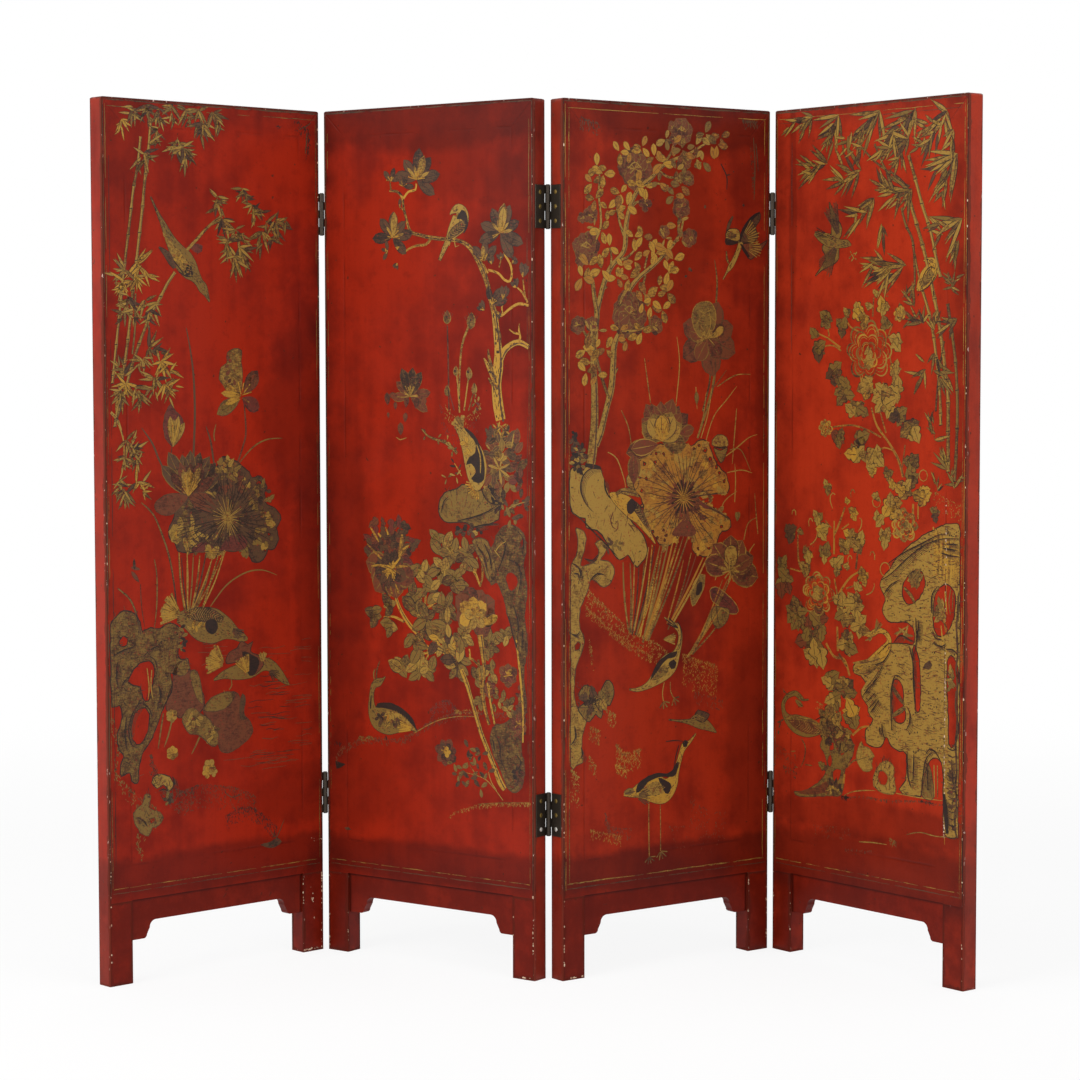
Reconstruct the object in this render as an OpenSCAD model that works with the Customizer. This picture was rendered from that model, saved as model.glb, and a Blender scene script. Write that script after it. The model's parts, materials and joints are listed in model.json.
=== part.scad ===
// Folding screen: four lacquered panels that stand on their own legs in a zigzag, joined by butt hinges.
// Millimetres, +Z up. The origin is on the floor, at the centre of the box round the standing screen.
// In a panel's own frame X runs across its front from the left, Y from its front to its back, Z up.

/* [Panel] */
// Height of a panel, from the floor to its top edge
panel_h = 1540; // [1200:5:1900]
// Width of a panel over its stiles
panel_w = 475; // [380:1:620]
// Thickness of a panel
panel_t = 34; // [32:0.5:42]
// Radius of the two top corners, seen from the front
corner_r = 6; // [3:0.5:14]
// Radius of the long outer edges
edge_r = 2.5; // [1:0.25:3]

/* [Frame] */
// Width of a stile and of the leg below it
stile_w = 48; // [44:1:66]
// Height of the top rail
top_rail_h = 48; // [44:1:70]
// Height of the bottom rail
bottom_rail_h = 62; // [58:1:80]
// Height of the bottom rail's underside above the floor
bottom_rail_z = 147; // [120:1:190]
// Thickness of the tenons at the ends of the rails
tenon_t = 10; // [7:0.5:12]
// Length of the rails' tenons
tenon_l = 34; // [20:1:38]
// Height of the top rail's tenons
top_tenon_h = 22; // [16:1:26]
// Shoulder between the edge of a rail and its tenon
tenon_shoulder = 9; // [6:0.5:11]
// Depth of the mitred laps that the bottom rail carries across the stiles
lap_t = 7; // [5:0.5:9]
// Clearance round a tenon or tongue in its mortise or groove
joint_gap = 0.2; // [0.1:0.05:0.4]

/* [Field] */
// Thickness of the planks that fill the frame
board_t = 12; // [10:0.5:13]
// Number of planks in one panel
plank_n = 3; // [2:1:5]
// Thickness of the tongue round the planks
board_tongue_t = 6; // [4:0.5:7]
// Depth to which that tongue enters the frame
board_tongue_d = 9; // [5:0.5:12]
// Number of battens across the back of the planks
batten_n = 3; // [2:1:5]
// Height of a batten
batten_h = 38; // [30:1:60]
// Depth by which a batten stands behind the planks
batten_d = 15; // [13:0.5:18]
// Depth of a batten's dovetail in the planks
dovetail_d = 4; // [2:0.5:5]
// Flare of the dovetail on each side
dovetail_flare = 2; // [1:0.5:3]
// Shoulder between a batten's edge and its dovetail or tenon
batten_shoulder = 6; // [4:0.5:9]
// Length of a batten's tenons
batten_tenon_l = 12; // [8:1:18]
// Thickness of a batten's tenons
batten_tenon_t = 10; // [6:0.5:10]
// Width of the chamfer along a batten's back edges
batten_chamfer = 2; // [1:0.5:4]

/* [Apron] */
// Thickness of the apron between the legs
apron_t = 18; // [14:0.5:22]
// Depth by which the apron's face lies behind the panel's face
apron_recess = 5; // [3:0.5:8]
// Height of the apron at its middle
apron_h = 41; // [30:1:60]
// Drop of the spandrels below the apron's middle
spandrel_drop = 31; // [24:1:44]
// Width of a spandrel at its foot
spandrel_w = 34; // [24:1:60]
// Distance by which a spandrel widens towards its top
spandrel_slant = 6; // [0:0.5:12]
// Radius at a spandrel's foot
spandrel_foot_r = 7; // [3:0.5:9]
// Radius between a spandrel and the apron's middle
spandrel_top_r = 13; // [6:0.5:14]
// Thickness of the apron's tongue
apron_tongue_t = 6; // [4:0.5:8]
// Depth to which the apron's tongue enters the rail and the legs
apron_tongue_d = 8; // [5:0.5:12]

/* [Hinges] */
// Height of a hinge
hinge_h = 75; // [60:1:90]
// Distance from the top rail down to the middle of the upper hinges
upper_hinge_drop = 138; // [80:1:240]
// Distance from the bottom rail up to the middle of the lower hinges
lower_hinge_rise = 83; // [60:1:200]
// Thickness of a hinge plate
plate_t = 2.2; // [1.8:0.1:3]
// Width of a hinge plate, from the hinge's axis
plate_w = 31; // [26:0.5:31]
// Radius of a hinge's barrel
barrel_r = 4.7; // [4:0.1:6]
// Clearance between a barrel and the edges of the panels
barrel_gap = 0.3; // [0.2:0.05:0.8]
// Distance of a hinge's axis from the plane of the faces that close on each other
axis_stand = 0.6; // [0.5:0.05:1.5]
// Number of knuckles in a barrel
knuckle_n = 5; // [3:2:7]
// Gap between two knuckles
knuckle_gap = 0.3; // [0.2:0.05:0.6]
// Gap between a knuckle and the notch in the facing plate
notch_gap = 0.5; // [0.3:0.1:1]
// Radius of a hinge pin
pin_r = 2.4; // [1.8:0.1:2.8]
// Running clearance between a pin and its knuckles, on the radius
pin_gap = 0.05; // [0.03:0.01:0.08]
// Radius of the heads of a hinge pin
pin_head_r = 3.7; // [3.2:0.1:3.9]
// Height of the heads of a hinge pin
pin_head_h = 1.2; // [0.8:0.1:2]

/* [Screws] */
// Number of screws in a hinge plate
screw_n = 3; // [2:1:4]
// Distance between the screws of a plate
screw_pitch = 25; // [16:0.5:28]
// Distance of the screws from the hinge's axis
screw_in = 18; // [14:0.5:22]
// Radius of a screw's shank
screw_r = 2; // [1.5:0.1:2.4]
// Length of a screw in the wood
screw_l = 16; // [10:1:20]
// Radius of a screw's head
screw_head_r = 4; // [3.4:0.1:4.6]
// Thickness of the plate below a screw's countersink
countersink_land = 0.4; // [0.2:0.1:0.8]
// Height of the dome on a screw's head
screw_dome_h = 0.8; // [0.6:0.1:1]
// Width of the slot in a screw's head
screw_slot_w = 1; // [0.7:0.1:1.3]
// Depth of the slot in a screw's head
screw_slot_d = 0.7; // [0.4:0.1:1.2]
// Clearance between a screw and its hole, on the radius
screw_gap = 0.1; // [0.05:0.05:0.2]

/* [Standing] */
// Direction of the first panel, turned back from the X axis
heading_1_deg = 43; // [30:0.5:55]
// Angle between panels 1 and 2, which open towards the front
fold_1_2_deg = 100.7; // [70:0.1:150]
// Angle between panels 2 and 3, which open towards the back
fold_2_3_deg = 107.2; // [70:0.1:150]
// Angle between panels 3 and 4, which open towards the front
fold_3_4_deg = 92.6; // [70:0.1:150]

/* [Hidden] */
PANELS = [1, 2, 3, 4];
JOINTS = [1, 2, 3];
LEVELS = ["upper", "lower"];
MEMBERS = ["stile_left", "stile_right", "top_rail", "bottom_rail", "planks", "battens", "apron", "hinge_screws"];
HINGE_PIECES = ["left_plate", "right_plate", "pin"];

// Facets of a full circle, and the length by which a cut runs past the face that it opens
$fn = 48;
past = 1;

// Colours
red_lacquer = [0.59, 0.13, 0.08];
dark_lacquer = [0.45, 0.11, 0.07];
black_lacquer = [0.12, 0.08, 0.07];
iron = [0.2, 0.18, 0.16];
brass = [0.47, 0.39, 0.2];

// The opening inside the frame
opening_z = bottom_rail_z + bottom_rail_h;
opening_top = panel_h - top_rail_h;
opening_w = panel_w - 2 * stile_w;
opening_h = opening_top - opening_z;
plank_w = opening_w / plank_n;

// Depths behind the panel's face
board_tongue_y = (board_t - board_tongue_t) / 2;
tenon_y = board_t + (panel_t - board_t - tenon_t) / 2;
apron_tongue_y = apron_recess + (apron_t - apron_tongue_t) / 2;

// Heights of the lap's lower edge, the apron's underside and the spandrels' feet
lap_z = opening_z - stile_w;
apron_z = bottom_rail_z - apron_h;
spandrel_z = apron_z - spandrel_drop;

// Hinges: the axis lies off the edge of each panel, on the side towards which the two panels close
axis_out = barrel_r + barrel_gap;
knuckle_h = (hinge_h - (knuckle_n - 1) * knuckle_gap) / knuckle_n;
screw_head_h = plate_t - countersink_land;

function node_name(member, n) = str(member, "_", n);
function hinge_name(j, level, piece) = str("hinge_", j, "_", j + 1, "_", level, "_", piece);
function hinge_z(level) = level == "upper" ? opening_top - upper_hinge_drop : opening_z + lower_hinge_rise;
function closes_front(j) = j % 2 == 1;
function axis_y(j) = closes_front(j) ? -axis_stand : panel_t + axis_stand;
function fold_at(j) = [fold_1_2_deg, fold_2_3_deg, fold_3_4_deg][j - 1];

// Plan of the standing screen: each panel's direction and the place of its front left edge
function turned(p, a) = [p.x * cos(a) - p.y * sin(a), p.x * sin(a) + p.y * cos(a)];
function heading(n) =
    n == 1 ? heading_1_deg
    : heading(n - 1) + (closes_front(n - 1) ? -1 : 1) * (180 - fold_at(n - 1));
function axis_plan(j) = start_plan(j) + turned([panel_w + axis_out, axis_y(j)], heading(j));
function start_plan(n) = n == 1 ? [0, 0] : axis_plan(n - 1) - turned([-axis_out, axis_y(n - 1)], heading(n));
edge_centres = [
    for (n = PANELS) for (x = [edge_r, panel_w - edge_r]) for (y = [edge_r, panel_t - edge_r])
        start_plan(n) + turned([x, y], heading(n))
];
plan_centre = [
    for (k = [0, 1]) (min([for (p = edge_centres) p[k]]) + max([for (p = edge_centres) p[k]])) / 2
];

// Points of an arc, from one angle to another
function arc(centre, r, from, to, steps = 8) = [
    for (i = [0 : steps]) let (a = from + (to - from) * i / steps) centre + r * [cos(a), sin(a)]
];

// Puts a piece from a panel's own frame where that panel stands
module on_panel(n) {
    place = start_plan(n) - plan_centre;
    translate([place.x, place.y, 0]) rotate([0, 0, heading(n)]) children();
}

// A front view, X across and Z up, given depth from y0 to y1
module front_prism(y0, y1) {
    translate([0, y1, 0]) rotate([90, 0, 0]) linear_extrude(y1 - y0) children();
}

// A section, Y across and Z up, run along the panel from x0 to x1
module side_prism(x0, x1) {
    translate([x0, 0, 0]) rotate([90, 0, 90]) linear_extrude(x1 - x0) children();
}

// A box between two corners
module block(low, high) {
    translate(low) cube(high - low);
}

module mirrored_across(width) {
    translate([width, 0, 0]) mirror([1, 0, 0]) children();
}

// The outside of a whole panel: rounded long edges, and larger rounds at the two top corners
module panel_form() {
    intersection() {
        linear_extrude(panel_h)
            polygon(concat(
                arc([edge_r, edge_r], edge_r, 180, 270),
                arc([panel_w - edge_r, edge_r], edge_r, 270, 360),
                arc([panel_w - edge_r, panel_t - edge_r], edge_r, 0, 90),
                arc([edge_r, panel_t - edge_r], edge_r, 90, 180)
            ));
        front_prism(0, panel_t)
            polygon(concat(
                [[0, 0], [panel_w, 0]],
                arc([panel_w - corner_r, panel_h - corner_r], corner_r, 0, 90),
                arc([corner_r, panel_h - corner_r], corner_r, 90, 180)
            ));
        side_prism(0, panel_w)
            polygon(concat(
                [[0, 0], [panel_t, 0]],
                arc([panel_t - edge_r, panel_h - edge_r], edge_r, 0, 90),
                arc([edge_r, panel_h - edge_r], edge_r, 90, 180)
            ));
    }
}

// The tongue round the planks, grown by a clearance where it is the groove in the frame
module board_tongue(gap = 0) {
    reach = board_tongue_d + gap;
    block(
        [stile_w - reach, board_tongue_y - gap, opening_z - reach],
        [panel_w - stile_w + reach, board_tongue_y + board_tongue_t + gap, opening_top + reach]
    );
}

// The tongue along the top and the ends of the apron, or its groove
module apron_tongue(gap = 0) {
    reach = apron_tongue_d + gap;
    block(
        [stile_w - reach, apron_tongue_y - gap, apron_z],
        [panel_w - stile_w + reach, apron_tongue_y + apron_tongue_t + gap, bottom_rail_z + reach]
    );
}

// A rail's left tenon between two heights, or its mortise
module rail_tenon(z0, z1, gap = 0) {
    block(
        [stile_w - tenon_l - gap, tenon_y - gap, z0 - gap],
        [stile_w + past, tenon_y + tenon_t + gap, z1 + gap]
    );
}

module top_tenon(gap = 0) {
    rail_tenon(opening_top + tenon_shoulder, opening_top + tenon_shoulder + top_tenon_h, gap);
}

module bottom_tenon(gap = 0) {
    rail_tenon(bottom_rail_z + tenon_shoulder, opening_z - tenon_shoulder, gap);
}

// The battens stand evenly over the height of the opening
module at_battens() {
    for (i = [1 : batten_n]) translate([0, 0, opening_z + opening_h * i / (batten_n + 1)]) children();
}

// A batten's tenons at both ends, or their mortises
module batten_tenons(gap = 0) {
    half_h = batten_h / 2 - batten_shoulder + gap;
    reach = batten_tenon_l + gap;
    y0 = board_t + batten_chamfer;
    block(
        [stile_w - reach, y0 - gap, -half_h],
        [panel_w - stile_w + reach, y0 + batten_tenon_t + gap, half_h]
    );
}

// Section of a batten's dovetail, Y across and Z up, or of its groove
module dovetail_section(gap = 0) {
    neck = batten_h / 2 - batten_shoulder + gap;
    root = neck + dovetail_flare;
    bottom_y = board_t - dovetail_d - gap;
    polygon([[bottom_y, -root], [board_t, -neck], [board_t, neck], [bottom_y, root]]);
}

// The triangle by which the bottom rail laps the left stile's face, seen from the front
module lap_outline() {
    polygon([[stile_w, opening_z], [0, lap_z], [stile_w, lap_z]]);
}

// Screw places on the left edge, for a hinge whose middle is at the origin: one row along Z
module at_screws() {
    for (i = [0 : screw_n - 1]) translate([0, 0, (i - (screw_n - 1) / 2) * screw_pitch]) children();
}

// Puts a hinge's pieces at a joint: the axis beside the panel's right edge, the plate towards its other face
module at_right_edge(j, level) {
    translate([panel_w + axis_out, axis_y(j), hinge_z(level)])
        mirror([0, closes_front(j) ? 0 : 1, 0]) children();
}

// The same beside the panel's left edge, turned round so that the plate lies on that edge
module at_left_edge(j, level) {
    translate([-axis_out, axis_y(j), hinge_z(level)])
        mirror([1, 0, 0]) mirror([0, closes_front(j) ? 0 : 1, 0]) children();
}

// Where the screws of a panel go: into its right edge at joint n and into its left edge at joint n - 1
module at_panel_screws(n) {
    for (level = LEVELS) {
        if (n < len(PANELS)) at_right_edge(n, level) translate([-axis_out, screw_in, 0]) at_screws() children();
        if (n > 1) at_left_edge(n - 1, level) translate([-axis_out, screw_in, 0]) at_screws() children();
    }
}

// A hole for a screw's shank, from the plate's seat into the wood along -X
module screw_hole() {
    rotate([0, -90, 0]) translate([0, 0, -past]) cylinder(r = screw_r + screw_gap, h = screw_l + screw_gap + past);
}

// A slotted countersunk screw with a domed head, seated in a plate that lies on X = 0, pointing along -X
module screw() {
    head_z = plate_t - screw_head_h;
    dome_r = (screw_head_r * screw_head_r + screw_dome_h * screw_dome_h) / (2 * screw_dome_h);
    rotate([0, 90, 0]) difference() {
        union() {
            translate([0, 0, -screw_l]) cylinder(r = screw_r, h = screw_l + head_z);
            translate([0, 0, head_z]) cylinder(r1 = screw_r, r2 = screw_head_r, h = screw_head_h);
            intersection() {
                translate([0, 0, plate_t + screw_dome_h - dome_r]) sphere(dome_r);
                translate([0, 0, plate_t]) cylinder(r = screw_head_r, h = screw_dome_h);
            }
        }
        translate([-screw_head_r - past, -screw_slot_w / 2, plate_t + screw_dome_h - screw_slot_d])
            cube([2 * (screw_head_r + past), screw_slot_w, screw_slot_d + past]);
    }
}

// The countersunk hole for that screw
module plate_hole() {
    wide_r = screw_head_r + screw_gap;
    narrow_r = screw_r + screw_gap;
    rotate([0, 90, 0]) {
        translate([0, 0, -past]) cylinder(r = narrow_r, h = plate_t + past);
        translate([0, 0, plate_t - screw_head_h]) cylinder(r1 = narrow_r, r2 = wide_r, h = screw_head_h);
        translate([0, 0, plate_t]) cylinder(r = wide_r, h = past);
    }
}

// Puts a piece at the foot of each knuckle of one plate: the odd ones of the left plate, the even of the right
module at_knuckles(first) {
    for (i = [first : 2 : knuckle_n - 1])
        translate([0, 0, -hinge_h / 2 + i * (knuckle_h + knuckle_gap)]) children();
}

// Half a hinge with its axis on Z, its plate on the panel's edge at X = -axis_out and reaching along Y
module hinge_plate(first) {
    difference() {
        union() {
            difference() {
                block([-axis_out, 0, -hinge_h / 2], [plate_t - axis_out, plate_w, hinge_h / 2]);
                at_knuckles(1 - first)
                    block(
                        [-axis_out - past, -past, -knuckle_gap],
                        [plate_t - axis_out + past, barrel_r + notch_gap, knuckle_h + knuckle_gap]
                    );
            }
            at_knuckles(first) cylinder(r = barrel_r, h = knuckle_h);
        }
        translate([0, 0, -hinge_h / 2 - past]) cylinder(r = pin_r + pin_gap, h = hinge_h + 2 * past);
        translate([-axis_out, screw_in, 0]) at_screws() plate_hole();
    }
}

module hinge_pin() {
    translate([0, 0, -hinge_h / 2]) cylinder(r = pin_r, h = hinge_h);
    for (end = [0, 1]) mirror([0, 0, end]) translate([0, 0, hinge_h / 2])
        cylinder(r1 = pin_head_r, r2 = pin_head_r - pin_head_h / 2, h = pin_head_h);
}

// A left stile with the leg below it. The right one is its mirror image, so the screws come after.
module stile() {
    difference() {
        intersection() {
            panel_form();
            front_prism(0, panel_t)
                polygon([[0, 0], [stile_w, 0], [stile_w, opening_top], [0, panel_h]]);
        }
        front_prism(-past, lap_t) lap_outline();
        top_tenon(joint_gap);
        bottom_tenon(joint_gap);
        board_tongue(joint_gap);
        apron_tongue(joint_gap);
        at_battens() batten_tenons(joint_gap);
    }
}

module stile_left(n) {
    color(red_lacquer) on_panel(n) difference() {
        stile();
        at_panel_screws(n) screw_hole();
    }
}

module stile_right(n) {
    color(red_lacquer) on_panel(n) difference() {
        mirrored_across(panel_w) stile();
        at_panel_screws(n) screw_hole();
    }
}

module top_rail(n) {
    color(red_lacquer) on_panel(n) difference() {
        union() {
            intersection() {
                panel_form();
                front_prism(0, panel_t)
                    polygon([
                        [0, panel_h], [stile_w, opening_top],
                        [panel_w - stile_w, opening_top], [panel_w, panel_h]
                    ]);
            }
            top_tenon();
            mirrored_across(panel_w) top_tenon();
        }
        board_tongue(joint_gap);
    }
}

module bottom_rail(n) {
    color(red_lacquer) on_panel(n) difference() {
        union() {
            block([stile_w, 0, bottom_rail_z], [panel_w - stile_w, panel_t, opening_z]);
            bottom_tenon();
            mirrored_across(panel_w) bottom_tenon();
            intersection() {
                panel_form();
                union() {
                    front_prism(0, lap_t) lap_outline();
                    mirrored_across(panel_w) front_prism(0, lap_t) lap_outline();
                }
            }
        }
        board_tongue(joint_gap);
        apron_tongue(joint_gap);
    }
}

// One plank for each share of the opening's width, with the tongue where it meets the frame
module planks(n) {
    color(red_lacquer) on_panel(n) for (i = [0 : plank_n - 1]) {
        x0 = stile_w + i * plank_w;
        left_reach = i == 0 ? board_tongue_d : 0;
        right_reach = i == plank_n - 1 ? board_tongue_d : 0;
        difference() {
            union() {
                block([x0, 0, opening_z], [x0 + plank_w, board_t, opening_top]);
                intersection() {
                    board_tongue();
                    block([x0 - left_reach, 0, 0], [x0 + plank_w + right_reach, board_t, panel_h]);
                }
            }
            at_battens() side_prism(stile_w - past, panel_w - stile_w + past) dovetail_section(joint_gap);
        }
    }
}

module battens(n) {
    back_y = board_t + batten_d;
    half_h = batten_h / 2;
    color(black_lacquer) on_panel(n) at_battens() {
        side_prism(stile_w, panel_w - stile_w) {
            dovetail_section();
            polygon([
                [board_t, -half_h], [back_y - batten_chamfer, -half_h], [back_y, batten_chamfer - half_h],
                [back_y, half_h - batten_chamfer], [back_y - batten_chamfer, half_h], [board_t, half_h]
            ]);
        }
        batten_tenons();
    }
}

// The edge of the left spandrel, from its foot up to the apron's underside
function spandrel_edge() = concat(
    [[stile_w, spandrel_z]],
    arc([stile_w + spandrel_w - spandrel_foot_r, spandrel_z + spandrel_foot_r], spandrel_foot_r, 270, 360),
    arc([stile_w + spandrel_w + spandrel_slant + spandrel_top_r, apron_z - spandrel_top_r], spandrel_top_r, 180, 90)
);

module apron(n) {
    edge = spandrel_edge();
    right_edge = [for (i = [len(edge) - 1 : -1 : 0]) [panel_w - edge[i].x, edge[i].y]];
    color(dark_lacquer) on_panel(n) {
        front_prism(apron_recess, apron_recess + apron_t)
            polygon(concat(
                edge, right_edge,
                [[panel_w - stile_w, bottom_rail_z], [stile_w, bottom_rail_z]]
            ));
        apron_tongue();
    }
}

module hinge_screws(n) {
    color(brass) on_panel(n) at_panel_screws(n) screw();
}

module hinge_left_plate(j, level) {
    color(iron) on_panel(j) at_right_edge(j, level) hinge_plate(0);
}

module hinge_right_plate(j, level) {
    color(iron) on_panel(j + 1) at_left_edge(j, level) hinge_plate(1);
}

module hinge_pin_at(j, level) {
    color(iron) on_panel(j) at_right_edge(j, level) hinge_pin();
}

for (n = PANELS) {
    stile_left(n);
    stile_right(n);
    top_rail(n);
    bottom_rail(n);
    planks(n);
    battens(n);
    apron(n);
    hinge_screws(n);
}
for (j = JOINTS) for (level = LEVELS) {
    hinge_left_plate(j, level);
    hinge_right_plate(j, level);
    hinge_pin_at(j, level);
}
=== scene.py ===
"""Looks of a four-panel folding screen in painted red lacquer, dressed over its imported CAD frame."""

import json
import logging
import math
import random
from dataclasses import dataclass, field
from enum import Enum, IntEnum
from typing import Callable, Iterable, Sequence

import bmesh
import bpy
from mathutils import Matrix, Vector, geometry, noise

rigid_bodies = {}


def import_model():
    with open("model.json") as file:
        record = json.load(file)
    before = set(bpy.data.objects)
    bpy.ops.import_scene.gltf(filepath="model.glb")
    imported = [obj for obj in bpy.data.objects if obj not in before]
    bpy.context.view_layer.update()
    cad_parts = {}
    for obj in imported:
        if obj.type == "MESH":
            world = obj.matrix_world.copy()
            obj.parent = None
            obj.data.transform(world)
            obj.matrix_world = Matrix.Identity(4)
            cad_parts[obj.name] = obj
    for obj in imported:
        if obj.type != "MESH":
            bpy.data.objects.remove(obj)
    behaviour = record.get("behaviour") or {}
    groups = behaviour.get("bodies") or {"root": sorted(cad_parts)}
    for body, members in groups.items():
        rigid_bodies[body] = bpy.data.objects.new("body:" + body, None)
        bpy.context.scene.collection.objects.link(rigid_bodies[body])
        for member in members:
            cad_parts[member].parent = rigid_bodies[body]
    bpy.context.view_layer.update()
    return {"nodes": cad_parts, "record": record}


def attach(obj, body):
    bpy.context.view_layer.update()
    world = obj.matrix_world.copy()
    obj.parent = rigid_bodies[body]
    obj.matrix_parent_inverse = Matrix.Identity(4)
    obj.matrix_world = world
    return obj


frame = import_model()
LOG = logging.getLogger("folding_screen")

MM = 0.001
PANEL_W = 475.0
PANEL_H = 1540.0
PANEL_T = 34.0
STILE_W = 48.0
FIELD_LOW = 209.0
FIELD_HIGH = 1492.0
LAP_Z = 161.0
RAIL_Z = 147.0
EDGE = 2.0
RIDGE_REACH = 0.2
NEW_SCREW_Z = 0.279

Colour = tuple[float, float, float]
Point = tuple[float, float]


def srgb(red: int, green: int, blue: int) -> Colour:
    """Turns a colour as seen on a screen into the linear one that shaders take.

    Args:
        red: Red from 0 to 255.
        green: Green from 0 to 255.
        blue: Blue from 0 to 255.

    Returns:
        The linear red, green and blue from 0 to 1.
    """
    return tuple(((c / 255 + 0.055) / 1.055) ** 2.4 if c > 10 else c / 3294.6 for c in (red, green, blue))


@dataclass(frozen=True)
class PanelPlace:
    """Where one panel stands in the row frame.

    Attributes:
        number: The panel's number, from 1 on the left.
        origin: The foot of its front left corner, in metres.
        heading: The turn of its front from the row's line, in radians.
    """

    number: int
    origin: Vector
    heading: float

    @classmethod
    def read(cls, number: int) -> "PanelPlace":
        """Reads a panel's place from the record's two foot mounts.

        Args:
            number: The panel's number.

        Returns:
            The panel's place.
        """
        feet = {m["name"]: Vector(m["pos_m"]) for m in frame["record"]["mounts"]}
        left, right = feet[f"foot_left_{number}"], feet[f"foot_right_{number}"]
        heading = math.atan2(right.y - left.y, right.x - left.x)
        inset = Vector((STILE_W / 2 * MM, PANEL_T / 2 * MM, 0))
        return cls(number, left - Matrix.Rotation(heading, 3, "Z") @ inset, heading)

    @property
    def body(self) -> str:
        """Gives the name of the panel's CAD body."""
        return f"panel_{self.number}"

    def solid(self) -> Matrix:
        """Gives the matrix from the panel's own metres (across, deep, up) to the row frame."""
        return Matrix.Translation(self.origin) @ Matrix.Rotation(self.heading, 4, "Z")

    def front(self) -> Matrix:
        """Gives the matrix from the painter's millimetres (across, up, proud) to the row frame."""
        return self.solid() @ Matrix.Rotation(math.pi / 2, 4, "X") @ Matrix.Scale(MM, 4)


# ---------------------------------------------------------------- shader helpers

Socket = bpy.types.NodeSocket


class ShaderPen:
    """Adds nodes to one shader tree and joins them up."""

    def __init__(self, tree: bpy.types.NodeTree) -> None:
        """Starts on a tree.

        Args:
            tree: The node tree to add to.
        """
        self.tree = tree

    def put(self, kind: str, **settings: object) -> bpy.types.Node:
        """Adds a node.

        Args:
            kind: The node's type name, without the word ShaderNode.
            settings: Properties to set on the node.

        Returns:
            The new node.
        """
        node = self.tree.nodes.new("ShaderNode" + kind)
        for name, value in settings.items():
            setattr(node, name, value)
        return node

    def feed(self, socket: Socket, value: object) -> None:
        """Links a socket to the input, or sets the input's value.

        Args:
            socket: The input to feed.
            value: A socket, a number, a colour or a vector.
        """
        if isinstance(value, bpy.types.NodeSocket):
            self.tree.links.new(value, socket)
        elif isinstance(value, (int, float)):
            socket.default_value = value
        else:
            size = len(socket.default_value)
            socket.default_value = (*value, 1.0)[:size]

    def math(self, operation: str, *values: object, clamp: bool = False) -> Socket:
        """Adds a Math node.

        Args:
            operation: The node's operation.
            values: Its inputs in order.
            clamp: Whether the result stays from 0 to 1.

        Returns:
            The result's socket.
        """
        node = self.put("Math", operation=operation, use_clamp=clamp)
        for socket, value in zip(node.inputs, values):
            self.feed(socket, value)
        return node.outputs[0]

    def vector(self, operation: str, *values: object) -> Socket:
        """Adds a Vector Math node.

        Args:
            operation: The node's operation.
            values: Its inputs in order.

        Returns:
            The resulting vector's socket.
        """
        node = self.put("VectorMath", operation=operation)
        for socket, value in zip(node.inputs, values):
            self.feed(socket, value)
        return node.outputs["Value" if operation in ("LENGTH", "DISTANCE") else "Vector"]

    def noise(self, place: object, scale: float, detail: float = 3.0, rough: float = 0.55) -> Socket:
        """Adds a noise pattern.

        Args:
            place: The coordinates' socket.
            scale: Its scale.
            detail: Its number of octaves.
            rough: How strong the finer octaves are.

        Returns:
            The noise value's socket.
        """
        node = self.put("TexNoise")
        self.feed(node.inputs["Vector"], place)
        for name, value in (("Scale", scale), ("Detail", detail), ("Roughness", rough)):
            self.feed(node.inputs[name], value)
        return node.outputs["Fac"]

    def ramp(self, value: object, low: object, high: object, start: object = 0.0,
             end: object = 1.0) -> Socket:
        """Adds a smooth step from one value to another.

        Args:
            value: The value to map.
            low: Where the step starts.
            high: Where the step ends.
            start: The result below the step.
            end: The result above it.

        Returns:
            The result's socket.
        """
        node = self.put("MapRange", interpolation_type="SMOOTHSTEP")
        for socket, item in zip(node.inputs[:5], (value, low, high, start, end)):
            self.feed(socket, item)
        return node.outputs[0]

    def mix(self, share: object, first: object, second: object, blend: str = "MIX") -> Socket:
        """Mixes two colours.

        Args:
            share: How much of the second there is.
            first: The first colour.
            second: The second colour.
            blend: The blend's name.

        Returns:
            The mixed colour's socket.
        """
        node = self.put("Mix", data_type="RGBA", blend_type=blend)
        self.feed(node.inputs[0], share)
        self.feed(node.inputs[6], first)
        self.feed(node.inputs[7], second)
        return node.outputs[2]

    def stretch(self, place: object, scale: Sequence[float]) -> Socket:
        """Scales coordinates, for a pattern that is longer one way than the other.

        Args:
            place: The coordinates' socket.
            scale: The three factors.

        Returns:
            The scaled coordinates' socket.
        """
        return self.vector("MULTIPLY", place, scale)

    def split(self, place: object) -> tuple[Socket, Socket, Socket]:
        """Parts coordinates into their three numbers.

        Args:
            place: The coordinates' socket.

        Returns:
            The sockets of X, Y and Z.
        """
        node = self.put("SeparateXYZ")
        self.feed(node.inputs[0], place)
        return tuple(node.outputs)


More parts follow.
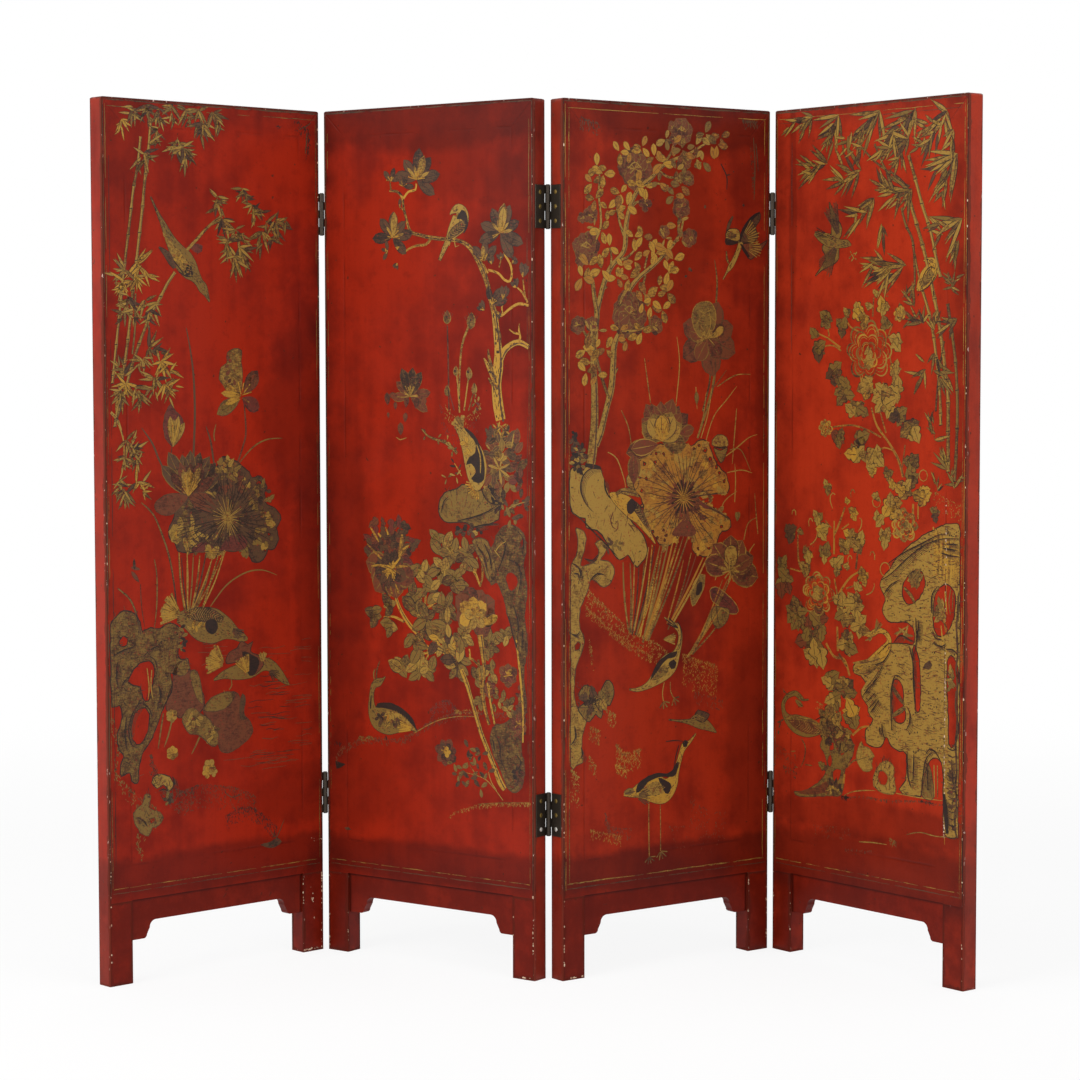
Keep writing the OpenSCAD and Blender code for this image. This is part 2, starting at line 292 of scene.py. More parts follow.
class Effect:
    """A shader group with named inputs and outputs, built once and placed in each material."""

    def __init__(self, name: str, inputs: dict[str, tuple[str, object]], outputs: dict[str, str],
                 recipe: Callable[[ShaderPen, dict[str, Socket]], dict[str, Socket]]) -> None:
        """Builds the group.

        Args:
            name: The group's name.
            inputs: Each input's kind (Float, Vector or Color) and default.
            outputs: Each output's kind.
            recipe: Takes the pen and the input sockets, and gives the output sockets by name.
        """
        self.tree = bpy.data.node_groups.new(name, "ShaderNodeTree")
        for label, (kind, default) in inputs.items():
            item = self.tree.interface.new_socket(label, in_out="INPUT", socket_type="NodeSocket" + kind)
            item.default_value = (*default, 1.0)[:len(item.default_value)] if isinstance(default,
                    tuple) else default
        for label, kind in outputs.items():
            self.tree.interface.new_socket(label, in_out="OUTPUT", socket_type="NodeSocket" + kind)
        pen = ShaderPen(self.tree)
        start = self.tree.nodes.new("NodeGroupInput")
        end = self.tree.nodes.new("NodeGroupOutput")
        for label, socket in recipe(pen, {s.name: s for s in start.outputs if s.name}).items():
            pen.feed(end.inputs[label], socket)

    def place(self, pen: ShaderPen, **values: object) -> dict[str, Socket]:
        """Places the group in a material.

        Args:
            pen: The material's pen.
            values: The inputs' values, with _ for a space in the name.

        Returns:
            The output sockets by name.
        """
        node = pen.put("Group")
        node.node_tree = self.tree
        for name, value in values.items():
            pen.feed(node.inputs[name.replace("_", " ")], value)
        return {s.name: s for s in node.outputs}


# ---------------------------------------------------------------- finishes

FRESH_RED = srgb(150, 31, 13)
AGED_RED = srgb(110, 20, 9)
BURNT_RED = srgb(62, 14, 8)
# Pink of the panels' side faces: partly dust, partly a painted sheen of the lacquer seen edge-on.
DUST_AND_SHEEN_PINK = srgb(140, 58, 44)
UNDER_COAT = srgb(74, 34, 20)
CHIP_PALE = srgb(214, 186, 170)
BACK_BROWN = srgb(44, 24, 18)
BACK_WORN = srgb(84, 42, 28)


def arris_effect() -> Effect:
    """Builds the group that measures how far a point is from the nearest arris of a box."""

    def recipe(pen: ShaderPen, given: dict[str, Socket]) -> dict[str, Socket]:
        """Takes the second smallest of the three distances to the box's faces."""
        inside = pen.vector("MINIMUM", pen.vector("SUBTRACT", given["Place"], given["Low"]),
                            pen.vector("SUBTRACT", given["High"], given["Place"]))
        x, y, z = pen.split(inside)
        pairs = [pen.math("MAXIMUM", a, b) for a, b in ((x, y), (x, z), (y, z))]
        return {"Distance": pen.math("MINIMUM", pen.math("MINIMUM", pairs[0], pairs[1]), pairs[2])}

    corners = {"Place": ("Vector", (0, 0, 0)), "Low": ("Vector", (0, 0, 0)), "High": ("Vector", (1, 1, 1))}
    return Effect("arris distance", corners, {"Distance": "Float"}, recipe)


def seam_effect() -> Effect:
    """Builds the group that marks the lines where field, stiles and rails meet under the lacquer."""

    def recipe(pen: ShaderPen, given: dict[str, Socket]) -> dict[str, Socket]:
        """Marks the field's border and the four mitres, a little broken along their length."""
        x, _, z = pen.split(given["Place"])
        half_w, middle_z = PANEL_W / 2 * MM, (FIELD_LOW + FIELD_HIGH) / 2 * MM
        across = pen.math("ABSOLUTE", pen.math("SUBTRACT", x, half_w))
        wander = pen.math("MULTIPLY", pen.math("SUBTRACT", pen.noise(given["Place"], 30.0), 0.5), 0.0016)
        beyond_u = pen.math("SUBTRACT", across, half_w - STILE_W * MM)
        beyond_z = pen.math("SUBTRACT", pen.math("ABSOLUTE", pen.math("SUBTRACT", z, middle_z)),
                            (FIELD_HIGH - FIELD_LOW) / 2 * MM)
        border = pen.math("ABSOLUTE", pen.math("ADD", pen.math("MAXIMUM", beyond_u, beyond_z), wander))
        from_edge = pen.math("SUBTRACT", half_w, across)
        top = pen.math("ABSOLUTE", pen.math("SUBTRACT", from_edge, pen.math("SUBTRACT", PANEL_H * MM, z)))
        foot = pen.math("ABSOLUTE", pen.math("SUBTRACT", from_edge, pen.math("SUBTRACT", z, LAP_Z * MM)))
        corner = pen.math("MULTIPLY", pen.math("GREATER_THAN", beyond_u, 0.0), pen.math("GREATER_THAN",
                beyond_z, 0.0))
        mitre = pen.math("ADD", pen.math("MINIMUM", top, foot), pen.math("SUBTRACT", 1.0, corner))
        distance = pen.math("MINIMUM", border, mitre)
        broken = pen.ramp(pen.noise(pen.stretch(given["Place"], (9, 9, 9)), 1.0), 0.42, 0.62, 0.0, 1.0)
        line = pen.ramp(distance, 0.0004, given["Width"], 1.0, 0.0)
        return {"Line": pen.math("MULTIPLY", line, broken)}

    return Effect("seam lines", {"Place": ("Vector", (0, 0, 0)), "Width": ("Float", 0.003)},
                  {"Line": "Float"}, recipe)


def stain_effect() -> Effect:
    """Builds the group that marks one dark patch with a ragged edge."""

    def recipe(pen: ShaderPen, given: dict[str, Socket]) -> dict[str, Socket]:
        """Measures a stretched distance from the patch's middle and roughens it with noise."""
        away = pen.vector("DIVIDE", pen.vector("SUBTRACT", given["Place"], given["Middle"]), given["Size"])
        coarse, fine = pen.noise(given["Place"], 6.0, 5.0, 0.6), pen.noise(given["Place"], 30.0, 5.0, 0.6)
        both = pen.math("ADD", coarse, pen.math("MULTIPLY", pen.math("SUBTRACT", fine, 0.5), 0.6))
        ragged = pen.math("MULTIPLY", pen.math("SUBTRACT", both, 0.5), given["Ragged"])
        distance = pen.math("ADD", pen.vector("LENGTH", away), ragged)
        return {"Mask": pen.ramp(distance, 0.62, 1.02, 1.0, 0.0)}

    inputs = {"Place": ("Vector", (0, 0, 0)), "Middle": ("Vector", (0, 0, 0)), "Size": ("Vector", (1, 1, 1)),
              "Ragged": ("Float", 0.9)}
    return Effect("ragged stain", inputs, {"Mask": "Float"}, recipe)


def lacquer_effect() -> Effect:
    """Builds the group of old lacquer: mottled colour, streaks, specks, rubbed arrises and chips."""

    def recipe(pen: ShaderPen, given: dict[str, Socket]) -> dict[str, Socket]:
        """Layers the marks of age over the fresh colour."""
        place, edge = given["Place"], given["Edge"]
        cloud = pen.noise(place, 3.4, 5.0, 0.55)
        patch = pen.noise(place, 17.0, 5.0, 0.62)
        streak = pen.noise(pen.stretch(place, (26, 26, 1.8)), 1.0, 4.0)
        fine = pen.noise(place, 210.0, 3.0, 0.7)
        mottle = pen.math("ADD", pen.math("MULTIPLY", cloud, 0.46), pen.math("ADD", pen.math("MULTIPLY",
                patch, 0.34), pen.math("MULTIPLY", streak, 0.20)))
        colour = pen.mix(pen.ramp(mottle, 0.42, 0.64), given["Fresh"], given["Aged"])
        colour = pen.mix(pen.math("MULTIPLY", pen.ramp(fine, 0.5, 0.75), 0.25), colour, given["Aged"])
        brushed = pen.noise(pen.stretch(place, (150, 150, 5)), 1.0, 4.0, 0.65)
        colour = pen.mix(pen.math("MULTIPLY", pen.ramp(brushed, 0.48, 0.68), 0.1), colour, given["Aged"])
        blot = pen.noise(place, 36.0, 6.0, 0.72)
        colour = pen.mix(pen.math("MULTIPLY", pen.ramp(blot, 0.53, 0.68), 0.42), colour, given["Aged"])
        smoke = pen.math("MULTIPLY", pen.ramp(edge, 0.0, 0.05, given["Smoke"], 0.0), pen.ramp(patch, 0.3,
                0.7, 0.3, 1.0))
        colour = pen.mix(smoke, colour, given["Burnt"])
        ragged = pen.math("SUBTRACT", pen.noise(pen.stretch(place, (60, 60, 16)), 1.0, 5.0, 0.7), 0.5)
        band = pen.ramp(pen.math("ADD", edge, pen.math("MULTIPLY", ragged, 0.026)), 0.001, 0.008, 1.8, 0.0)
        colour = pen.mix(pen.math("MULTIPLY", band, given["Smoke"], clamp=True), colour, given["Burnt"])
        grit = pen.ramp(pen.noise(place, 230.0, 2.0), 0.66, 0.72)
        colour = pen.mix(pen.math("MULTIPLY", grit, 0.4), colour, given["Under"])
        speck = pen.ramp(pen.noise(place, 95.0, 1.0), 0.735, 0.765)
        colour = pen.mix(pen.math("MULTIPLY", speck, 0.8), colour, given["Under"])
        rub = pen.noise(pen.stretch(place, (60, 60, 22)), 1.0, 5.0, 0.7)
        near = pen.math("SUBTRACT", pen.math("MULTIPLY", rub, given["Wear"]), edge)
        worn = pen.ramp(near, given["Keep"], pen.math("ADD", given["Keep"], 0.0016))
        colour = pen.mix(pen.math("MULTIPLY", worn, 0.8), colour, given["Under"])
        flake = pen.math("MULTIPLY", pen.ramp(pen.noise(pen.stretch(place, (150, 150, 70)), 1.0, 3.0, 0.6),
                                              0.64, 0.68), pen.ramp(edge, 0.0022, 0.0042, 1.0, 0.0))
        colour = pen.mix(pen.math("MULTIPLY", flake, given["Chips"]), colour, given["Chip"])
        rough = pen.math("ADD", pen.ramp(cloud, 0.35, 0.7, 0.30, 0.46), pen.math("MULTIPLY", worn, 0.25))
        dents = pen.math("MULTIPLY", pen.noise(place, 26.0, 4.0), 0.00016)
        height = pen.math("SUBTRACT", dents, pen.math("MULTIPLY", pen.math("MAXIMUM", worn, speck), 0.00012))
        return {"Color": colour, "Roughness": rough, "Height": height}

    inputs = {"Place": ("Vector", (0, 0, 0)), "Edge": ("Float", 1.0), "Smoke": ("Float", 0.0),
              "Wear": ("Float", 0.022), "Keep": ("Float", 0.0062), "Chips": ("Float", 0.8),
              "Fresh": ("Color", FRESH_RED), "Aged": ("Color", AGED_RED), "Burnt": ("Color", BURNT_RED),
              "Under": ("Color", UNDER_COAT), "Chip": ("Color", CHIP_PALE)}
    return Effect("old lacquer", inputs, {"Color": "Color", "Roughness": "Float", "Height": "Float"}, recipe)


def paint_effect() -> Effect:
    """Builds the group of worn painting: shaded pigment, rubbed through to the ground in places."""

    def recipe(pen: ShaderPen, given: dict[str, Socket]) -> dict[str, Socket]:
        """Shades the pigment by tone and noise, then lets the ground through."""
        place = given["Place"]
        patch = pen.noise(place, 62.0, 4.0, 0.62)
        fine = pen.noise(place, 330.0, 2.0, 0.6)
        hatch = pen.noise(pen.stretch(place, (110, 110, 420)), 1.0, 2.0, 0.6)
        layers = [pen.math("MULTIPLY", layer, share) for layer, share in ((patch, 0.42), (fine, 0.26),
                (hatch, 0.32))]
        depth = pen.math("ADD", pen.math("ADD", pen.math("ADD", layers[0], layers[1]), layers[2]),
                         pen.math("MULTIPLY", pen.math("SUBTRACT", given["Tone"], 0.5), 0.3))
        colour = pen.mix(pen.ramp(depth, 0.45, 0.61), given["Body"], given["Shade"])
        colour = pen.mix(pen.math("MULTIPLY", pen.ramp(depth, 0.57, 0.67), 0.55), colour, srgb(32, 20, 12))
        gone = pen.ramp(pen.math("ADD", pen.noise(place, 240.0, 4.0, 0.7), given["Rub"]), 0.62, 0.70)
        colour = pen.mix(pen.math("MULTIPLY", gone, 0.85), colour, given["Ground"])
        rough = pen.ramp(depth, 0.4, 0.7, 0.42, 0.62)
        height = pen.math("MULTIPLY", pen.math("SUBTRACT", fine, gone), 0.00008)
        return {"Color": colour, "Roughness": rough, "Height": height, "Bare": gone}

    inputs = {"Place": ("Vector", (0, 0, 0)), "Tone": ("Float", 0.5), "Rub": ("Float", 0.0),
              "Body": ("Color", (0.5, 0.4, 0.1)), "Shade": ("Color", (0.1, 0.06, 0.03)), "Ground": ("Color",
            FRESH_RED)}
    outputs = {"Color": "Color", "Roughness": "Float", "Height": "Float", "Bare": "Float"}
    return Effect("worn painting", inputs, outputs, recipe)


class Effects:
    """The shader groups that the finishes share, each built once."""

    arris = arris_effect()
    seam = seam_effect()
    stain = stain_effect()
    lacquer = lacquer_effect()
    paint = paint_effect()


def new_material(name: str) -> tuple[bpy.types.Material, ShaderPen, bpy.types.Node, Socket]:
    """Makes a material with one Principled shader.

    Args:
        name: The material's name.

    Returns:
        The material, its pen, the shader node and the Object coordinates' socket.
    """
    material = bpy.data.materials.new(name)
    material.use_nodes = True
    pen = ShaderPen(material.node_tree)
    shader = next(n for n in material.node_tree.nodes if n.type == "BSDF_PRINCIPLED")
    return material, pen, shader, pen.put("TexCoord").outputs["Object"]


def finish_shader(pen: ShaderPen, shader: bpy.types.Node, marks: dict[str, Socket],
                  extra: Socket | None = None) -> None:
    """Feeds a shader from an effect's colour, roughness and height.

    Args:
        pen: The material's pen.
        shader: The Principled node.
        marks: The effect's outputs.
        extra: A height to add, in metres.
    """
    height = pen.math("ADD", marks["Height"], extra) if extra else marks["Height"]
    bump = pen.put("Bump")
    bump.inputs["Strength"].default_value = 1.0
    bump.inputs["Distance"].default_value = 1.0
    pen.feed(bump.inputs["Height"], height)
    pen.feed(shader.inputs["Base Color"], marks["Color"])
    pen.feed(shader.inputs["Roughness"], marks["Roughness"])
    pen.feed(shader.inputs["Normal"], bump.outputs[0])


@dataclass(frozen=True)
class Stain:
    """A dark patch in the lacquer, in the panel's own millimetres.

    Attributes:
        u: Its middle across the panel.
        z: Its middle above the floor.
        width: Half its width.
        height: Half its height.
        depth: How dark it is, from 0 to 1.
        ragged: How broken its edge is.
    """

    u: float
    z: float
    width: float
    height: float
    depth: float = 0.6
    ragged: float = 0.9


@dataclass(frozen=True)
class Lacquer:
    """Old red lacquer on one panel's wood.

    Attributes:
        name: The material's name.
        fresh: The clean colour.
        aged: The darkened colour.
        wear: How far wear reaches from an arris, in metres of noise.
        chips: How strong the pale chips are.
        stains: The dark patches.
        apron: Whether it is the set-back apron's duller coat.
    """

    name: str
    fresh: Colour = FRESH_RED
    aged: Colour = AGED_RED
    wear: float = 0.022
    chips: float = 0.8
    stains: tuple[Stain, ...] = ()
    apron: bool = False

    def build(self, place: PanelPlace) -> bpy.types.Material:
        """Builds the material for a panel.

        Args:
            place: The panel's place, to read its own coordinates.

        Returns:
            The material.
        """
        material, pen, shader, coords = new_material(self.name)
        local = pen.put("Mapping", vector_type="TEXTURE")
        pen.feed(local.inputs["Vector"], coords)
        local.inputs["Location"].default_value = place.origin
        local.inputs["Rotation"].default_value = (0, 0, place.heading)
        spot = local.outputs[0]
        u, y, z = pen.split(spot)
        outer = Effects.arris.place(pen, Place=spot, Low=(0, 0, 0), High=(PANEL_W * MM, PANEL_T * MM,
                PANEL_H * MM))
        edge = outer["Distance"]
        mirrored = pen.put("CombineXYZ")
        across = pen.math("ABSOLUTE", pen.math("SUBTRACT", u, PANEL_W / 2 * MM))
        for socket, value in zip(mirrored.inputs, (across, y, z)):
            pen.feed(socket, value)
        if not self.apron:
            leg = Effects.arris.place(pen, Place=mirrored.outputs[0], Low=((PANEL_W / 2 - STILE_W) * MM, 0,
                    0), High=(1, PANEL_T * MM, RAIL_Z * MM))
            edge = pen.math("MINIMUM", edge, pen.math("ADD", leg["Distance"], pen.ramp(z, 0.146, 0.148)))
        fresh, aged = self.fresh, self.aged
        foot = pen.ramp(pen.math("ADD", z, pen.math("MULTIPLY", pen.noise(spot, 7.0), 0.03)), 0.14, 0.21,
                        0.8, 0.0)
        foot = pen.math("MULTIPLY", foot, pen.ramp(pen.noise(spot, 22.0, 5.0, 0.65), 0.36, 0.6, 0.55, 1.0))
        marks = Effects.lacquer.place(pen, Place=pen.vector("ADD", spot, (place.number * 3.7, 0,
                place.number * 1.3)), Edge=edge, Smoke=pen.ramp(y, 0.002, 0.004, 0.42, 0.0), Wear=self.wear,
                                      Chips=self.chips, Fresh=fresh, Aged=aged)
        colour = pen.mix(foot, marks["Color"], srgb(90, 16, 3))
        if self.apron:
            # The set-back apron darkens along the rail above it and the legs beside it: partly dark joints,
            # partly painted shade in the recess under the rail.
            corner = pen.math("MINIMUM", pen.math("SUBTRACT", RAIL_Z * MM, z), pen.math("SUBTRACT", (PANEL_W
                    / 2 - STILE_W) * MM, across))
            colour = pen.mix(pen.ramp(corner, 0.0005, 0.007, 0.75, 0.0), colour, srgb(40, 10, 7))
        for stain in self.stains:
            mask = Effects.stain.place(pen, Place=spot, Middle=(stain.u * MM, 0, stain.z * MM),
                                       Size=(stain.width * MM, 1, stain.height * MM),
                                       Ragged=stain.ragged)["Mask"]
            colour = pen.mix(pen.math("MULTIPLY", mask, stain.depth), colour, BURNT_RED)
        # The side faces and the last millimetre of the front turn patchily pink: partly dust, partly a painted
        # sheen of the lacquer seen edge-on.
        side = pen.ramp(across, (PANEL_W / 2 - 2.2) * MM, (PANEL_W / 2 - 0.9) * MM, 0.0, 0.3)
        dust_and_sheen = pen.math("MULTIPLY", side, pen.ramp(pen.noise(pen.stretch(spot, (40, 40, 9)), 1.0, 4.0),
                0.32, 0.6, 0.35, 1.0))
        colour = pen.mix(dust_and_sheen, colour, DUST_AND_SHEEN_PINK)
        seam = Effects.seam.place(pen, Place=spot, Width=0.0032)["Line"]
        front = pen.ramp(y, 0.003, 0.005, 1.0, 0.0)
        line = pen.math("MULTIPLY", seam, front)
        colour = pen.mix(pen.math("MULTIPLY", line, 0.34), colour, BURNT_RED)
        back = pen.math("MULTIPLY", pen.ramp(y, 0.0085, 0.0105), pen.math("MAXIMUM", pen.ramp(y, 0.0325,
                0.0336), pen.math("MULTIPLY", pen.ramp(across, 0.1893, 0.1896, 1.0, 0.0), pen.ramp(z,
                0.2085, 0.2092))))
        rubbed = pen.ramp(pen.noise(pen.stretch(spot, (22, 22, 5)), 1.0, 6.0, 0.65), 0.44, 0.72)
        colour = pen.mix(back, colour, pen.mix(pen.math("MULTIPLY", rubbed, 0.7), BACK_BROWN, BACK_WORN))
        marks["Color"] = colour
        shader.inputs["Specular IOR Level"].default_value = 0.11
        finish_shader(pen, shader, marks, pen.math("MULTIPLY", line, -0.0003))
        return material


@dataclass(frozen=True)
class PlainFinish:
    """A mottled finish without panel coordinates: metal, or the dark coat of the back.

    Attributes:
        name: The material's name.
        body: The main colour.
        shade: The darker colour of its patches.
        ground: What shows where it is rubbed through.
        rub: How much is rubbed through.
        metallic: How metallic it is.
        specular: The shader's specular level.
        pale: The colour of the newer screws, low on the ridge between the middle panels.
    """

    name: str
    body: Colour
    shade: Colour
    ground: Colour
    rub: float = 0.0
    metallic: float = 0.0
    specular: float = 0.3
    pale: Colour | None = None

    def build(self) -> bpy.types.Material:
        """Builds the material, with the tone of each mark read from its attribute."""
        material, pen, shader, coords = new_material(self.name)
        tone = pen.put("Attribute", attribute_name="tone").outputs["Fac"]
        marks = Effects.paint.place(pen, Place=coords, Tone=tone, Rub=self.rub, Body=self.body,
                                    Shade=self.shade, Ground=self.ground)
        if self.pale:
            x, _, z = pen.split(coords)
            newer = pen.math("MULTIPLY", pen.math("LESS_THAN", pen.math("ABSOLUTE", x), RIDGE_REACH),
                             pen.math("LESS_THAN", z, NEW_SCREW_Z))
            marks["Color"] = pen.mix(newer, marks["Color"], self.pale)
        shader.inputs["Metallic"].default_value = self.metallic
        shader.inputs["Specular IOR Level"].default_value = self.specular
        finish_shader(pen, shader, marks)
        return material


# ---------------------------------------------------------------- studio

@dataclass(frozen=True)
class Lamp:
    """One soft area lamp.

    Attributes:
        name: The lamp's name.
        place: Where it hangs, in metres.
        target: What it faces.
        size: The side of its square.
        power: Its power in watts.
        colour: Its colour.
    """

    name: str
    place: tuple[float, float, float]
    target: tuple[float, float, float]
    size: float
    power: float
    colour: Colour = (1.0, 1.0, 1.0)

    def hang(self) -> None:
        """Adds the lamp to the scene."""
        light = bpy.data.lights.new(self.name, "AREA")
        light.shape, light.size, light.energy, light.color = "SQUARE", self.size, self.power, self.colour
        lamp = bpy.data.objects.new(self.name, light)
        aim = Vector(self.target) - Vector(self.place)
        lamp.matrix_world = Matrix.Translation(self.place) @ aim.to_track_quat("-Z", "Y").to_matrix().to_4x4()
        bpy.context.scene.collection.objects.link(lamp)


@dataclass
class Studio:
    """The pale floor and backdrop, the lamps and the camera."""

    eye: tuple[float, float, float] = (0.0087, -5.0930, 1.0954)
    pitch: float = 0.06393
    roll: float = -0.0015
    lens: float = 95.72
    sensor: float = 36.0
    floor_front: float = -9.0
    floor_back: float = 9.0
    curve_r: float = 1.2
    wall_top: float = 6.0
    half_width: float = 9.0
    sky: float = 0.62
    near_glow: float = 0.86
    shade_reach: float = 1.5
    white_from: float = 4.0
    lamps: tuple[Lamp, ...] = (
        Lamp("key_left_front", (-3.4, -3.0, 2.6), (0.1, 0.0, 0.75), 2.4, 120.0, (1.0, 0.985, 0.96)),
        Lamp("fill_right_front", (3.6, -3.6, 2.0), (0.0, 0.0, 0.7), 2.8, 62.0),
        Lamp("top_soft", (0.0, -0.6, 4.2), (0.0, 0.0, 0.4), 3.0, 40.0),
    )

    def shoot(self) -> None:
        """Sets the camera where the photograph was taken from."""
        data = bpy.data.cameras.new("camera")
        data.lens, data.sensor_width, data.clip_end = self.lens, self.sensor, 60.0
        camera = bpy.data.objects.new("camera", data)
        camera.matrix_world = (Matrix.Translation(self.eye) @ Matrix.Rotation(math.pi / 2 - self.pitch, 4,
                "X") @ Matrix.Rotation(self.roll, 4, "Z"))
        bpy.context.scene.collection.objects.link(camera)
        bpy.context.scene.camera = camera

    def seen_white(self, pen: ShaderPen) -> Socket:
        """Marks the rays that see the background: from the camera, by gloss and through glass."""
        path = pen.put("LightPath")
        gloss = pen.math("MAXIMUM", path.outputs["Is Glossy Ray"], path.outputs["Is Transmission Ray"])
        return pen.math("MAXIMUM", path.outputs["Is Camera Ray"], gloss)

    def lay_floor(self) -> None:
        """Builds the floor, which curves up into the backdrop and keeps a soft shadow."""
        turns = 12
        profile = [(self.floor_front, 0.0), (self.floor_back - self.curve_r, 0.0)]
        for step in range(1, turns + 1):
            angle = step / turns * math.pi / 2
            profile.append((self.floor_back - self.curve_r + self.curve_r * math.sin(angle),
                            self.curve_r - self.curve_r * math.cos(angle)))
        profile.append((self.floor_back, self.wall_top))
        verts = [(x, y, z) for y, z in profile for x in (-self.half_width, self.half_width)]
        faces = [(2 * i, 2 * i + 1, 2 * i + 3, 2 * i + 2) for i in range(len(profile) - 1)]
        mesh = bpy.data.meshes.new("floor")
        mesh.from_pydata(verts, [], faces)
        for face in mesh.polygons:
            face.use_smooth = True
        floor = bpy.data.objects.new("floor", mesh)
        bpy.context.scene.collection.objects.link(floor)
        material, pen, shader, coords = new_material("pale_floor")
        grain = pen.ramp(pen.noise(coords, 1.1, 4.0), 0.3, 0.7, 0.86, 0.9)
        shade = pen.put("CombineColor")
        for socket in shade.inputs[:3]:
            pen.feed(socket, grain)
        pen.feed(shader.inputs["Base Color"], shade.outputs[0])
        shader.inputs["Roughness"].default_value = 0.9
        shader.inputs["Specular IOR Level"].default_value = 0.1
        glow = pen.put("Emission")
        glow.inputs["Strength"].default_value = 1.0
        blend = pen.put("MixShader")
        glow_share = pen.ramp(pen.vector("LENGTH", coords), self.shade_reach, self.white_from,
                              self.near_glow, 1.0)
        pen.feed(blend.inputs[0], pen.math("MULTIPLY", self.seen_white(pen), glow_share))
        pen.feed(blend.inputs[1], shader.outputs[0])
        pen.feed(blend.inputs[2], glow.outputs[0])
        output = next(n for n in material.node_tree.nodes if n.type == "OUTPUT_MATERIAL")
        pen.feed(output.inputs["Surface"], blend.outputs[0])
        mesh.materials.append(material)

    def light(self) -> None:
        """Sets the even sky light and hangs the lamps."""
        world = bpy.data.worlds.new("studio")
        bpy.context.scene.world = world
        world.use_nodes = True
        pen = ShaderPen(world.node_tree)
        sky = next(n for n in world.node_tree.nodes if n.type == "BACKGROUND")
        sky.inputs["Color"].default_value = (1, 1, 1, 1)
        pen.feed(sky.inputs["Strength"], pen.ramp(self.seen_white(pen), 0.0, 1.0, self.sky, 1.0))
        for lamp in self.lamps:
            lamp.hang()

    def build(self) -> None:
        """Sets up the camera, the floor and the light."""
        self.shoot()
        self.lay_floor()
        self.light()
        bpy.context.scene.view_settings.view_transform = "Standard"
        LOG.info("studio: camera, floor and %d lamps", len(self.lamps))


# ---------------------------------------------------------------- the painter's marks

class Pigment(IntEnum):
    """The painter's colours, in the order of the tree's material inputs."""

    GOLD = 0
    OCHRE = 1
    OLIVE = 2
    UMBER = 3
    MAROON = 4
    PLUM = 5
    INK = 6
    PALE = 7
    AMBER = 8


class Layer(IntEnum):
    """How far a mark lies over the others, from the first washes to the last lines."""

    WASH = 0
    BODY = 1
    DETAIL = 2
    LINE = 3


class Shape(IntEnum):
    """The small forms that are stamped again and again."""

    LEAF = 0
    PETAL = 1
    BLADE = 2
    OVAL = 3
    DOT = 4
    LOBED = 5


class Kind(IntEnum):
    """What a vertex of a piece's drawing stands for."""

    STROKE = 0
    STAMP = 1
    FACE = 2


GROUND_RED = srgb(128, 26, 14)
PIGMENTS: dict[Pigment, PlainFinish] = {
    Pigment.GOLD: PlainFinish("paint_gold", srgb(168, 126, 42), srgb(116, 78, 26), GROUND_RED, 0.03, 0.15),
    Pigment.OCHRE: PlainFinish("paint_ochre", srgb(150, 117, 48), srgb(104, 72, 28), GROUND_RED, 0.04, 0.12),
    Pigment.OLIVE: PlainFinish("paint_olive", srgb(116, 89, 38), srgb(76, 50, 24), GROUND_RED, 0.04, 0.1),
    Pigment.UMBER: PlainFinish("paint_umber", srgb(80, 54, 32), srgb(46, 29, 18), GROUND_RED, 0.02, 0.05),
    Pigment.MAROON: PlainFinish("paint_maroon", srgb(100, 52, 27), srgb(70, 32, 16), GROUND_RED, 0.03, 0.0),
    Pigment.PLUM: PlainFinish("paint_plum", srgb(96, 42, 30), srgb(68, 28, 19), GROUND_RED, 0.04, 0.0),
    Pigment.INK: PlainFinish("paint_ink", srgb(40, 24, 16), srgb(24, 14, 10), GROUND_RED, -0.02, 0.0),
    Pigment.PALE: PlainFinish("paint_pale", srgb(206, 178, 150), srgb(160, 118, 92), GROUND_RED, 0.0, 0.0),
    Pigment.AMBER: PlainFinish("paint_amber", srgb(152, 104, 34), srgb(108, 64, 24), GROUND_RED, 0.03, 0.1),
}


def smooth_path(points: Sequence[Sequence[float]], step: float, closed: bool = False) -> list[tuple[float,
        ...]]:
    """Runs a smooth curve through points that may carry more than two numbers.

    Args:
        points: The points, each with its place and any other values.
        step: About how far apart the new points are, in millimetres.
        closed: Whether the curve joins its own start.

    Returns:
        The points along the curve.
    """
    count = len(points)
    if count < 3 and not closed:
        points, count = [points[0], tuple((a + b) / 2 for a, b in zip(points[0], points[-1])), points[-1]], 3
    path: list[tuple[float, ...]] = []
    for i in range(count if closed else count - 1):
        near = [points[(i + k) % count] if closed else points[min(max(i + k, 0), count - 1)] for k in (-1,
                0, 1, 2)]
        pieces = max(1, round(math.dist(near[1][:2], near[2][:2]) / step))
        for k in range(pieces):
            t = k / pieces
            path.append(tuple(0.5 * (2 * b + (c - a) * t + (2 * a - 5 * b + 4 * c - d) * t * t
                                     + (3 * b - a - 3 * c + d) * t ** 3) for a, b, c, d in zip(*near)))
    if not closed:
        path.append(tuple(points[-1]))
    return path


def turned(u: float, z: float, angle: float, reach: float) -> Point:
    """Gives the point a distance away at an angle in degrees.

    Args:
        u: The start across.
        z: The start up.
        angle: The direction, in degrees from the right.
        reach: The distance.

    Returns:
        The point.
    """
    return u + reach * math.cos(math.radians(angle)), z + reach * math.sin(math.radians(angle))


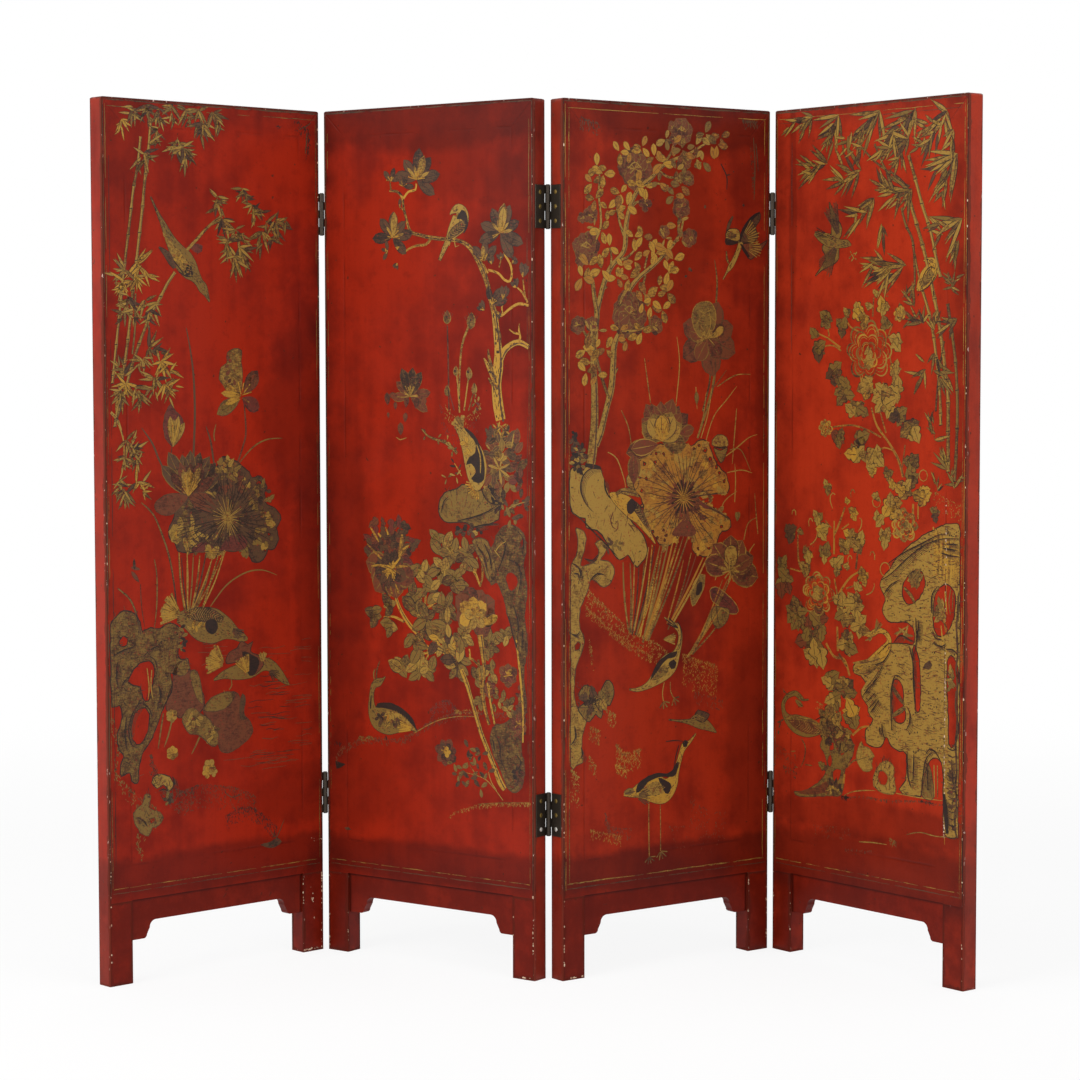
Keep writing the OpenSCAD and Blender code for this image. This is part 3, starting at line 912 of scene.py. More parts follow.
class StampSet:
    """The small closed meshes that the tree stamps, kept in one collection."""

    station_n = 6
    rim_share = 0.87
    vein_share = 0.045
    lobes = (0.0, 0.38, 0.50, 0.47, 0.28, 0.37, 0.35, 0.24, 0.10)

    def __init__(self) -> None:
        """Builds each shape once."""
        self.collection = bpy.data.collections.new("stamp_shapes")
        profiles: dict[Shape, Callable[[float], float]] = {
            Shape.LEAF: lambda t: 0.5 * abs(math.sin(math.pi * t ** 0.88)) ** 0.75,
            Shape.PETAL: lambda t: 0.5 * abs(math.sin(math.pi * t ** 1.28)) ** 0.6,
            Shape.BLADE: lambda t: 0.5 * math.sin(math.pi * t ** 0.75) * (1.1 - 0.3 * t),
        }
        for shape, profile in profiles.items():
            self._add(shape, *self._leaf(profile, shape is not Shape.BLADE))
        self._add(Shape.OVAL, *self._disc(10, True))
        self._add(Shape.DOT, *self._disc(5, False))
        self.station_n = len(self.lobes)
        self._add(Shape.LOBED, *self._leaf(lambda t: self.lobes[round(t * len(self.lobes))], True))

    def clear(self) -> None:
        """Removes the shapes once all is painted."""
        for shape in list(self.collection.objects):
            bpy.data.objects.remove(shape)
        bpy.data.collections.remove(self.collection)

    def _add(self, shape: Shape, verts: list[tuple[float, float, float]], faces: list[tuple[tuple[int, ...],
            int]]) -> None:
        """Adds one shape's object, with each face's part as an attribute.

        Args:
            shape: Which shape it is.
            verts: Its vertices.
            faces: Its faces, each with 0 for the pigment or 1 for the line colour.
        """
        mesh = bpy.data.meshes.new(f"{shape.value}_{shape.name.lower()}")
        mesh.from_pydata(verts, [], [f for f, _ in faces])
        mesh.attributes.new("part", "INT", "FACE").data.foreach_set("value", [p for _, p in faces])
        self.collection.objects.link(bpy.data.objects.new(mesh.name, mesh))

    def _leaf(self, profile: Callable[[float], float], veined: bool) -> tuple[list, list]:
        """Builds a leaf along X from 0 to 1, with a dark rim and perhaps a vein.

        Args:
            profile: The half width at each share of the length.
            veined: Whether it has a vein too.

        Returns:
            The vertices and the faces with their parts.
        """
        last = self.station_n
        verts: list[tuple[float, float, float]] = [(0, 0, 1), (1, 0, 1), (0, 0, -1), (1, 0, -1)]
        across = (-1, -self.rim_share, -self.vein_share, self.vein_share, self.rim_share,
                  1) if veined else (-1, -0.72, 0.72, 1)
        parts = (1, 0, 1, 0, 1) if veined else (1, 0, 1)
        size = len(across) + 2
        for s in range(1, last):
            half = profile(s / last)
            verts += [(s / last, half * k, 1) for k in across] + [(s / last, half * k, -1) for k in (-1, 1)]

        def row(s: int, k: int) -> int:
            """Gives the vertex at a station and a place across."""
            if s in (0, last):
                return (0 if s == 0 else 1) + (2 if k >= len(across) else 0)
            return 4 + (s - 1) * size + k

        faces: list[tuple[tuple[int, ...], int]] = []
        low_left, low_right = len(across), len(across) + 1
        for s in range(last):
            strips = [(k, k + 1, parts[k]) for k in range(len(across) - 1)]
            strips += [(len(across) - 1, low_right, 1), (low_right, low_left, 1), (low_left, 0, 1)]
            for a, b, part in strips:
                face = tuple(dict.fromkeys((row(s, a), row(s + 1, a), row(s + 1, b), row(s, b))))
                if len(face) > 2:
                    faces.append((face, part))
        return verts, faces

    def _disc(self, corner_n: int, rimmed: bool) -> tuple[list, list]:
        """Builds a round patch one unit across.

        Args:
            corner_n: How many corners it has.
            rimmed: Whether it has a dark rim.

        Returns:
            The vertices and the faces with their parts.
        """
        rings = ((0.5, -1), (0.5, 1)) + (((0.38, 1),) if rimmed else ())
        verts = [(r * math.cos(k * math.tau / corner_n), r * math.sin(k * math.tau / corner_n), h)
                 for r, h in rings for k in range(corner_n)]
        faces: list[tuple[tuple[int, ...], int]] = [(tuple(range(corner_n - 1, -1, -1)), 0)]
        for ring in range(len(rings) - 1):
            for k in range(corner_n):
                a, b, n = ring * corner_n + k, ring * corner_n + (k + 1) % corner_n, corner_n
                faces.append(((a, b, b + n, a + n), 1 if rimmed else 0))
        top = (len(rings) - 1) * corner_n
        faces.append((tuple(range(top, top + corner_n)), 0))
        return verts, faces


class PaintTree:
    """The Geometry Nodes tree that turns a drawing of points and lines into closed marks."""

    def __init__(self, materials: dict[Pigment, bpy.types.Material]) -> None:
        """Builds the tree.

        Args:
            materials: Each pigment's material.
        """
        self.materials = materials
        self.tree = bpy.data.node_groups.new("painted marks", "GeometryNodeTree")
        sockets = [("Drawing", "Geometry"), ("Stamps", "Collection"), ("Sink", "Float"), ("Unsteady",
                "Float"), ("Seed", "Int")] + [(p.name.title(), "Material") for p in Pigment]
        self.keys = {n: self.tree.interface.new_socket(n, in_out="INPUT", socket_type="NodeSocket"
                + k).identifier for n, k in sockets}
        self.tree.interface.new_socket("Marks", in_out="OUTPUT", socket_type="NodeSocketGeometry")
        self._wire()

    def _put(self, kind: str, inputs: dict[str | int, object] | None = None,
             **settings: object) -> bpy.types.Node:
        """Adds a node and feeds it.

        Args:
            kind: The node's full type name.
            inputs: What goes into its sockets, by name or number.
            settings: Properties to set on it.

        Returns:
            The node.
        """
        node = self.tree.nodes.new(kind)
        for name, value in settings.items():
            setattr(node, name, value)
        for key, value in (inputs or {}).items():
            if isinstance(value, bpy.types.NodeSocket):
                self.tree.links.new(value, node.inputs[key])
            else:
                node.inputs[key].default_value = value
        return node

    def _read(self, name: str, data_type: str) -> Socket:
        """Reads a named attribute.

        Args:
            name: The attribute's name.
            data_type: Its type.

        Returns:
            Its socket.
        """
        node = self._put("GeometryNodeInputNamedAttribute", {"Name": name}, data_type=data_type)
        return node.outputs["Attribute"]

    def _equal(self, value: Socket, number: int) -> Socket:
        """Compares an integer with a number."""
        node = self._put("FunctionNodeCompare", {2: value, 3: number}, data_type="INT", operation="EQUAL")
        return node.outputs["Result"]

    def _only(self, drawing: Socket, kind: Kind) -> Socket:
        """Takes the vertices of one kind from the drawing."""
        node = self._put("GeometryNodeSeparateGeometry", {"Geometry": drawing,
                "Selection": self._equal(self._read("kind", "INT"), kind)}, domain="POINT")
        return node.outputs["Selection"]

    def _flatten(self, shape: Socket, sink: Socket) -> Socket:
        """Presses marks flat: what is high lies at its lift, what is low goes under the ground."""
        parts = self._put("ShaderNodeSeparateXYZ", {0: self._put("GeometryNodeInputPosition").outputs[0]})
        high = self._put("FunctionNodeCompare", {0: parts.outputs[2], 1: 0.0}, data_type="FLOAT",
                         operation="GREATER_THAN").outputs["Result"]
        level = self._put("GeometryNodeSwitch", {0: high, 1: self._put("ShaderNodeMath", {0: 0.0, 1: sink},
                operation="SUBTRACT").outputs[0], 2: self._read("lift", "FLOAT")}, input_type="FLOAT")
        place = self._put("ShaderNodeCombineXYZ", {0: parts.outputs[0], 1: parts.outputs[1],
                2: level.outputs[0]})
        return self._put("GeometryNodeSetPosition", {"Geometry": shape,
                "Position": place.outputs[0]}).outputs[0]

    def _wire(self) -> None:
        """Joins strokes, stamps and faces and gives each its pigment."""
        start = self.tree.nodes.new("NodeGroupInput")
        given = {s.name: s for s in start.outputs if s.name}
        shaky = self._put("FunctionNodeRandomValue", {"Seed": given["Seed"], 3: given["Unsteady"]},
                          data_type="FLOAT")
        width = self._put("ShaderNodeMath", {0: self._read("half_width", "FLOAT"), 1: shaky.outputs[1]},
                          operation="ADD").outputs[0]
        curve = self._put("GeometryNodeMeshToCurve", {0: self._only(given["Drawing"], Kind.STROKE)})
        curve = self._put("GeometryNodeSetCurveNormal", {"Curve": curve.outputs[0]}, mode="Z_UP")
        curve = self._put("GeometryNodeSetCurveRadius", {"Curve": curve.outputs[0], "Radius": width})
        profile = self._put("GeometryNodeCurvePrimitiveQuadrilateral", {"Width": 2.0, "Height": 2.0})
        tube = self._put("GeometryNodeCurveToMesh", {"Curve": curve.outputs[0],
                "Profile Curve": profile.outputs[0], "Fill Caps": True})
        if "Scale" in tube.inputs:
            self.tree.links.new(width, tube.inputs["Scale"])
        strokes = self._flatten(tube.outputs[0], given["Sink"])
        shapes = self._put("GeometryNodeCollectionInfo", {"Collection": given["Stamps"],
                "Separate Children": True, "Reset Children": True})
        points = self._put("GeometryNodeMeshToPoints", {0: self._only(given["Drawing"], Kind.STAMP)})
        turn = self._put("ShaderNodeCombineXYZ", {2: self._read("turn", "FLOAT")})
        stamps = self._put("GeometryNodeInstanceOnPoints", {
            "Points": points.outputs[0], "Instance": shapes.outputs[0], "Pick Instance": True,
            "Instance Index": self._read("shape", "INT"), "Rotation": turn.outputs[0],
            "Scale": self._read("size", "FLOAT_VECTOR")})
        stamps = self._put("GeometryNodeRealizeInstances", {0: stamps.outputs[0]})
        stamps = self._flatten(stamps.outputs[0], given["Sink"])
        joined = self._put("GeometryNodeJoinGeometry")
        for part in (strokes, stamps, self._only(given["Drawing"], Kind.FACE)):
            self.tree.links.new(part, joined.inputs[0])
        whole = self._put("GeometryNodeRealizeInstances", {0: joined.outputs[0]}).outputs[0]
        lined = self._put("GeometryNodeSwitch", {0: self._equal(self._read("part", "INT"), 1),
                1: self._read("pigment", "INT"), 2: self._read("line", "INT")}, input_type="INT").outputs[0]
        for pigment in Pigment:
            whole = self._put("GeometryNodeSetMaterial", {"Geometry": whole, "Selection": self._equal(lined,
                    pigment), "Material": given[pigment.name.title()]}).outputs[0]
        self.tree.links.new(whole, self.tree.nodes.new("NodeGroupOutput").inputs[0])

    def paint(self, drawing: bpy.types.Object, stamps: StampSet, seed: int) -> bpy.types.Mesh:
        """Runs the tree on a drawing.

        Args:
            drawing: The object with the drawing's mesh, linked to the scene.
            stamps: The stamped shapes.
            seed: The seed of the unsteady hand.

        Returns:
            The plain mesh of the marks.
        """
        modifier = drawing.modifiers.new("painted marks", "NODES")
        modifier.node_group = self.tree
        values = {"Stamps": stamps.collection, "Sink": 0.1, "Unsteady": 0.22, "Seed": seed}
        values.update({p.name.title(): self.materials[p] for p in Pigment})
        for name, value in values.items():
            modifier[self.keys[name]] = value
        graph = bpy.context.evaluated_depsgraph_get()
        mesh = bpy.data.meshes.new_from_object(drawing.evaluated_get(graph), depsgraph=graph)
        drawing.modifiers.remove(modifier)
        return mesh


class Brush:
    """Collects the marks of one painted piece, in millimetres on a panel's front."""

    band = 0.085
    first_lift = 0.10

    def __init__(self, name: str, place: PanelPlace, seed: int, slot: str = "gilt") -> None:
        """Starts an empty piece.

        Args:
            name: The piece's name.
            place: The panel it is painted on.
            seed: The seed of its random choices.
            slot: The record's material slot; it is stored but not used.
        """
        self.name, self.place, self.slot = name, place, slot
        self.random = random.Random(seed)
        self.seed = seed
        self.verts: list[tuple[float, float, float]] = []
        self.edges: list[tuple[int, int]] = []
        self.faces: list[tuple[int, ...]] = []
        self.data: list[tuple] = []
        self.marks: list[tuple[int, int, Layer]] = []

    def _mark(self, points: Iterable[Sequence[float]], layer: Layer, kind: Kind, pigment: Pigment,
              line: Pigment, tone: float | None, widths: Sequence[float] | None = None, turn: float = 0.0,
              size: tuple[float, float] = (1, 1), shape: Shape = Shape.DOT) -> int:
        """Adds a mark's vertices and their values.

        Args:
            points: Its points.
            layer: Its layer.
            kind: What its vertices stand for.
            pigment: Its colour.
            line: The colour of its rim.
            tone: How dark it is, from 0 to 1, or None for a random one.
            widths: The half width at each point.
            turn: The turn of a stamp, in degrees.
            size: The length and width of a stamp.
            shape: The shape of a stamp.

        Returns:
            The number of its first vertex.
        """
        first = len(self.verts)
        tone = self.random.uniform(0.2, 0.8) if tone is None else tone
        for k, point in enumerate(points):
            self.verts.append((point[0], point[1], 0.0))
            self.data.append((int(kind), widths[k] if widths else 0.0, int(pigment), int(line),
                              math.radians(turn), (size[0], size[1], 1.0), int(shape), tone))
        self.marks.append((first, len(self.verts), layer))
        return first

    def ribbon(self, points: Sequence[tuple[float, float, float]], pigment: Pigment,
               layer: Layer = Layer.BODY, tone: float | None = None, step: float = 6.0,
               outline: Pigment | None = None, rim: float = 0.7) -> None:
        """Paints a stroke whose half width is given at each point.

        Args:
            points: Place and half width of each point.
            pigment: Its colour.
            layer: Its layer.
            tone: How dark it is.
            step: About how far apart its points are.
            outline: The colour of a line round it.
            rim: How far that line stands out.
        """
        path = smooth_path(points, step)
        if outline is not None:
            grown = [(u, z, w + rim) for u, z, w in path]
            self._run(grown, outline, Layer(max(layer - 1, 0)), 0.5)
        self._run(path, pigment, layer, tone)

    def _run(self, path: Sequence[tuple[float, float, float]], pigment: Pigment, layer: Layer,
             tone: float | None) -> None:
        """Adds the points of a stroke and the edges between them."""
        path = [(*self._within(u, z, w), w) for u, z, w in path]
        first = self._mark(path, layer, Kind.STROKE, pigment, pigment, tone, widths=[max(p[2], 0.15)
                for p in path])
        self.edges += [(first + k, first + k + 1) for k in range(len(path) - 1)]

    def stroke(self, points: Sequence[Point], width: float, pigment: Pigment, layer: Layer = Layer.LINE,
               end: float = 0.25, start: float = 0.6, tone: float | None = None, step: float = 6.0) -> None:
        """Paints a line that swells in its middle and thins at its ends.

        Args:
            points: The points it runs through.
            width: Its full width in the middle.
            pigment: Its colour.
            layer: Its layer.
            end: Its share of the width at the end.
            start: Its share of the width at the start.
            tone: How dark it is.
            step: About how far apart its points are.
        """
        path = smooth_path(points, step)
        last = max(len(path) - 1, 1)
        shares = [1 - (1 - start) * (1 - k / last) ** 3 - (1 - end) * (k / last) ** 3
                  for k in range(len(path))]
        self._run([(p[0], p[1], width / 2 * s) for p, s in zip(path, shares)], pigment, layer, tone)

    def stamp(self, shape: Shape, u: float, z: float, turn: float, length: float, width: float,
              pigment: Pigment, layer: Layer = Layer.BODY, line: Pigment = Pigment.INK,
              tone: float | None = None) -> None:
        """Stamps a small shape.

        Args:
            shape: Which shape.
            u: Its root across, or its middle for a round one.
            z: Its root up.
            turn: Its direction in degrees.
            length: Its length.
            width: Its width.
            pigment: Its colour.
            layer: Its layer.
            line: The colour of its rim and vein.
            tone: How dark it is.
        """
        u, z, length = self._fit(u, z, 0.0 if shape in (Shape.OVAL, Shape.DOT) else length, turn, length,
                                 width)
        self._mark([(u, z)], layer, Kind.STAMP, pigment, line, tone, turn=turn, size=(length, width),
                   shape=shape)

    @staticmethod
    def _within(u: float, z: float, reach: float = 0.0) -> Point:
        """Keeps a point that far inside the panel's edges."""
        rim = EDGE + reach
        return min(max(u, rim), PANEL_W - rim), min(max(z, rim), PANEL_H - rim)

    def _fit(self, u: float, z: float, reach: float, turn: float, length: float,
             width: float) -> tuple[float, float, float]:
        """Moves a stamp inwards and shortens it where it would stand out over the panel's edge.

        Args:
            u: Its root across.
            z: Its root up.
            reach: How far it reaches from its root, or 0 for a round one.
            turn: Its direction in degrees.
            length: Its length.
            width: Its width.

        Returns:
            Its new root and length.
        """
        share, place = 1.0, []
        across, up = math.cos(math.radians(turn)), math.sin(math.radians(turn))
        for start, way, side, size in ((u, across, up, PANEL_W), (z, up, across, PANEL_H)):
            rim = EDGE + (abs(side) * width + (0.0 if reach else abs(way) * length)) / 2
            start = min(max(start, rim), size - rim)
            if reach and not rim <= start + reach * way <= size - rim:
                share = min(share, ((size - rim if way > 0 else rim) - start) / (reach * way))
            place.append(start)
        return place[0], place[1], max(length * share, 0.5)

    def wash(self, outline: Sequence[Point], pigment: Pigment, layer: Layer = Layer.WASH,
             holes: Sequence[Sequence[Point]] = (), tone: float | None = 0.5, rough: float = 0.0,
             rim: Pigment | None = None, rim_width: float = 1.4, step: float = 7.0) -> None:
        """Fills a smooth closed outline, with holes left open.

        Args:
            outline: The points round it.
            pigment: Its colour.
            layer: Its layer.
            holes: The points round each hole.
            tone: How dark it is.
            rough: How far its edge wanders.
            rim: The colour of a line along its edges.
            rim_width: That line's width.
            step: About how far apart its points are.
        """
        rings = [smooth_path(ring, step, closed=True) for ring in (outline, *holes)]
        rings = [[self._within(u + self.random.uniform(-rough, rough), z + self.random.uniform(-rough,
                rough)) for u, z in ring] for ring in rings]
        flat = [point for ring in rings for point in ring]
        triangles = geometry.tessellate_polygon([[Vector((u, z, 0)) for u, z in ring] for ring in rings])
        top = self._mark(flat, layer, Kind.FACE, pigment, pigment, tone)
        low = self._mark(flat, Layer.WASH, Kind.FACE, pigment, pigment, tone)
        self.marks.pop()
        for a, b, c in triangles:
            self.faces += [(top + a, top + b, top + c), (low + c, low + b, low + a)]
        first = 0
        for ring in rings:
            for k in range(len(ring)):
                a, b = first + k, first + (k + 1) % len(ring)
                self.faces.append((top + a, top + b, low + b, low + a))
            first += len(ring)
            if rim is not None:
                loop = [*ring, ring[0]]
                self._run([(u, z, rim_width / 2 * self.random.uniform(0.5, 1.2)) for u, z in loop], rim,
                          Layer(layer + 1), 0.5)

    def finish(self, studio_tree: PaintTree, stamps: StampSet) -> bpy.types.Object:
        """Turns the marks into the finished piece on its panel.

        Args:
            studio_tree: The tree that makes marks.
            stamps: The stamped shapes.

        Returns:
            The piece.
        """
        ranks = {layer: [m for m in self.marks if m[2] == layer] for layer in Layer}
        heights = [-0.1] * len(self.verts)
        for layer, marks in ranks.items():
            for rank, (start, stop, _) in enumerate(marks):
                lift = self.first_lift + self.band * (layer + rank / max(len(marks), 1))
                heights[start:stop] = [lift] * (stop - start)
        mesh = bpy.data.meshes.new("drawing")
        lifted = [(u, z, h if d[0] == Kind.FACE else 0.0) for (u, z, _), h, d in zip(self.verts, heights,
                self.data)]
        mesh.from_pydata(lifted, self.edges, self.faces)
        columns = list(zip(*self.data))
        for name, kind, column in (("kind", "INT", 0), ("half_width", "FLOAT", 1), ("pigment", "INT", 2),
                                   ("line", "INT", 3), ("turn", "FLOAT", 4), ("shape", "INT", 6), ("tone",
                "FLOAT", 7)):
            mesh.attributes.new(name, kind, "POINT").data.foreach_set("value", columns[column])
        mesh.attributes.new("lift", "FLOAT", "POINT").data.foreach_set("value", heights)
        mesh.attributes.new("size", "FLOAT_VECTOR", "POINT").data.foreach_set("vector", [x
                for v in columns[5] for x in v])
        drawing = bpy.data.objects.new("drawing", mesh)
        bpy.context.scene.collection.objects.link(drawing)
        marks = studio_tree.paint(drawing, stamps, self.seed)
        bpy.data.objects.remove(drawing)
        marks.transform(self.place.front())
        build = bmesh.new()
        build.from_mesh(marks)
        bmesh.ops.recalc_face_normals(build, faces=build.faces)
        build.to_mesh(marks)
        build.free()
        for spare in [a.name for a in marks.attributes if a.name not in ("position", "tone", "material_index")
                      and not a.is_internal and not a.is_required]:
            marks.attributes.remove(marks.attributes[spare])
        marks.shade_flat()
        marks.name = self.name
        piece = bpy.data.objects.new(self.name, marks)
        bpy.context.scene.collection.objects.link(piece)
        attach(piece, self.place.body)
        LOG.info("%s: %d faces", self.name, len(marks.polygons))
        return piece


# ---------------------------------------------------------------- motifs of the painting

@dataclass(frozen=True)
class Culm:
    """A jointed bamboo stem.

    Attributes:
        points: The points it runs through.
        width: Its width.
        joint: The length from joint to joint.
        pigment: Its colour.
    """

    points: tuple[Point, ...]
    width: float = 5.5
    joint: float = 52.0
    pigment: Pigment = Pigment.OCHRE

    def paint(self, brush: Brush) -> None:
        """Paints the stem's sections, a dark side and a ring at each joint."""
        path = smooth_path(self.points, 6.0)
        run: list[tuple[float, float, float]] = []
        half = self.width / 2
        for k, (u, z) in enumerate(path):
            run.append((u, z, half * (0.86 if run else 1.2)))
            if len(run) > 2 and (len(run) * 6.0 > self.joint * brush.random.uniform(0.8, 1.2)
                                 or k == len(path) - 1):
                run[-1] = (u, z, half * 1.2)
                brush._run([(a, b, w + 0.6) for a, b, w in run], Pigment.INK, Layer.WASH, 0.5)
                brush._run(run, self.pigment, Layer.BODY, None)
                brush.stroke([(a + half * 0.55, b) for a, b, _ in run], min(1.4, half * 0.4), Pigment.UMBER,
                             Layer.DETAIL)
                brush.stroke([(u - half * 1.3, z - 0.6), (u + half * 1.3, z + 0.6)], 1.5, Pigment.INK)
                run = [(u, z, half * 1.2)]


@dataclass(frozen=True)
class Tuft:
    """A tuft of bamboo leaves.

    Attributes:
        u: Its root across.
        z: Its root up.
        reach: The leaves' length.
        count: How many leaves.
        turn: The middle direction in degrees.
        fan: How far the leaves spread, in degrees.
        bright: How many of ten leaves are bright gold.
    """

    u: float
    z: float
    reach: float = 30.0
    count: int = 8
    turn: float = -90.0
    fan: float = 230.0
    bright: int = 2

    def paint(self, brush: Brush) -> None:
        """Paints the leaves from the root, the longest in the middle of the fan."""
        twig = turned(self.u, self.z, self.turn, self.reach * 0.55)
        brush.stroke([(self.u, self.z), twig], 1.5, Pigment.OLIVE, Layer.BODY, end=0.5)
        fan = min(self.fan, 250.0)
        shine = Pigment.GOLD if self.bright > 5 else Pigment.OCHRE
        for k in range(round(self.count * 1.7)):
            share = (k * 0.618) % 1.0 - 0.5
            along = brush.random.choice((0.0, 0.1, 0.3, 0.5, 0.8))
            angle = self.turn + fan * share * (1 - 0.3 * along) + brush.random.uniform(-14, 14)
            length = self.reach * brush.random.uniform(0.55, 1.12) * (1 - 0.2 * abs(share)) * (1 - 0.35
                    * along)
            root = turned(self.u, self.z, self.turn + brush.random.uniform(-0.15, 0.15) * fan, self.reach
                          * along * 0.8)
            pick = brush.random.randrange(10)
            pigment = (shine if pick <= self.bright else Pigment.OCHRE if pick < self.bright + 3
                       else Pigment.OLIVE if pick < 9 else Pigment.UMBER)
            brush.stamp(Shape.BLADE, *root, angle, length, min(length * 0.24, 5.0 + length * 0.06), pigment,
                        Layer.DETAIL)


@dataclass(frozen=True)
class Branch:
    """A stem or bough whose half width is given along it.

    Attributes:
        points: Place and half width of each point.
        pigment: Its colour.
        edged: Whether a dark line runs round it.
        knots: How many dark touches it has for each 100 mm.
        layer: Its layer.
    """

    points: tuple[tuple[float, float, float], ...]
    pigment: Pigment = Pigment.GOLD
    edged: bool = True
    knots: int = 5
    layer: Layer = Layer.BODY

    def paint(self, brush: Brush) -> None:
        """Paints the bough, then its knots."""
        brush.ribbon(self.points, self.pigment, self.layer, outline=Pigment.INK if self.edged else None,
                     rim=0.6)
        path = smooth_path(self.points, 4.0)
        shady = [(u + w * 0.55, z - w * 0.25, max(0.15, w * brush.random.uniform(0.1, 0.3))) for u, z,
                 w in path if w > 2.6]
        if len(shady) > 3 and self.pigment is not Pigment.INK:
            brush._run(shady, Pigment.UMBER, Layer(min(self.layer + 1, Layer.LINE)), 0.3)
        for _ in range(round(len(path) * 4.0 / 100 * self.knots)):
            k = brush.random.randrange(1, max(len(path) - 1, 2))
            u, z, w = path[k]
            du, dz = path[k][0] - path[k - 1][0], path[k][1] - path[k - 1][1]
            side = brush.random.uniform(-0.8, 0.8)
            size = math.hypot(du, dz) or 1.0
            u, z = u - dz / size * w * side, z + du / size * w * side
            brush.stroke([(u, z), (u + du * 1.3, z + dz * 1.3)], min(1.4, w * 0.6), Pigment.INK, Layer.DETAIL)


@dataclass(frozen=True)
class Sprig:
    """A twig with leaves along both sides.

    Attributes:
        points: The twig's points.
        leaf: The leaves' length.
        plump: A leaf's width as a share of its length.
        gap: The way along the twig between leaves.
        pigment: The leaves' colour.
        other: The colour of every third leaf.
        shape: The leaves' shape.
        stem: The twig's width.
        wood: The twig's colour.
    """

    points: tuple[Point, ...]
    leaf: float = 18.0
    plump: float = 0.52
    gap: float = 9.0
    pigment: Pigment = Pigment.OLIVE
    other: Pigment = Pigment.OCHRE
    shape: Shape = Shape.LEAF
    stem: float = 2.2
    wood: Pigment = Pigment.GOLD

    def paint(self, brush: Brush) -> None:
        """Paints the twig and its leaves, and one at its tip."""
        brush.stroke(self.points, self.stem, self.wood, Layer.BODY, end=0.5)
        path = smooth_path(self.points, self.gap)
        for k in range(1, len(path)):
            du, dz = path[k][0] - path[k - 1][0], path[k][1] - path[k - 1][1]
            ahead = math.degrees(math.atan2(dz, du))
            side = 0 if k == len(path) - 1 else (1 if k % 2 else -1)
            angle = ahead + side * brush.random.uniform(38, 70)
            length = self.leaf * brush.random.uniform(0.75, 1.15)
            pigment = self.other if brush.random.randrange(3) == 0 else self.pigment
            root = turned(path[k][0], path[k][1], angle, self.leaf * 0.12)
            brush.stamp(self.shape, *root, angle, length, length * self.plump, pigment, Layer.DETAIL)


@dataclass(frozen=True)
class Foliage:
    """A patch crowded with leaves that turn every way.

    Attributes:
        u: The patch's middle across.
        z: The patch's middle up.
        width: Half its width.
        height: Half its height.
        count: How many leaves.
        leaf: The leaves' length.
        plump: A leaf's width as a share of its length.
        pigments: The colours to choose from.
        shape: The leaves' shape.
        layer: Their layer.
        line: The colour of their rims and veins.
    """

    u: float
    z: float
    width: float
    height: float
    count: int
    leaf: float = 22.0
    plump: float = 0.6
    pigments: tuple[Pigment, ...] = (Pigment.OLIVE, Pigment.OLIVE, Pigment.OLIVE, Pigment.OCHRE)
    shape: Shape = Shape.LEAF
    layer: Layer = Layer.BODY
    line: Pigment = Pigment.INK

    def paint(self, brush: Brush) -> None:
        """Scatters the leaves evenly over the patch, each pointing away from its middle."""
        golden = math.pi * (3 - math.sqrt(5))
        for k in range(self.count):
            reach = math.sqrt((k + 0.5) / self.count)
            u = self.u + self.width * reach * math.cos(k * golden)
            z = self.z + self.height * reach * math.sin(k * golden)
            angle = math.degrees(k * golden) + brush.random.uniform(-50, 50)
            length = self.leaf * brush.random.uniform(0.7, 1.15)
            root = turned(u, z, angle + 180, length / 2)
            shape = Shape.LOBED if self.shape is Shape.PETAL and length > 15 else self.shape
            brush.stamp(shape, *root, angle, length, length * self.plump,
                        brush.random.choice(self.pigments), self.layer, self.line)


@dataclass(frozen=True)
class Bloom:
    """A flower of petals in rings, opening round a heart.

    Attributes:
        u: The heart's place across.
        z: The heart's place up.
        radius: How far the petals reach.
        petals: How many petals the outer ring has.
        rings: How many rings there are.
        turn: The middle direction of the petals, in degrees.
        fan: How far round they spread, in degrees.
        outer: The colour of the outer petals.
        inner: The colour of the inner ones.
        heart: The colour of the stamens.
        plump: A petal's width as a share of its length.
        line: The colour of the petals' rims.
    """

    u: float
    z: float
    radius: float
    petals: int = 8
    rings: int = 2
    turn: float = 90.0
    fan: float = 360.0
    outer: Pigment = Pigment.MAROON
    inner: Pigment = Pigment.PLUM
    heart: Pigment = Pigment.GOLD
    plump: float = 0.62
    line: Pigment = Pigment.UMBER

    def paint(self, brush: Brush) -> None:
        """Paints the rings from the outside in, then the stamens."""
        for ring in range(self.rings):
            share = ring / max(self.rings, 1)
            reach = self.radius * (1 - 0.62 * share)
            count = max(3, round(self.petals * (1 - 0.35 * share)))
            pigment = self.outer if ring < (self.rings + 1) // 2 else self.inner
            for k in range(count):
                angle = self.turn + self.fan * ((k + (0.5 if ring % 2 else 0.0)) / count
                        - 0.5) + brush.random.uniform(-5, 5)
                length = reach * brush.random.uniform(0.88, 1.08)
                brush.stamp(Shape.PETAL, self.u, self.z, angle, length, length * self.plump * (1 + 0.3
                        * share), pigment, Layer.BODY if ring < 2 else Layer.DETAIL, line=self.line)
        for k in range(max(5, round(self.radius / 5))):
            angle = self.turn + self.fan * 0.8 * (brush.random.random() - 0.5)
            tip = turned(self.u, self.z, angle, self.radius * brush.random.uniform(0.2, 0.42))
            brush.stroke([(self.u, self.z), tip], 1.3, self.heart, end=1.0)
            brush.stamp(Shape.DOT, *tip, 0, 2.4, 2.4, self.heart, Layer.LINE)


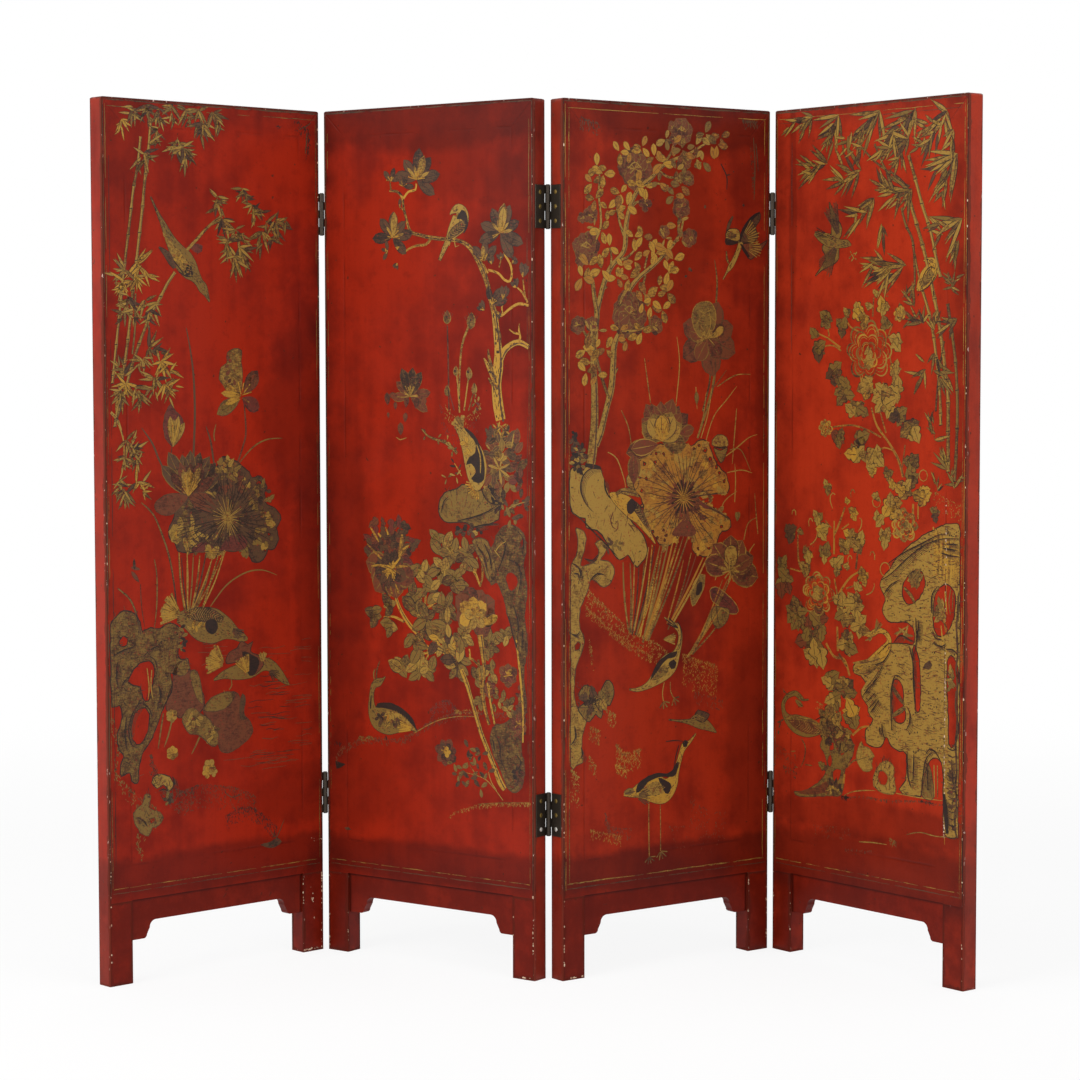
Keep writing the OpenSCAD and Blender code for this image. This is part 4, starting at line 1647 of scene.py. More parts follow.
@dataclass(frozen=True)
class Rosette:
    """A peony drawn by the scalloped edges of its petals.

    Attributes:
        u: The heart's place across.
        z: The heart's place up.
        radius: How far the petals reach.
        pigments: The colours to choose from.
        heart: The colour of the heart.
    """

    u: float
    z: float
    radius: float
    pigments: tuple[Pigment, ...] = (Pigment.OCHRE, Pigment.OCHRE, Pigment.GOLD, Pigment.OLIVE)
    heart: Pigment = Pigment.OCHRE

    def paint(self, brush: Brush) -> None:
        """Paints ring after ring of scallops, each with a thin inner line, then the heart."""
        for ring, share in enumerate((1.0, 0.78, 0.56, 0.34)):
            count = (8, 7, 6, 4)[ring]
            for k in range(count):
                middle = 360 / count * (k + ring * 0.5) + brush.random.uniform(-8, 8)
                half = 180 / count * brush.random.uniform(0.85, 1.15)
                reach = self.radius * share * brush.random.uniform(0.9, 1.08)
                for inner, width in ((1.0, 4.2), (0.86, 1.4)):
                    arc = [turned(self.u, self.z, middle + half * t * inner, reach * inner * (1 - 0.26 * t
                            * t)) for t in (-1, -0.6, -0.2, 0.2, 0.6, 1)]
                    brush.stroke(arc, width * brush.random.uniform(0.6, 1.2),
                                 brush.random.choice(self.pigments), Layer.DETAIL, end=0.15, start=0.15,
                                 step=4.0)
        Foliage(self.u, self.z, self.radius * 0.14, self.radius * 0.1, 7, self.radius * 0.26, 0.6,
                (self.heart,), Shape.LEAF).paint(brush)


@dataclass(frozen=True)
class Rock:
    """A scholar's rock, hollowed and pierced.

    Attributes:
        outline: The points round it.
        holes: The points round each opening.
        folds: Dark creases inside it.
        pigment: Its colour.
        specks: How many dark specks it has.
        rim: The width of its edge line.
        rim_pigment: The colour of its edge line.
        tone: How dark it is.
        grain: The directions of its fine strokes, in degrees.
    """

    outline: tuple[Point, ...]
    holes: tuple[tuple[Point, ...], ...] = ()
    folds: tuple[tuple[Point, ...], ...] = ()
    pigment: Pigment = Pigment.OLIVE
    specks: int = 60
    rim: float = 1.8
    rim_pigment: Pigment = Pigment.INK
    tone: float = 0.4
    grain: tuple[float, ...] = (60, 80, 100, 120)

    def paint(self, brush: Brush) -> None:
        """Fills the rock, draws its creases and stipples it."""
        brush.wash(self.outline, self.pigment, holes=self.holes, rough=0.9, rim=self.rim_pigment,
                   rim_width=self.rim, tone=self.tone)
        for fold in self.folds:
            brush.stroke(fold, 3.2, Pigment.INK, Layer.DETAIL, end=0.15, start=0.3)
            for row in range(1, 5):
                beside = [(u + 2.4 * row, z - 1.8 * row) for u, z in fold[:max(2, len(fold) - row // 2)]]
                brush.stroke(beside, 1.7 - 0.25 * row, Pigment.UMBER, Layer.DETAIL, end=0.1, start=0.1)
        ring = smooth_path(self.outline, 10.0, closed=True)
        low_u, high_u = min(p[0] for p in ring), max(p[0] for p in ring)
        low_z, high_z = min(p[1] for p in ring), max(p[1] for p in ring)
        pits = [smooth_path(h, 8.0, closed=True) for h in self.holes]
        placed = tries = 0
        while placed < self.specks and tries < self.specks * 6:
            tries += 1
            u, z = brush.random.uniform(low_u, high_u), brush.random.uniform(low_z, high_z)
            if not inside(u, z, ring) or any(inside(u, z, pit) for pit in pits):
                continue
            placed += 1
            if placed % 5 < 2:
                size = brush.random.uniform(1.2, 3.0)
                brush.stamp(Shape.DOT, u, z, brush.random.uniform(0, 180), size * 1.5, size,
                            Pigment.INK if placed % 4 == 0 else Pigment.UMBER, Layer.DETAIL)
            else:
                tip = turned(u, z, brush.random.choice(self.grain) + brush.random.uniform(-15, 15),
                             brush.random.uniform(6, 16))
                brush.stroke([(u, z), tip], 1.1, brush.random.choice((Pigment.UMBER, Pigment.MAROON)),
                             Layer.DETAIL, start=0.2)


def inside(u: float, z: float, ring: Sequence[Sequence[float]]) -> bool:
    """Tells whether a point lies within a closed outline.

    Args:
        u: The point across.
        z: The point up.
        ring: The outline's points.

    Returns:
        Whether it is inside.
    """
    hit = False
    for (a, b), (c, d) in zip(ring, [*ring[1:], ring[0]]):
        if (b > z) != (d > z) and u < (c - a) * (z - b) / (d - b) + a:
            hit = not hit
    return hit


@dataclass(frozen=True)
class LotusLeaf:
    """A great lotus leaf seen from above, with rays from its hub.

    Attributes:
        hub: The hub's place.
        outline: The points round it.
        holes: Small openings near the rim: place and radius.
        pigment: The leaf's colour.
        eye: The colour round the hub.
        eye_r: How far that colour reaches.
        rays: How many bright rays leave the hub.
        ray: Their colour.
        veins: The colour of the long veins.
        blotches: The colours of the patches near the rim.
    """

    hub: Point
    outline: tuple[Point, ...]
    holes: tuple[tuple[float, float, float], ...] = ()
    pigment: Pigment = Pigment.OLIVE
    eye: Pigment = Pigment.MAROON
    eye_r: float = 40.0
    rays: int = 22
    ray: Pigment = Pigment.GOLD
    veins: Pigment = Pigment.UMBER
    blotches: tuple[Pigment, ...] = (Pigment.OLIVE, Pigment.UMBER, Pigment.OCHRE)

    def paint(self, brush: Brush) -> None:
        """Fills the leaf, mottles its rim, then draws veins, the dark star in its middle and the bright rays."""
        holes = [tuple(turned(u, z, 60 * k, r * brush.random.uniform(0.7, 1.2)) for k in range(6)) for u, z,
                 r in self.holes]
        brush.wash(self.outline, self.pigment, holes=holes, rough=1.2, rim=Pigment.INK, rim_width=1.8,
                   tone=0.45)
        ring = smooth_path(self.outline, 5.0, closed=True)

        def toward(u: float, z: float, share: float) -> Point:
            """Gives the point a share of the way from the hub."""
            return self.hub[0] + (u - self.hub[0]) * share, self.hub[1] + (z - self.hub[1]) * share

        for u, z in ring[::2]:
            spot, size = toward(u, z, brush.random.uniform(0.62, 0.95)), brush.random.uniform(9, 20)
            pigment = brush.random.choice(self.blotches)
            brush.stamp(Shape.LOBED, *spot, brush.random.uniform(0, 360), size, size * 0.8, pigment,
                        Layer.BODY, line=pigment)
        for k, (u, z) in enumerate(ring[::3]):
            reach = brush.random.uniform(0.7, 0.99)
            tip, start = toward(u, z, reach), toward(u, z, 0.16)
            bend = turned(*toward(u, z, reach * 0.55), brush.random.uniform(0, 360), 3)
            brush.stroke([start, bend, tip], brush.random.uniform(1.0, 1.9), self.veins, Layer.DETAIL,
                         start=0.3, end=0.1)
            if k % 2:
                fork = turned(*bend, math.degrees(math.atan2(z - self.hub[1], u - self.hub[0])) + 28, 24)
                brush.stroke([bend, fork], 1.1, self.veins, Layer.DETAIL, end=0.1)
        for k in range(34):
            tip = turned(*self.hub, 360 / 34 * k + brush.random.uniform(-4, 4), self.eye_r
                         * brush.random.uniform(0.7, 1.25))
            brush.stroke([turned(*self.hub, 360 / 34 * k, 3), tip], 6.5, self.eye, Layer.DETAIL, end=0.05,
                         start=0.9)
        for k in range(self.rays):
            tip = turned(*self.hub, 360 / self.rays * k + brush.random.uniform(-4, 4), self.eye_r
                         * brush.random.uniform(0.5, 0.8))
            brush.stroke([turned(*self.hub, 360 / self.rays * k, 6), tip], 1.2, self.ray, end=0.3, start=1.0)
        brush.stamp(Shape.OVAL, *self.hub, 0, 17, 14, self.ray, Layer.DETAIL)


@dataclass(frozen=True)
class Wash:
    """A filled patch.

    Attributes:
        outline: The points round it.
        pigment: Its colour.
        rim: The colour of its edge line, if any.
        holes: The points round each opening.
        layer: Its layer.
        rim_width: The edge line's width.
        tone: How dark it is.
    """

    outline: tuple[Point, ...]
    pigment: Pigment = Pigment.OLIVE
    rim: Pigment | None = Pigment.UMBER
    holes: tuple[tuple[Point, ...], ...] = ()
    layer: Layer = Layer.WASH
    rim_width: float = 1.4
    tone: float = 0.5

    def paint(self, brush: Brush) -> None:
        """Fills the patch."""
        brush.wash(self.outline, self.pigment, self.layer, self.holes, rough=0.6, rim=self.rim,
                   rim_width=self.rim_width, tone=self.tone)


@dataclass(frozen=True)
class Lines:
    """A set of plain brush lines of one colour.

    Attributes:
        lines: The points of each line.
        width: Their width.
        pigment: Their colour.
        layer: Their layer.
        end: Their share of the width at the end.
        start: Their share of the width at the start.
    """

    lines: tuple[tuple[Point, ...], ...]
    width: float = 1.6
    pigment: Pigment = Pigment.INK
    layer: Layer = Layer.LINE
    end: float = 0.25
    start: float = 0.6

    def paint(self, brush: Brush) -> None:
        """Paints the lines."""
        for line in self.lines:
            brush.stroke(line, self.width, self.pigment, self.layer, self.end, self.start)


@dataclass(frozen=True)
class Fan:
    """Strokes that spread from a root, as in a fan tail, a crest or a spray of grass.

    Attributes:
        u: The root across.
        z: The root up.
        reach: The strokes' length.
        turn: Their middle direction in degrees.
        spread: How far they spread in degrees.
        count: How many there are.
        width: Their width.
        pigment: Their colour.
        inner: The share of the reach at which they start.
        layer: Their layer.
    """

    u: float
    z: float
    reach: float
    turn: float
    spread: float
    count: int = 9
    width: float = 3.0
    pigment: Pigment = Pigment.GOLD
    inner: float = 0.1
    layer: Layer = Layer.DETAIL

    def paint(self, brush: Brush) -> None:
        """Paints the strokes from one side of the fan to the other."""
        for k in range(self.count):
            angle = self.turn + self.spread * ((k + 0.5) / self.count - 0.5)
            reach = self.reach * brush.random.uniform(0.9, 1.08)
            brush.stroke([turned(self.u, self.z, angle, self.reach * self.inner), turned(self.u, self.z,
                    angle, reach)], self.width, self.pigment, self.layer, end=0.9, start=0.4)


@dataclass(frozen=True)
class Bird:
    """A bird drawn in a few strokes.

    Attributes:
        body: Place and half width along it, from tail to beak.
        wing: Place and half width along the folded wing.
        eye: The eye's place.
        legs: The points of each leg.
        pigment: The body's colour.
        wing_pigment: The wing's colour.
        feathers: How many feather marks it has.
    """

    body: tuple[tuple[float, float, float], ...]
    wing: tuple[tuple[float, float, float], ...] = ()
    eye: Point | None = None
    legs: tuple[tuple[Point, ...], ...] = ()
    pigment: Pigment = Pigment.OLIVE
    wing_pigment: Pigment = Pigment.UMBER
    feathers: int = 26

    def paint(self, brush: Brush) -> None:
        """Paints the legs, body, wing, feathers and eye."""
        for leg in self.legs:
            brush.stroke(leg, 1.8, Pigment.OCHRE, Layer.WASH, end=0.8)
        brush.ribbon(self.body, self.pigment, Layer.BODY, step=4.0, outline=Pigment.INK, rim=0.9, tone=0.35)
        if self.wing:
            brush.ribbon(self.wing, self.wing_pigment, Layer.DETAIL, step=4.0, tone=0.6)
            path = smooth_path(self.wing, 5.0)
            for k in range(1, len(path)):
                (u, z, w), (a, b, _) = path[k], path[k - 1]
                across = (-(z - b), u - a)
                size = math.hypot(*across) or 1.0
                across = (across[0] / size * w * 0.8, across[1] / size * w * 0.8)
                back = (a - (u - a) * 0.6, b - (z - b) * 0.6)
                brush.stroke([(u + across[0], z + across[1]), back, (u - across[0], z - across[1])], 1.0,
                             Pigment.OCHRE, Layer.LINE)
        path = smooth_path(self.body, 3.0)
        for _ in range(self.feathers):
            k = brush.random.randrange(2, len(path) - 2)
            u, z, w = path[k]
            du, dz = path[k + 1][0] - u, path[k + 1][1] - z
            size = math.hypot(du, dz) or 1.0
            side = brush.random.uniform(-0.8, 0.8) * w
            u, z = u - dz / size * side, z + du / size * side
            brush.stroke([(u, z), (u - du / size * 5, z - dz / size * 5)], 1.2, Pigment.UMBER, Layer.DETAIL)
        if self.eye:
            brush.stamp(Shape.OVAL, *self.eye, 0, 4.6, 4.6, Pigment.GOLD, Layer.DETAIL)
            brush.stamp(Shape.DOT, *self.eye, 0, 2.2, 2.2, Pigment.INK, Layer.LINE)


@dataclass(frozen=True)
class Moss:
    """Dots and tiny strokes along a line or over a slope.

    Attributes:
        points: The line's points.
        depth: How far below the line the dots reach.
        count: How many dots.
        pigment: Their colour.
        size: Their largest size.
    """

    points: tuple[Point, ...]
    depth: float = 12.0
    count: int = 80
    pigment: Pigment = Pigment.OLIVE
    size: float = 2.6

    def paint(self, brush: Brush) -> None:
        """Scatters the dots, thickest near the line."""
        path = smooth_path(self.points, 3.0)
        for _ in range(round(self.count * 1.5)):
            u, z = brush.random.choice(path)[:2]
            size = brush.random.uniform(0.45, 1.0) * self.size
            u, z = u + brush.random.uniform(-3, 3), z - self.depth * brush.random.random() ** 2
            brush.stamp(Shape.DOT, u, z, brush.random.uniform(35, 145), size * brush.random.uniform(1.2,
                    2.8), size * 0.55, self.pigment, Layer.WASH)


@dataclass(frozen=True)
class Ripples:
    """Broken water lines.

    Attributes:
        low: The patch's lower left corner.
        high: The patch's upper right corner.
        count: How many lines.
        pigment: Their colour.
    """

    low: Point
    high: Point
    count: int = 24
    pigment: Pigment = Pigment.MAROON

    def paint(self, brush: Brush) -> None:
        """Paints short wavy lines, row by row."""
        for k in range(self.count):
            z = self.low[1] + (self.high[1] - self.low[1]) * (k
                    + 0.5) / self.count + brush.random.uniform(-4, 4)
            u = brush.random.uniform(self.low[0], self.high[0] - 20)
            length = brush.random.uniform(24, 80)
            line = [(min(u + length * t, self.high[0]), z + brush.random.uniform(-1.8, 1.8)) for t in (0,
                    0.3, 0.6, 1)]
            brush.stroke(line, brush.random.uniform(0.8, 1.4), self.pigment, Layer.WASH)


@dataclass(frozen=True)
class Reeds:
    """A sheaf of stems that rise from one foot.

    Attributes:
        foot: The foot's place.
        tips: Where the stems end.
        width: Their width at the foot.
        pigments: Their colours in turn.
        bow: How far their middles bow out.
        dotted: Whether they carry a row of dots.
    """

    foot: Point
    tips: tuple[Point, ...]
    width: float = 3.4
    pigments: tuple[Pigment, ...] = (Pigment.OLIVE, Pigment.OCHRE, Pigment.UMBER)
    bow: float = 8.0
    dotted: bool = False

    def paint(self, brush: Brush) -> None:
        """Paints each stem from the foot to its tip."""
        for k, (u, z) in enumerate(self.tips):
            base = (self.foot[0] + (k - len(self.tips) / 2) * 2.4, self.foot[1] + brush.random.uniform(-6, 6))
            middle = ((base[0] + u) / 2 + math.copysign(self.bow, base[0] - u) * -0.4
                      + brush.random.uniform(-2, 2), (base[1] + z) / 2)
            pigment = self.pigments[k % len(self.pigments)]
            brush.stroke([base, middle, (u, z)], self.width * brush.random.uniform(0.7, 1.2), pigment,
                         Layer.BODY, end=0.4, start=0.8)
            if self.dotted:
                for a, b in smooth_path([base, middle, (u, z)], 5.0):
                    brush.stamp(Shape.DOT, a + brush.random.uniform(-1, 1), b, 0, 2.2, 2.2, Pigment.GOLD,
                                Layer.LINE)


@dataclass(frozen=True)
class Motif:
    """One painted piece: the marks that it is made of.

    Attributes:
        name: The piece's name, without its panel.
        parts: What is painted, in order.
        slot: The record's material slot.
    """

    name: str
    parts: tuple[object, ...]
    slot: str = "gilt"


@dataclass(frozen=True)
class Clusters:
    """Little clusters of leaves at the ends of twigs.

    Attributes:
        spots: Where the clusters are.
        count: How many leaves each has.
        leaf: The leaves' length.
        plump: A leaf's width as a share of its length.
        pigments: The colours to choose from.
        shape: The leaves' shape.
    """

    spots: tuple[Point, ...]
    count: int = 4
    leaf: float = 19.0
    plump: float = 0.5
    pigments: tuple[Pigment, ...] = (Pigment.GOLD, Pigment.GOLD, Pigment.OCHRE)
    shape: Shape = Shape.PETAL

    def paint(self, brush: Brush) -> None:
        """Paints each cluster round its spot."""
        for u, z in self.spots:
            start = brush.random.uniform(0, 360)
            for k in range(self.count):
                angle = start + 360 / self.count * k + brush.random.uniform(-22, 22)
                length = self.leaf * brush.random.uniform(0.75, 1.15)
                brush.stamp(self.shape, *turned(u, z, angle, 2), angle, length, length * self.plump,
                            brush.random.choice(self.pigments), Layer.DETAIL, line=Pigment.UMBER)


@dataclass(frozen=True)
class Rule:
    """A long straight border line, worn away in places.

    Attributes:
        start: Where it starts.
        end: Where it ends.
        width: Its width.
        pigment: Its colour.
        left: The share of it that is left.
        run: The longest unbroken length.
        layer: Its layer.
    """

    start: Point
    end: Point
    width: float = 1.8
    pigment: Pigment = Pigment.OCHRE
    left: float = 0.8
    run: float = 230.0
    layer: Layer = Layer.WASH

    def paint(self, brush: Brush) -> None:
        """Paints one length after another, with gaps and a slight wander between them."""
        across, up = self.end[0] - self.start[0], self.end[1] - self.start[1]
        length = math.hypot(across, up)
        across, up = across / length, up / length
        way = 0.0
        while way < length - 4:
            reach = min(self.run * brush.random.uniform(0.1, 1.0), length - way)
            points = []
            for k in range(max(3, round(reach / 12) + 1)):
                share = way + reach * k / max(2, round(reach / 12))
                off = brush.random.uniform(-0.45, 0.45)
                points.append((self.start[0] + across * share - up * off, self.start[1] + up * share
                               + across * off))
            brush.stroke(points, self.width * brush.random.uniform(0.4, 0.9), self.pigment, self.layer,
                         end=0.2, start=0.2, step=14)
            way += reach * (1 + (1 / self.left - 1) * brush.random.uniform(0.1, 1.2))


@dataclass(frozen=True)
class Chips:
    """Small flaked spots along a line, where the pale ground shows.

    Attributes:
        start: Where the line starts.
        end: Where it ends.
        count: How many spots there are.
        size: The largest spot's width.
        spread: How far they stray from the line.
        pigment: Their colour.
    """

    start: Point
    end: Point
    count: int = 12
    size: float = 2.6
    spread: float = 1.0
    pigment: Pigment = Pigment.PALE

    def paint(self, brush: Brush) -> None:
        """Scatters the spots, most of them small and drawn out along the line."""
        turn = math.degrees(math.atan2(self.end[1] - self.start[1], self.end[0] - self.start[0]))
        for _ in range(self.count):
            share, off = brush.random.random(), brush.random.uniform(-self.spread, self.spread)
            spot = (self.start[0] + (self.end[0] - self.start[0]) * share, self.start[1] + (self.end[1]
                    - self.start[1]) * share)
            size = self.size * brush.random.uniform(0.2, 1.0) ** 1.6 + 0.5
            brush.stamp(Shape.DOT, *turned(*spot, turn + 90, off), turn, size * brush.random.uniform(1.0,
                    2.4), size, self.pigment, Layer.DETAIL)




GOLD, OCHRE, OLIVE, UMBER, MAROON, PLUM, INK, _, AMBER = Pigment

PANEL_1 = (Motif("bamboo", (Culm(((104, 1505), (97, 1440), (90, 1400), (84, 1350), (78, 1310), (71, 1262),
            (62, 1205), (55, 1150), (46, 1095), (34, 1035), (22, 975)), 5.6), Culm(((82, 1475), (75, 1425),
            (66, 1385), (60, 1345), (53, 1300), (47, 1262), (40, 1210), (33, 1160), (26, 1110), (18, 1050)),
            4.8), Culm(((152, 1243), (135, 1222), (118, 1195), (100, 1168), (84, 1138), (70, 1108), (56,
            1072), (42, 1030), (24, 985)), 5.4), Branch(((178, 1282, 2.6), (198, 1300, 2.4), (222, 1322,
            2.0), (252, 1344, 1.2)), OCHRE), Branch(((68, 1205, 1.2), (66, 1145, 1.4), (60, 1100, 1.2)),
            OLIVE), Tuft(43, 1503, 27, 6, -90, 170, 7), *(Tuft(u, z, 32, 8, t, 220, 0) for u, z, t in ((66,
            1526, -90), (92, 1530, -80), (122, 1526, -90), (150, 1532, -100), (178, 1528, -90))), Tuft(205,
            1530, 41, 9, -80, 200, 1), Tuft(235, 1526, 44, 8, -55, 150, 1), Tuft(215, 1506, 37, 8, -85, 200,
            1), Tuft(120, 1494, 29, 7, -120, 200, 0), Tuft(160, 1478, 41, 10, -80, 250, 3), Tuft(172, 1462,
            41, 8, -70, 210, 2), Tuft(88, 1448, 41, 6, -85, 330, 5), Tuft(98, 1462, 29, 4, 30, 80, 2),
            Tuft(245, 1378, 34, 9, -90, 320, 4), Tuft(300, 1394, 32, 8, -70, 300, 2), Tuft(322, 1366, 37, 9,
            -60, 280, 3), Tuft(352, 1338, 49, 9, -60, 240, 1), Tuft(372, 1340, 39, 7, -30, 230, 1),
            Tuft(345, 1322, 39, 7, -110, 160, 1), Tuft(255, 1340, 37, 9, -70, 300, 4), Tuft(285, 1322, 39,
            9, -60, 250, 1), Tuft(268, 1302, 41, 9, -100, 200, 4), Tuft(292, 1290, 41, 9, -60, 200, 3),
            Tuft(282, 1274, 39, 7, -80, 150, 2), Tuft(72, 1258, 44, 8, -45, 250, 9), Tuft(46, 1246, 34, 9,
            -120, 250, 4), Tuft(44, 1226, 34, 8, -100, 240, 6), Tuft(66, 1236, 34, 7, -70, 160, 6), Tuft(52,
            1202, 34, 9, -90, 330, 5), Tuft(46, 1182, 32, 6, -110, 200, 4), Tuft(86, 1194, 41, 8, -50, 270,
            5), Tuft(64, 1180, 29, 6, -70, 180, 5), Tuft(96, 1172, 29, 6, -90, 140, 4), Tuft(94, 1110, 41,
            7, -20, 240, 3), Tuft(84, 1094, 29, 7, -110, 250, 3), Tuft(120, 1088, 41, 9, -40, 260, 7),
            Tuft(106, 1060, 39, 9, -80, 320, 4), Tuft(126, 1048, 39, 8, -30, 230, 6), Tuft(44, 1062, 32, 7,
            120, 200, 2), Tuft(46, 1050, 41, 10, -100, 260, 7), Tuft(64, 1044, 41, 8, -60, 180, 5), Tuft(36,
            1036, 32, 6, -110, 140, 3), Tuft(46, 952, 37, 9, -40, 320, 5), Tuft(58, 938, 34, 8, -50, 240,
            4), Tuft(42, 926, 27, 6, -90, 200, 4), Tuft(30, 884, 32, 8, -80, 320, 5), Tuft(64, 880, 37, 9,
            -30, 300, 6), Tuft(40, 868, 37, 7, -90, 160, 4), Branch(((14, 1000, 2.4), (28, 985, 2.8), (40,
            948, 1.2), (38, 905, 1.2), (30, 880, 0.9)), OCHRE, False, 8),)), Motif("diving_bird",
        (Bird(((102, 1372, 0.7), (116, 1346, 2.2), (130, 1322, 5.5), (142, 1300, 9.5), (156, 1280, 15),
            (170, 1264, 20), (184, 1248, 18), (196, 1236, 11), (204, 1226, 8), (212, 1216, 9), (219, 1206,
            5), (226, 1192, 0.6)), ((128, 1310, 1.5), (145, 1286, 6), (160, 1268, 10), (176, 1252, 9), (184,
            1244, 4)), (212, 1215), (), OLIVE, OCHRE, 120), Bird(((118, 1286, 0.6), (132, 1276, 5), (146,
            1262, 8), (152, 1250, 3)), (), None, (), UMBER, UMBER, 8), Wash(((186, 1288), (200, 1294), (212,
            1290), (210, 1280), (196, 1278)), PLUM, None), Lines((((160, 1244), (176, 1236), (190, 1236)),
            ((150, 1262), (162, 1250), (170, 1240))), 2.2, INK), Foliage(182, 1246, 9, 8, 8, 9, 0.6, (INK,),
            Shape.PETAL, Layer.DETAIL), Foliage(160, 1266, 10, 9, 7, 9, 0.6, (GOLD,), Shape.PETAL,
            Layer.LINE),)), Motif("stems", (Lines((((175, 1146), (184, 1104), (190, 1058), (192, 1000),
            (190, 952), (188, 918)),), 4.6, UMBER, Layer.WASH, 0.9, 0.3), Lines((((300, 1018), (304, 962),
            (297, 935), (284, 904)),), 3.4, MAROON, Layer.WASH, 0.9, 0.7), Lines((((78, 972), (100, 945),
            (114, 916), (125, 898)), ((76, 842), (100, 822), (121, 780), (135, 740), (143, 700), (148,
            662)), ((24, 696), (48, 677), (62, 650), (72, 612)), ((216, 972), (226, 945), (232, 910), (238,
            888))), 4.4, UMBER, Layer.WASH, 0.5, 0.2), Lines((((76, 842), (102, 818), (122, 777), (136,
            738), (144, 700)), ((288, 905), (318, 932), (350, 946), (386, 948)), ((222, 652), (258, 688),
            (300, 708), (338, 711), (372, 700)), ((26, 694), (50, 674), (63, 648)), ((102, 742), (107, 712),
            (106, 660), (100, 618)), ((235, 946), (233, 958), (238, 976))), 3.0, OLIVE, Layer.BODY, 0.2,
            0.5), Lines((((72, 700), (74, 660), (80, 625)), ((142, 940), (140, 918), (146, 900))), 2.0,
            MAROON, Layer.WASH), Foliage(61, 728, 3, 16, 3, 26, 0.3, (MAROON, UMBER), Shape.LEAF),
            Reeds((176, 640), ((154, 752), (172, 752), (160, 742), (186, 748), (200, 744), (214, 748), (226,
            735))), Reeds((176, 636), ((155, 750), (173, 751), (228, 740), (254, 750)), 3.0, (OCHRE,), 6,
            True), Reeds((205, 646), ((255, 748), (240, 742)), 3.0, (OCHRE, OLIVE), 6, True), Lines((((118,
            470), (112, 440), (106, 408)), ((137, 458), (128, 430), (119, 410)), ((200, 428), (186, 404),
            (178, 392))), 3.6, OLIVE, Layer.BODY),)), Motif("lotus", (LotusLeaf((262, 808), ((150, 846),
            (144, 812), (134, 796), (133, 780), (146, 768), (152, 754), (168, 750), (188, 750), (202, 757),
            (214, 752), (222, 741), (236, 738), (244, 750), (264, 748), (286, 748), (306, 741), (316, 728),
            (332, 726), (346, 735), (351, 747), (366, 749), (376, 766), (372, 786), (381, 801), (375, 816),
            (358, 826), (347, 832), (345, 850), (350, 860), (341, 876), (330, 882), (318, 878), (310, 890),
            (300, 896), (288, 906), (270, 912), (255, 919), (244, 912), (238, 898), (216, 880), (195, 862),
            (165, 854)), ((332, 868, 5), (326, 765, 4), (355, 775, 4), (345, 748, 3), (145, 787, 3)), UMBER,
            UMBER, 52, 30, OCHRE, INK, (OLIVE, OLIVE, OCHRE, OLIVE)), Foliage(268, 868, 40, 22, 26, 22, 0.6,
            (UMBER, MAROON, UMBER), Shape.PETAL, Layer.BODY, UMBER), Wash(((182, 752), (204, 768), (226,
            762), (240, 752), (264, 776), (300, 776), (304, 756), (286, 749), (250, 750)), PLUM, UMBER, (),
            Layer.BODY), *(Bloom(u, z, r, 7, 1, t, 250, OCHRE, OCHRE, GOLD, 0.8, OLIVE) for u, z, r,
            t in ((226, 752, 16, -90), (150, 784, 17, 180))), Foliage(176, 786, 30, 28, 16, 24, 0.5, (OLIVE,
            OCHRE, OCHRE), Shape.PETAL, Layer.BODY), Foliage(335, 846, 26, 26, 14, 18, 0.6, (UMBER, OLIVE),
            Shape.PETAL, Layer.BODY), Foliage(262, 892, 30, 16, 12, 18, 0.6, (OLIVE, OCHRE), Shape.PETAL,
            Layer.BODY), Bloom(176, 850, 84, 8, 1, 88, 124, UMBER, MAROON, GOLD, 0.34, OLIVE), Bloom(176,
            850, 64, 6, 1, 88, 116, MAROON, MAROON, GOLD, 0.36, UMBER), Wash(((176, 850), (150, 856), (122,
            852), (104, 838), (112, 822), (136, 818), (158, 830)), MAROON, UMBER, (), Layer.BODY),
            Wash(((176, 850), (200, 856), (228, 848), (240, 832), (226, 818), (204, 818), (188, 832)),
            MAROON, UMBER, (), Layer.BODY), Bloom(176, 850, 56, 3, 1, 92, 60, OCHRE, OCHRE, GOLD, 0.3,
            UMBER), Bloom(176, 850, 44, 2, 1, 88, 30, GOLD, OCHRE, GOLD, 0.34, UMBER), Fan(176, 850, 40, 96,
            120, 5, 2.0, OCHRE, 0.2, Layer.LINE), Wash(((144, 938), (128, 954), (124, 978), (130, 1000),
            (140, 1012), (150, 1000), (166, 984), (160, 960), (152, 944)), PLUM, UMBER), Bloom(144, 938, 52,
            4, 1, 88, 50, OCHRE, OCHRE, OCHRE, 0.3, UMBER), Fan(144, 938, 40, 90, 50, 3, 1.6, GOLD, 0.2,
            Layer.LINE), Wash(((290, 1030), (262, 1040), (246, 1056), (250, 1076), (262, 1084), (264, 1102),
            (280, 1110), (296, 1106), (294, 1086), (298, 1060)), OCHRE, UMBER, (((268, 1086), (272, 1090),
            (266, 1092)),), Layer.WASH, 1.2, 0.7), Foliage(274, 1070, 16, 28, 16, 12, 0.6, (OLIVE, OCHRE,
            MAROON), Shape.PETAL, Layer.BODY), Bloom(300, 1030, 52, 1, 1, 50, 1, MAROON, MAROON, GOLD, 0.5,
            UMBER), Bloom(296, 1022, 42, 1, 1, -28, 1, PLUM, PLUM, GOLD, 0.55, PLUM), Bloom(292, 1020, 58,
            1, 1, 205, 1, OLIVE, OLIVE, GOLD, 0.42, UMBER), Bloom(294, 1026, 44, 2, 1, 190, 80, GOLD, OCHRE,
            GOLD, 0.3, OLIVE), Fan(294, 1026, 26, 60, 120, 4, 2.0, GOLD, 0.1, Layer.LINE),)), Motif("rock",
        (Rock(((8, 604), (9, 632), (20, 646), (36, 656), (58, 650), (70, 634), (74, 618), (92, 622), (112,
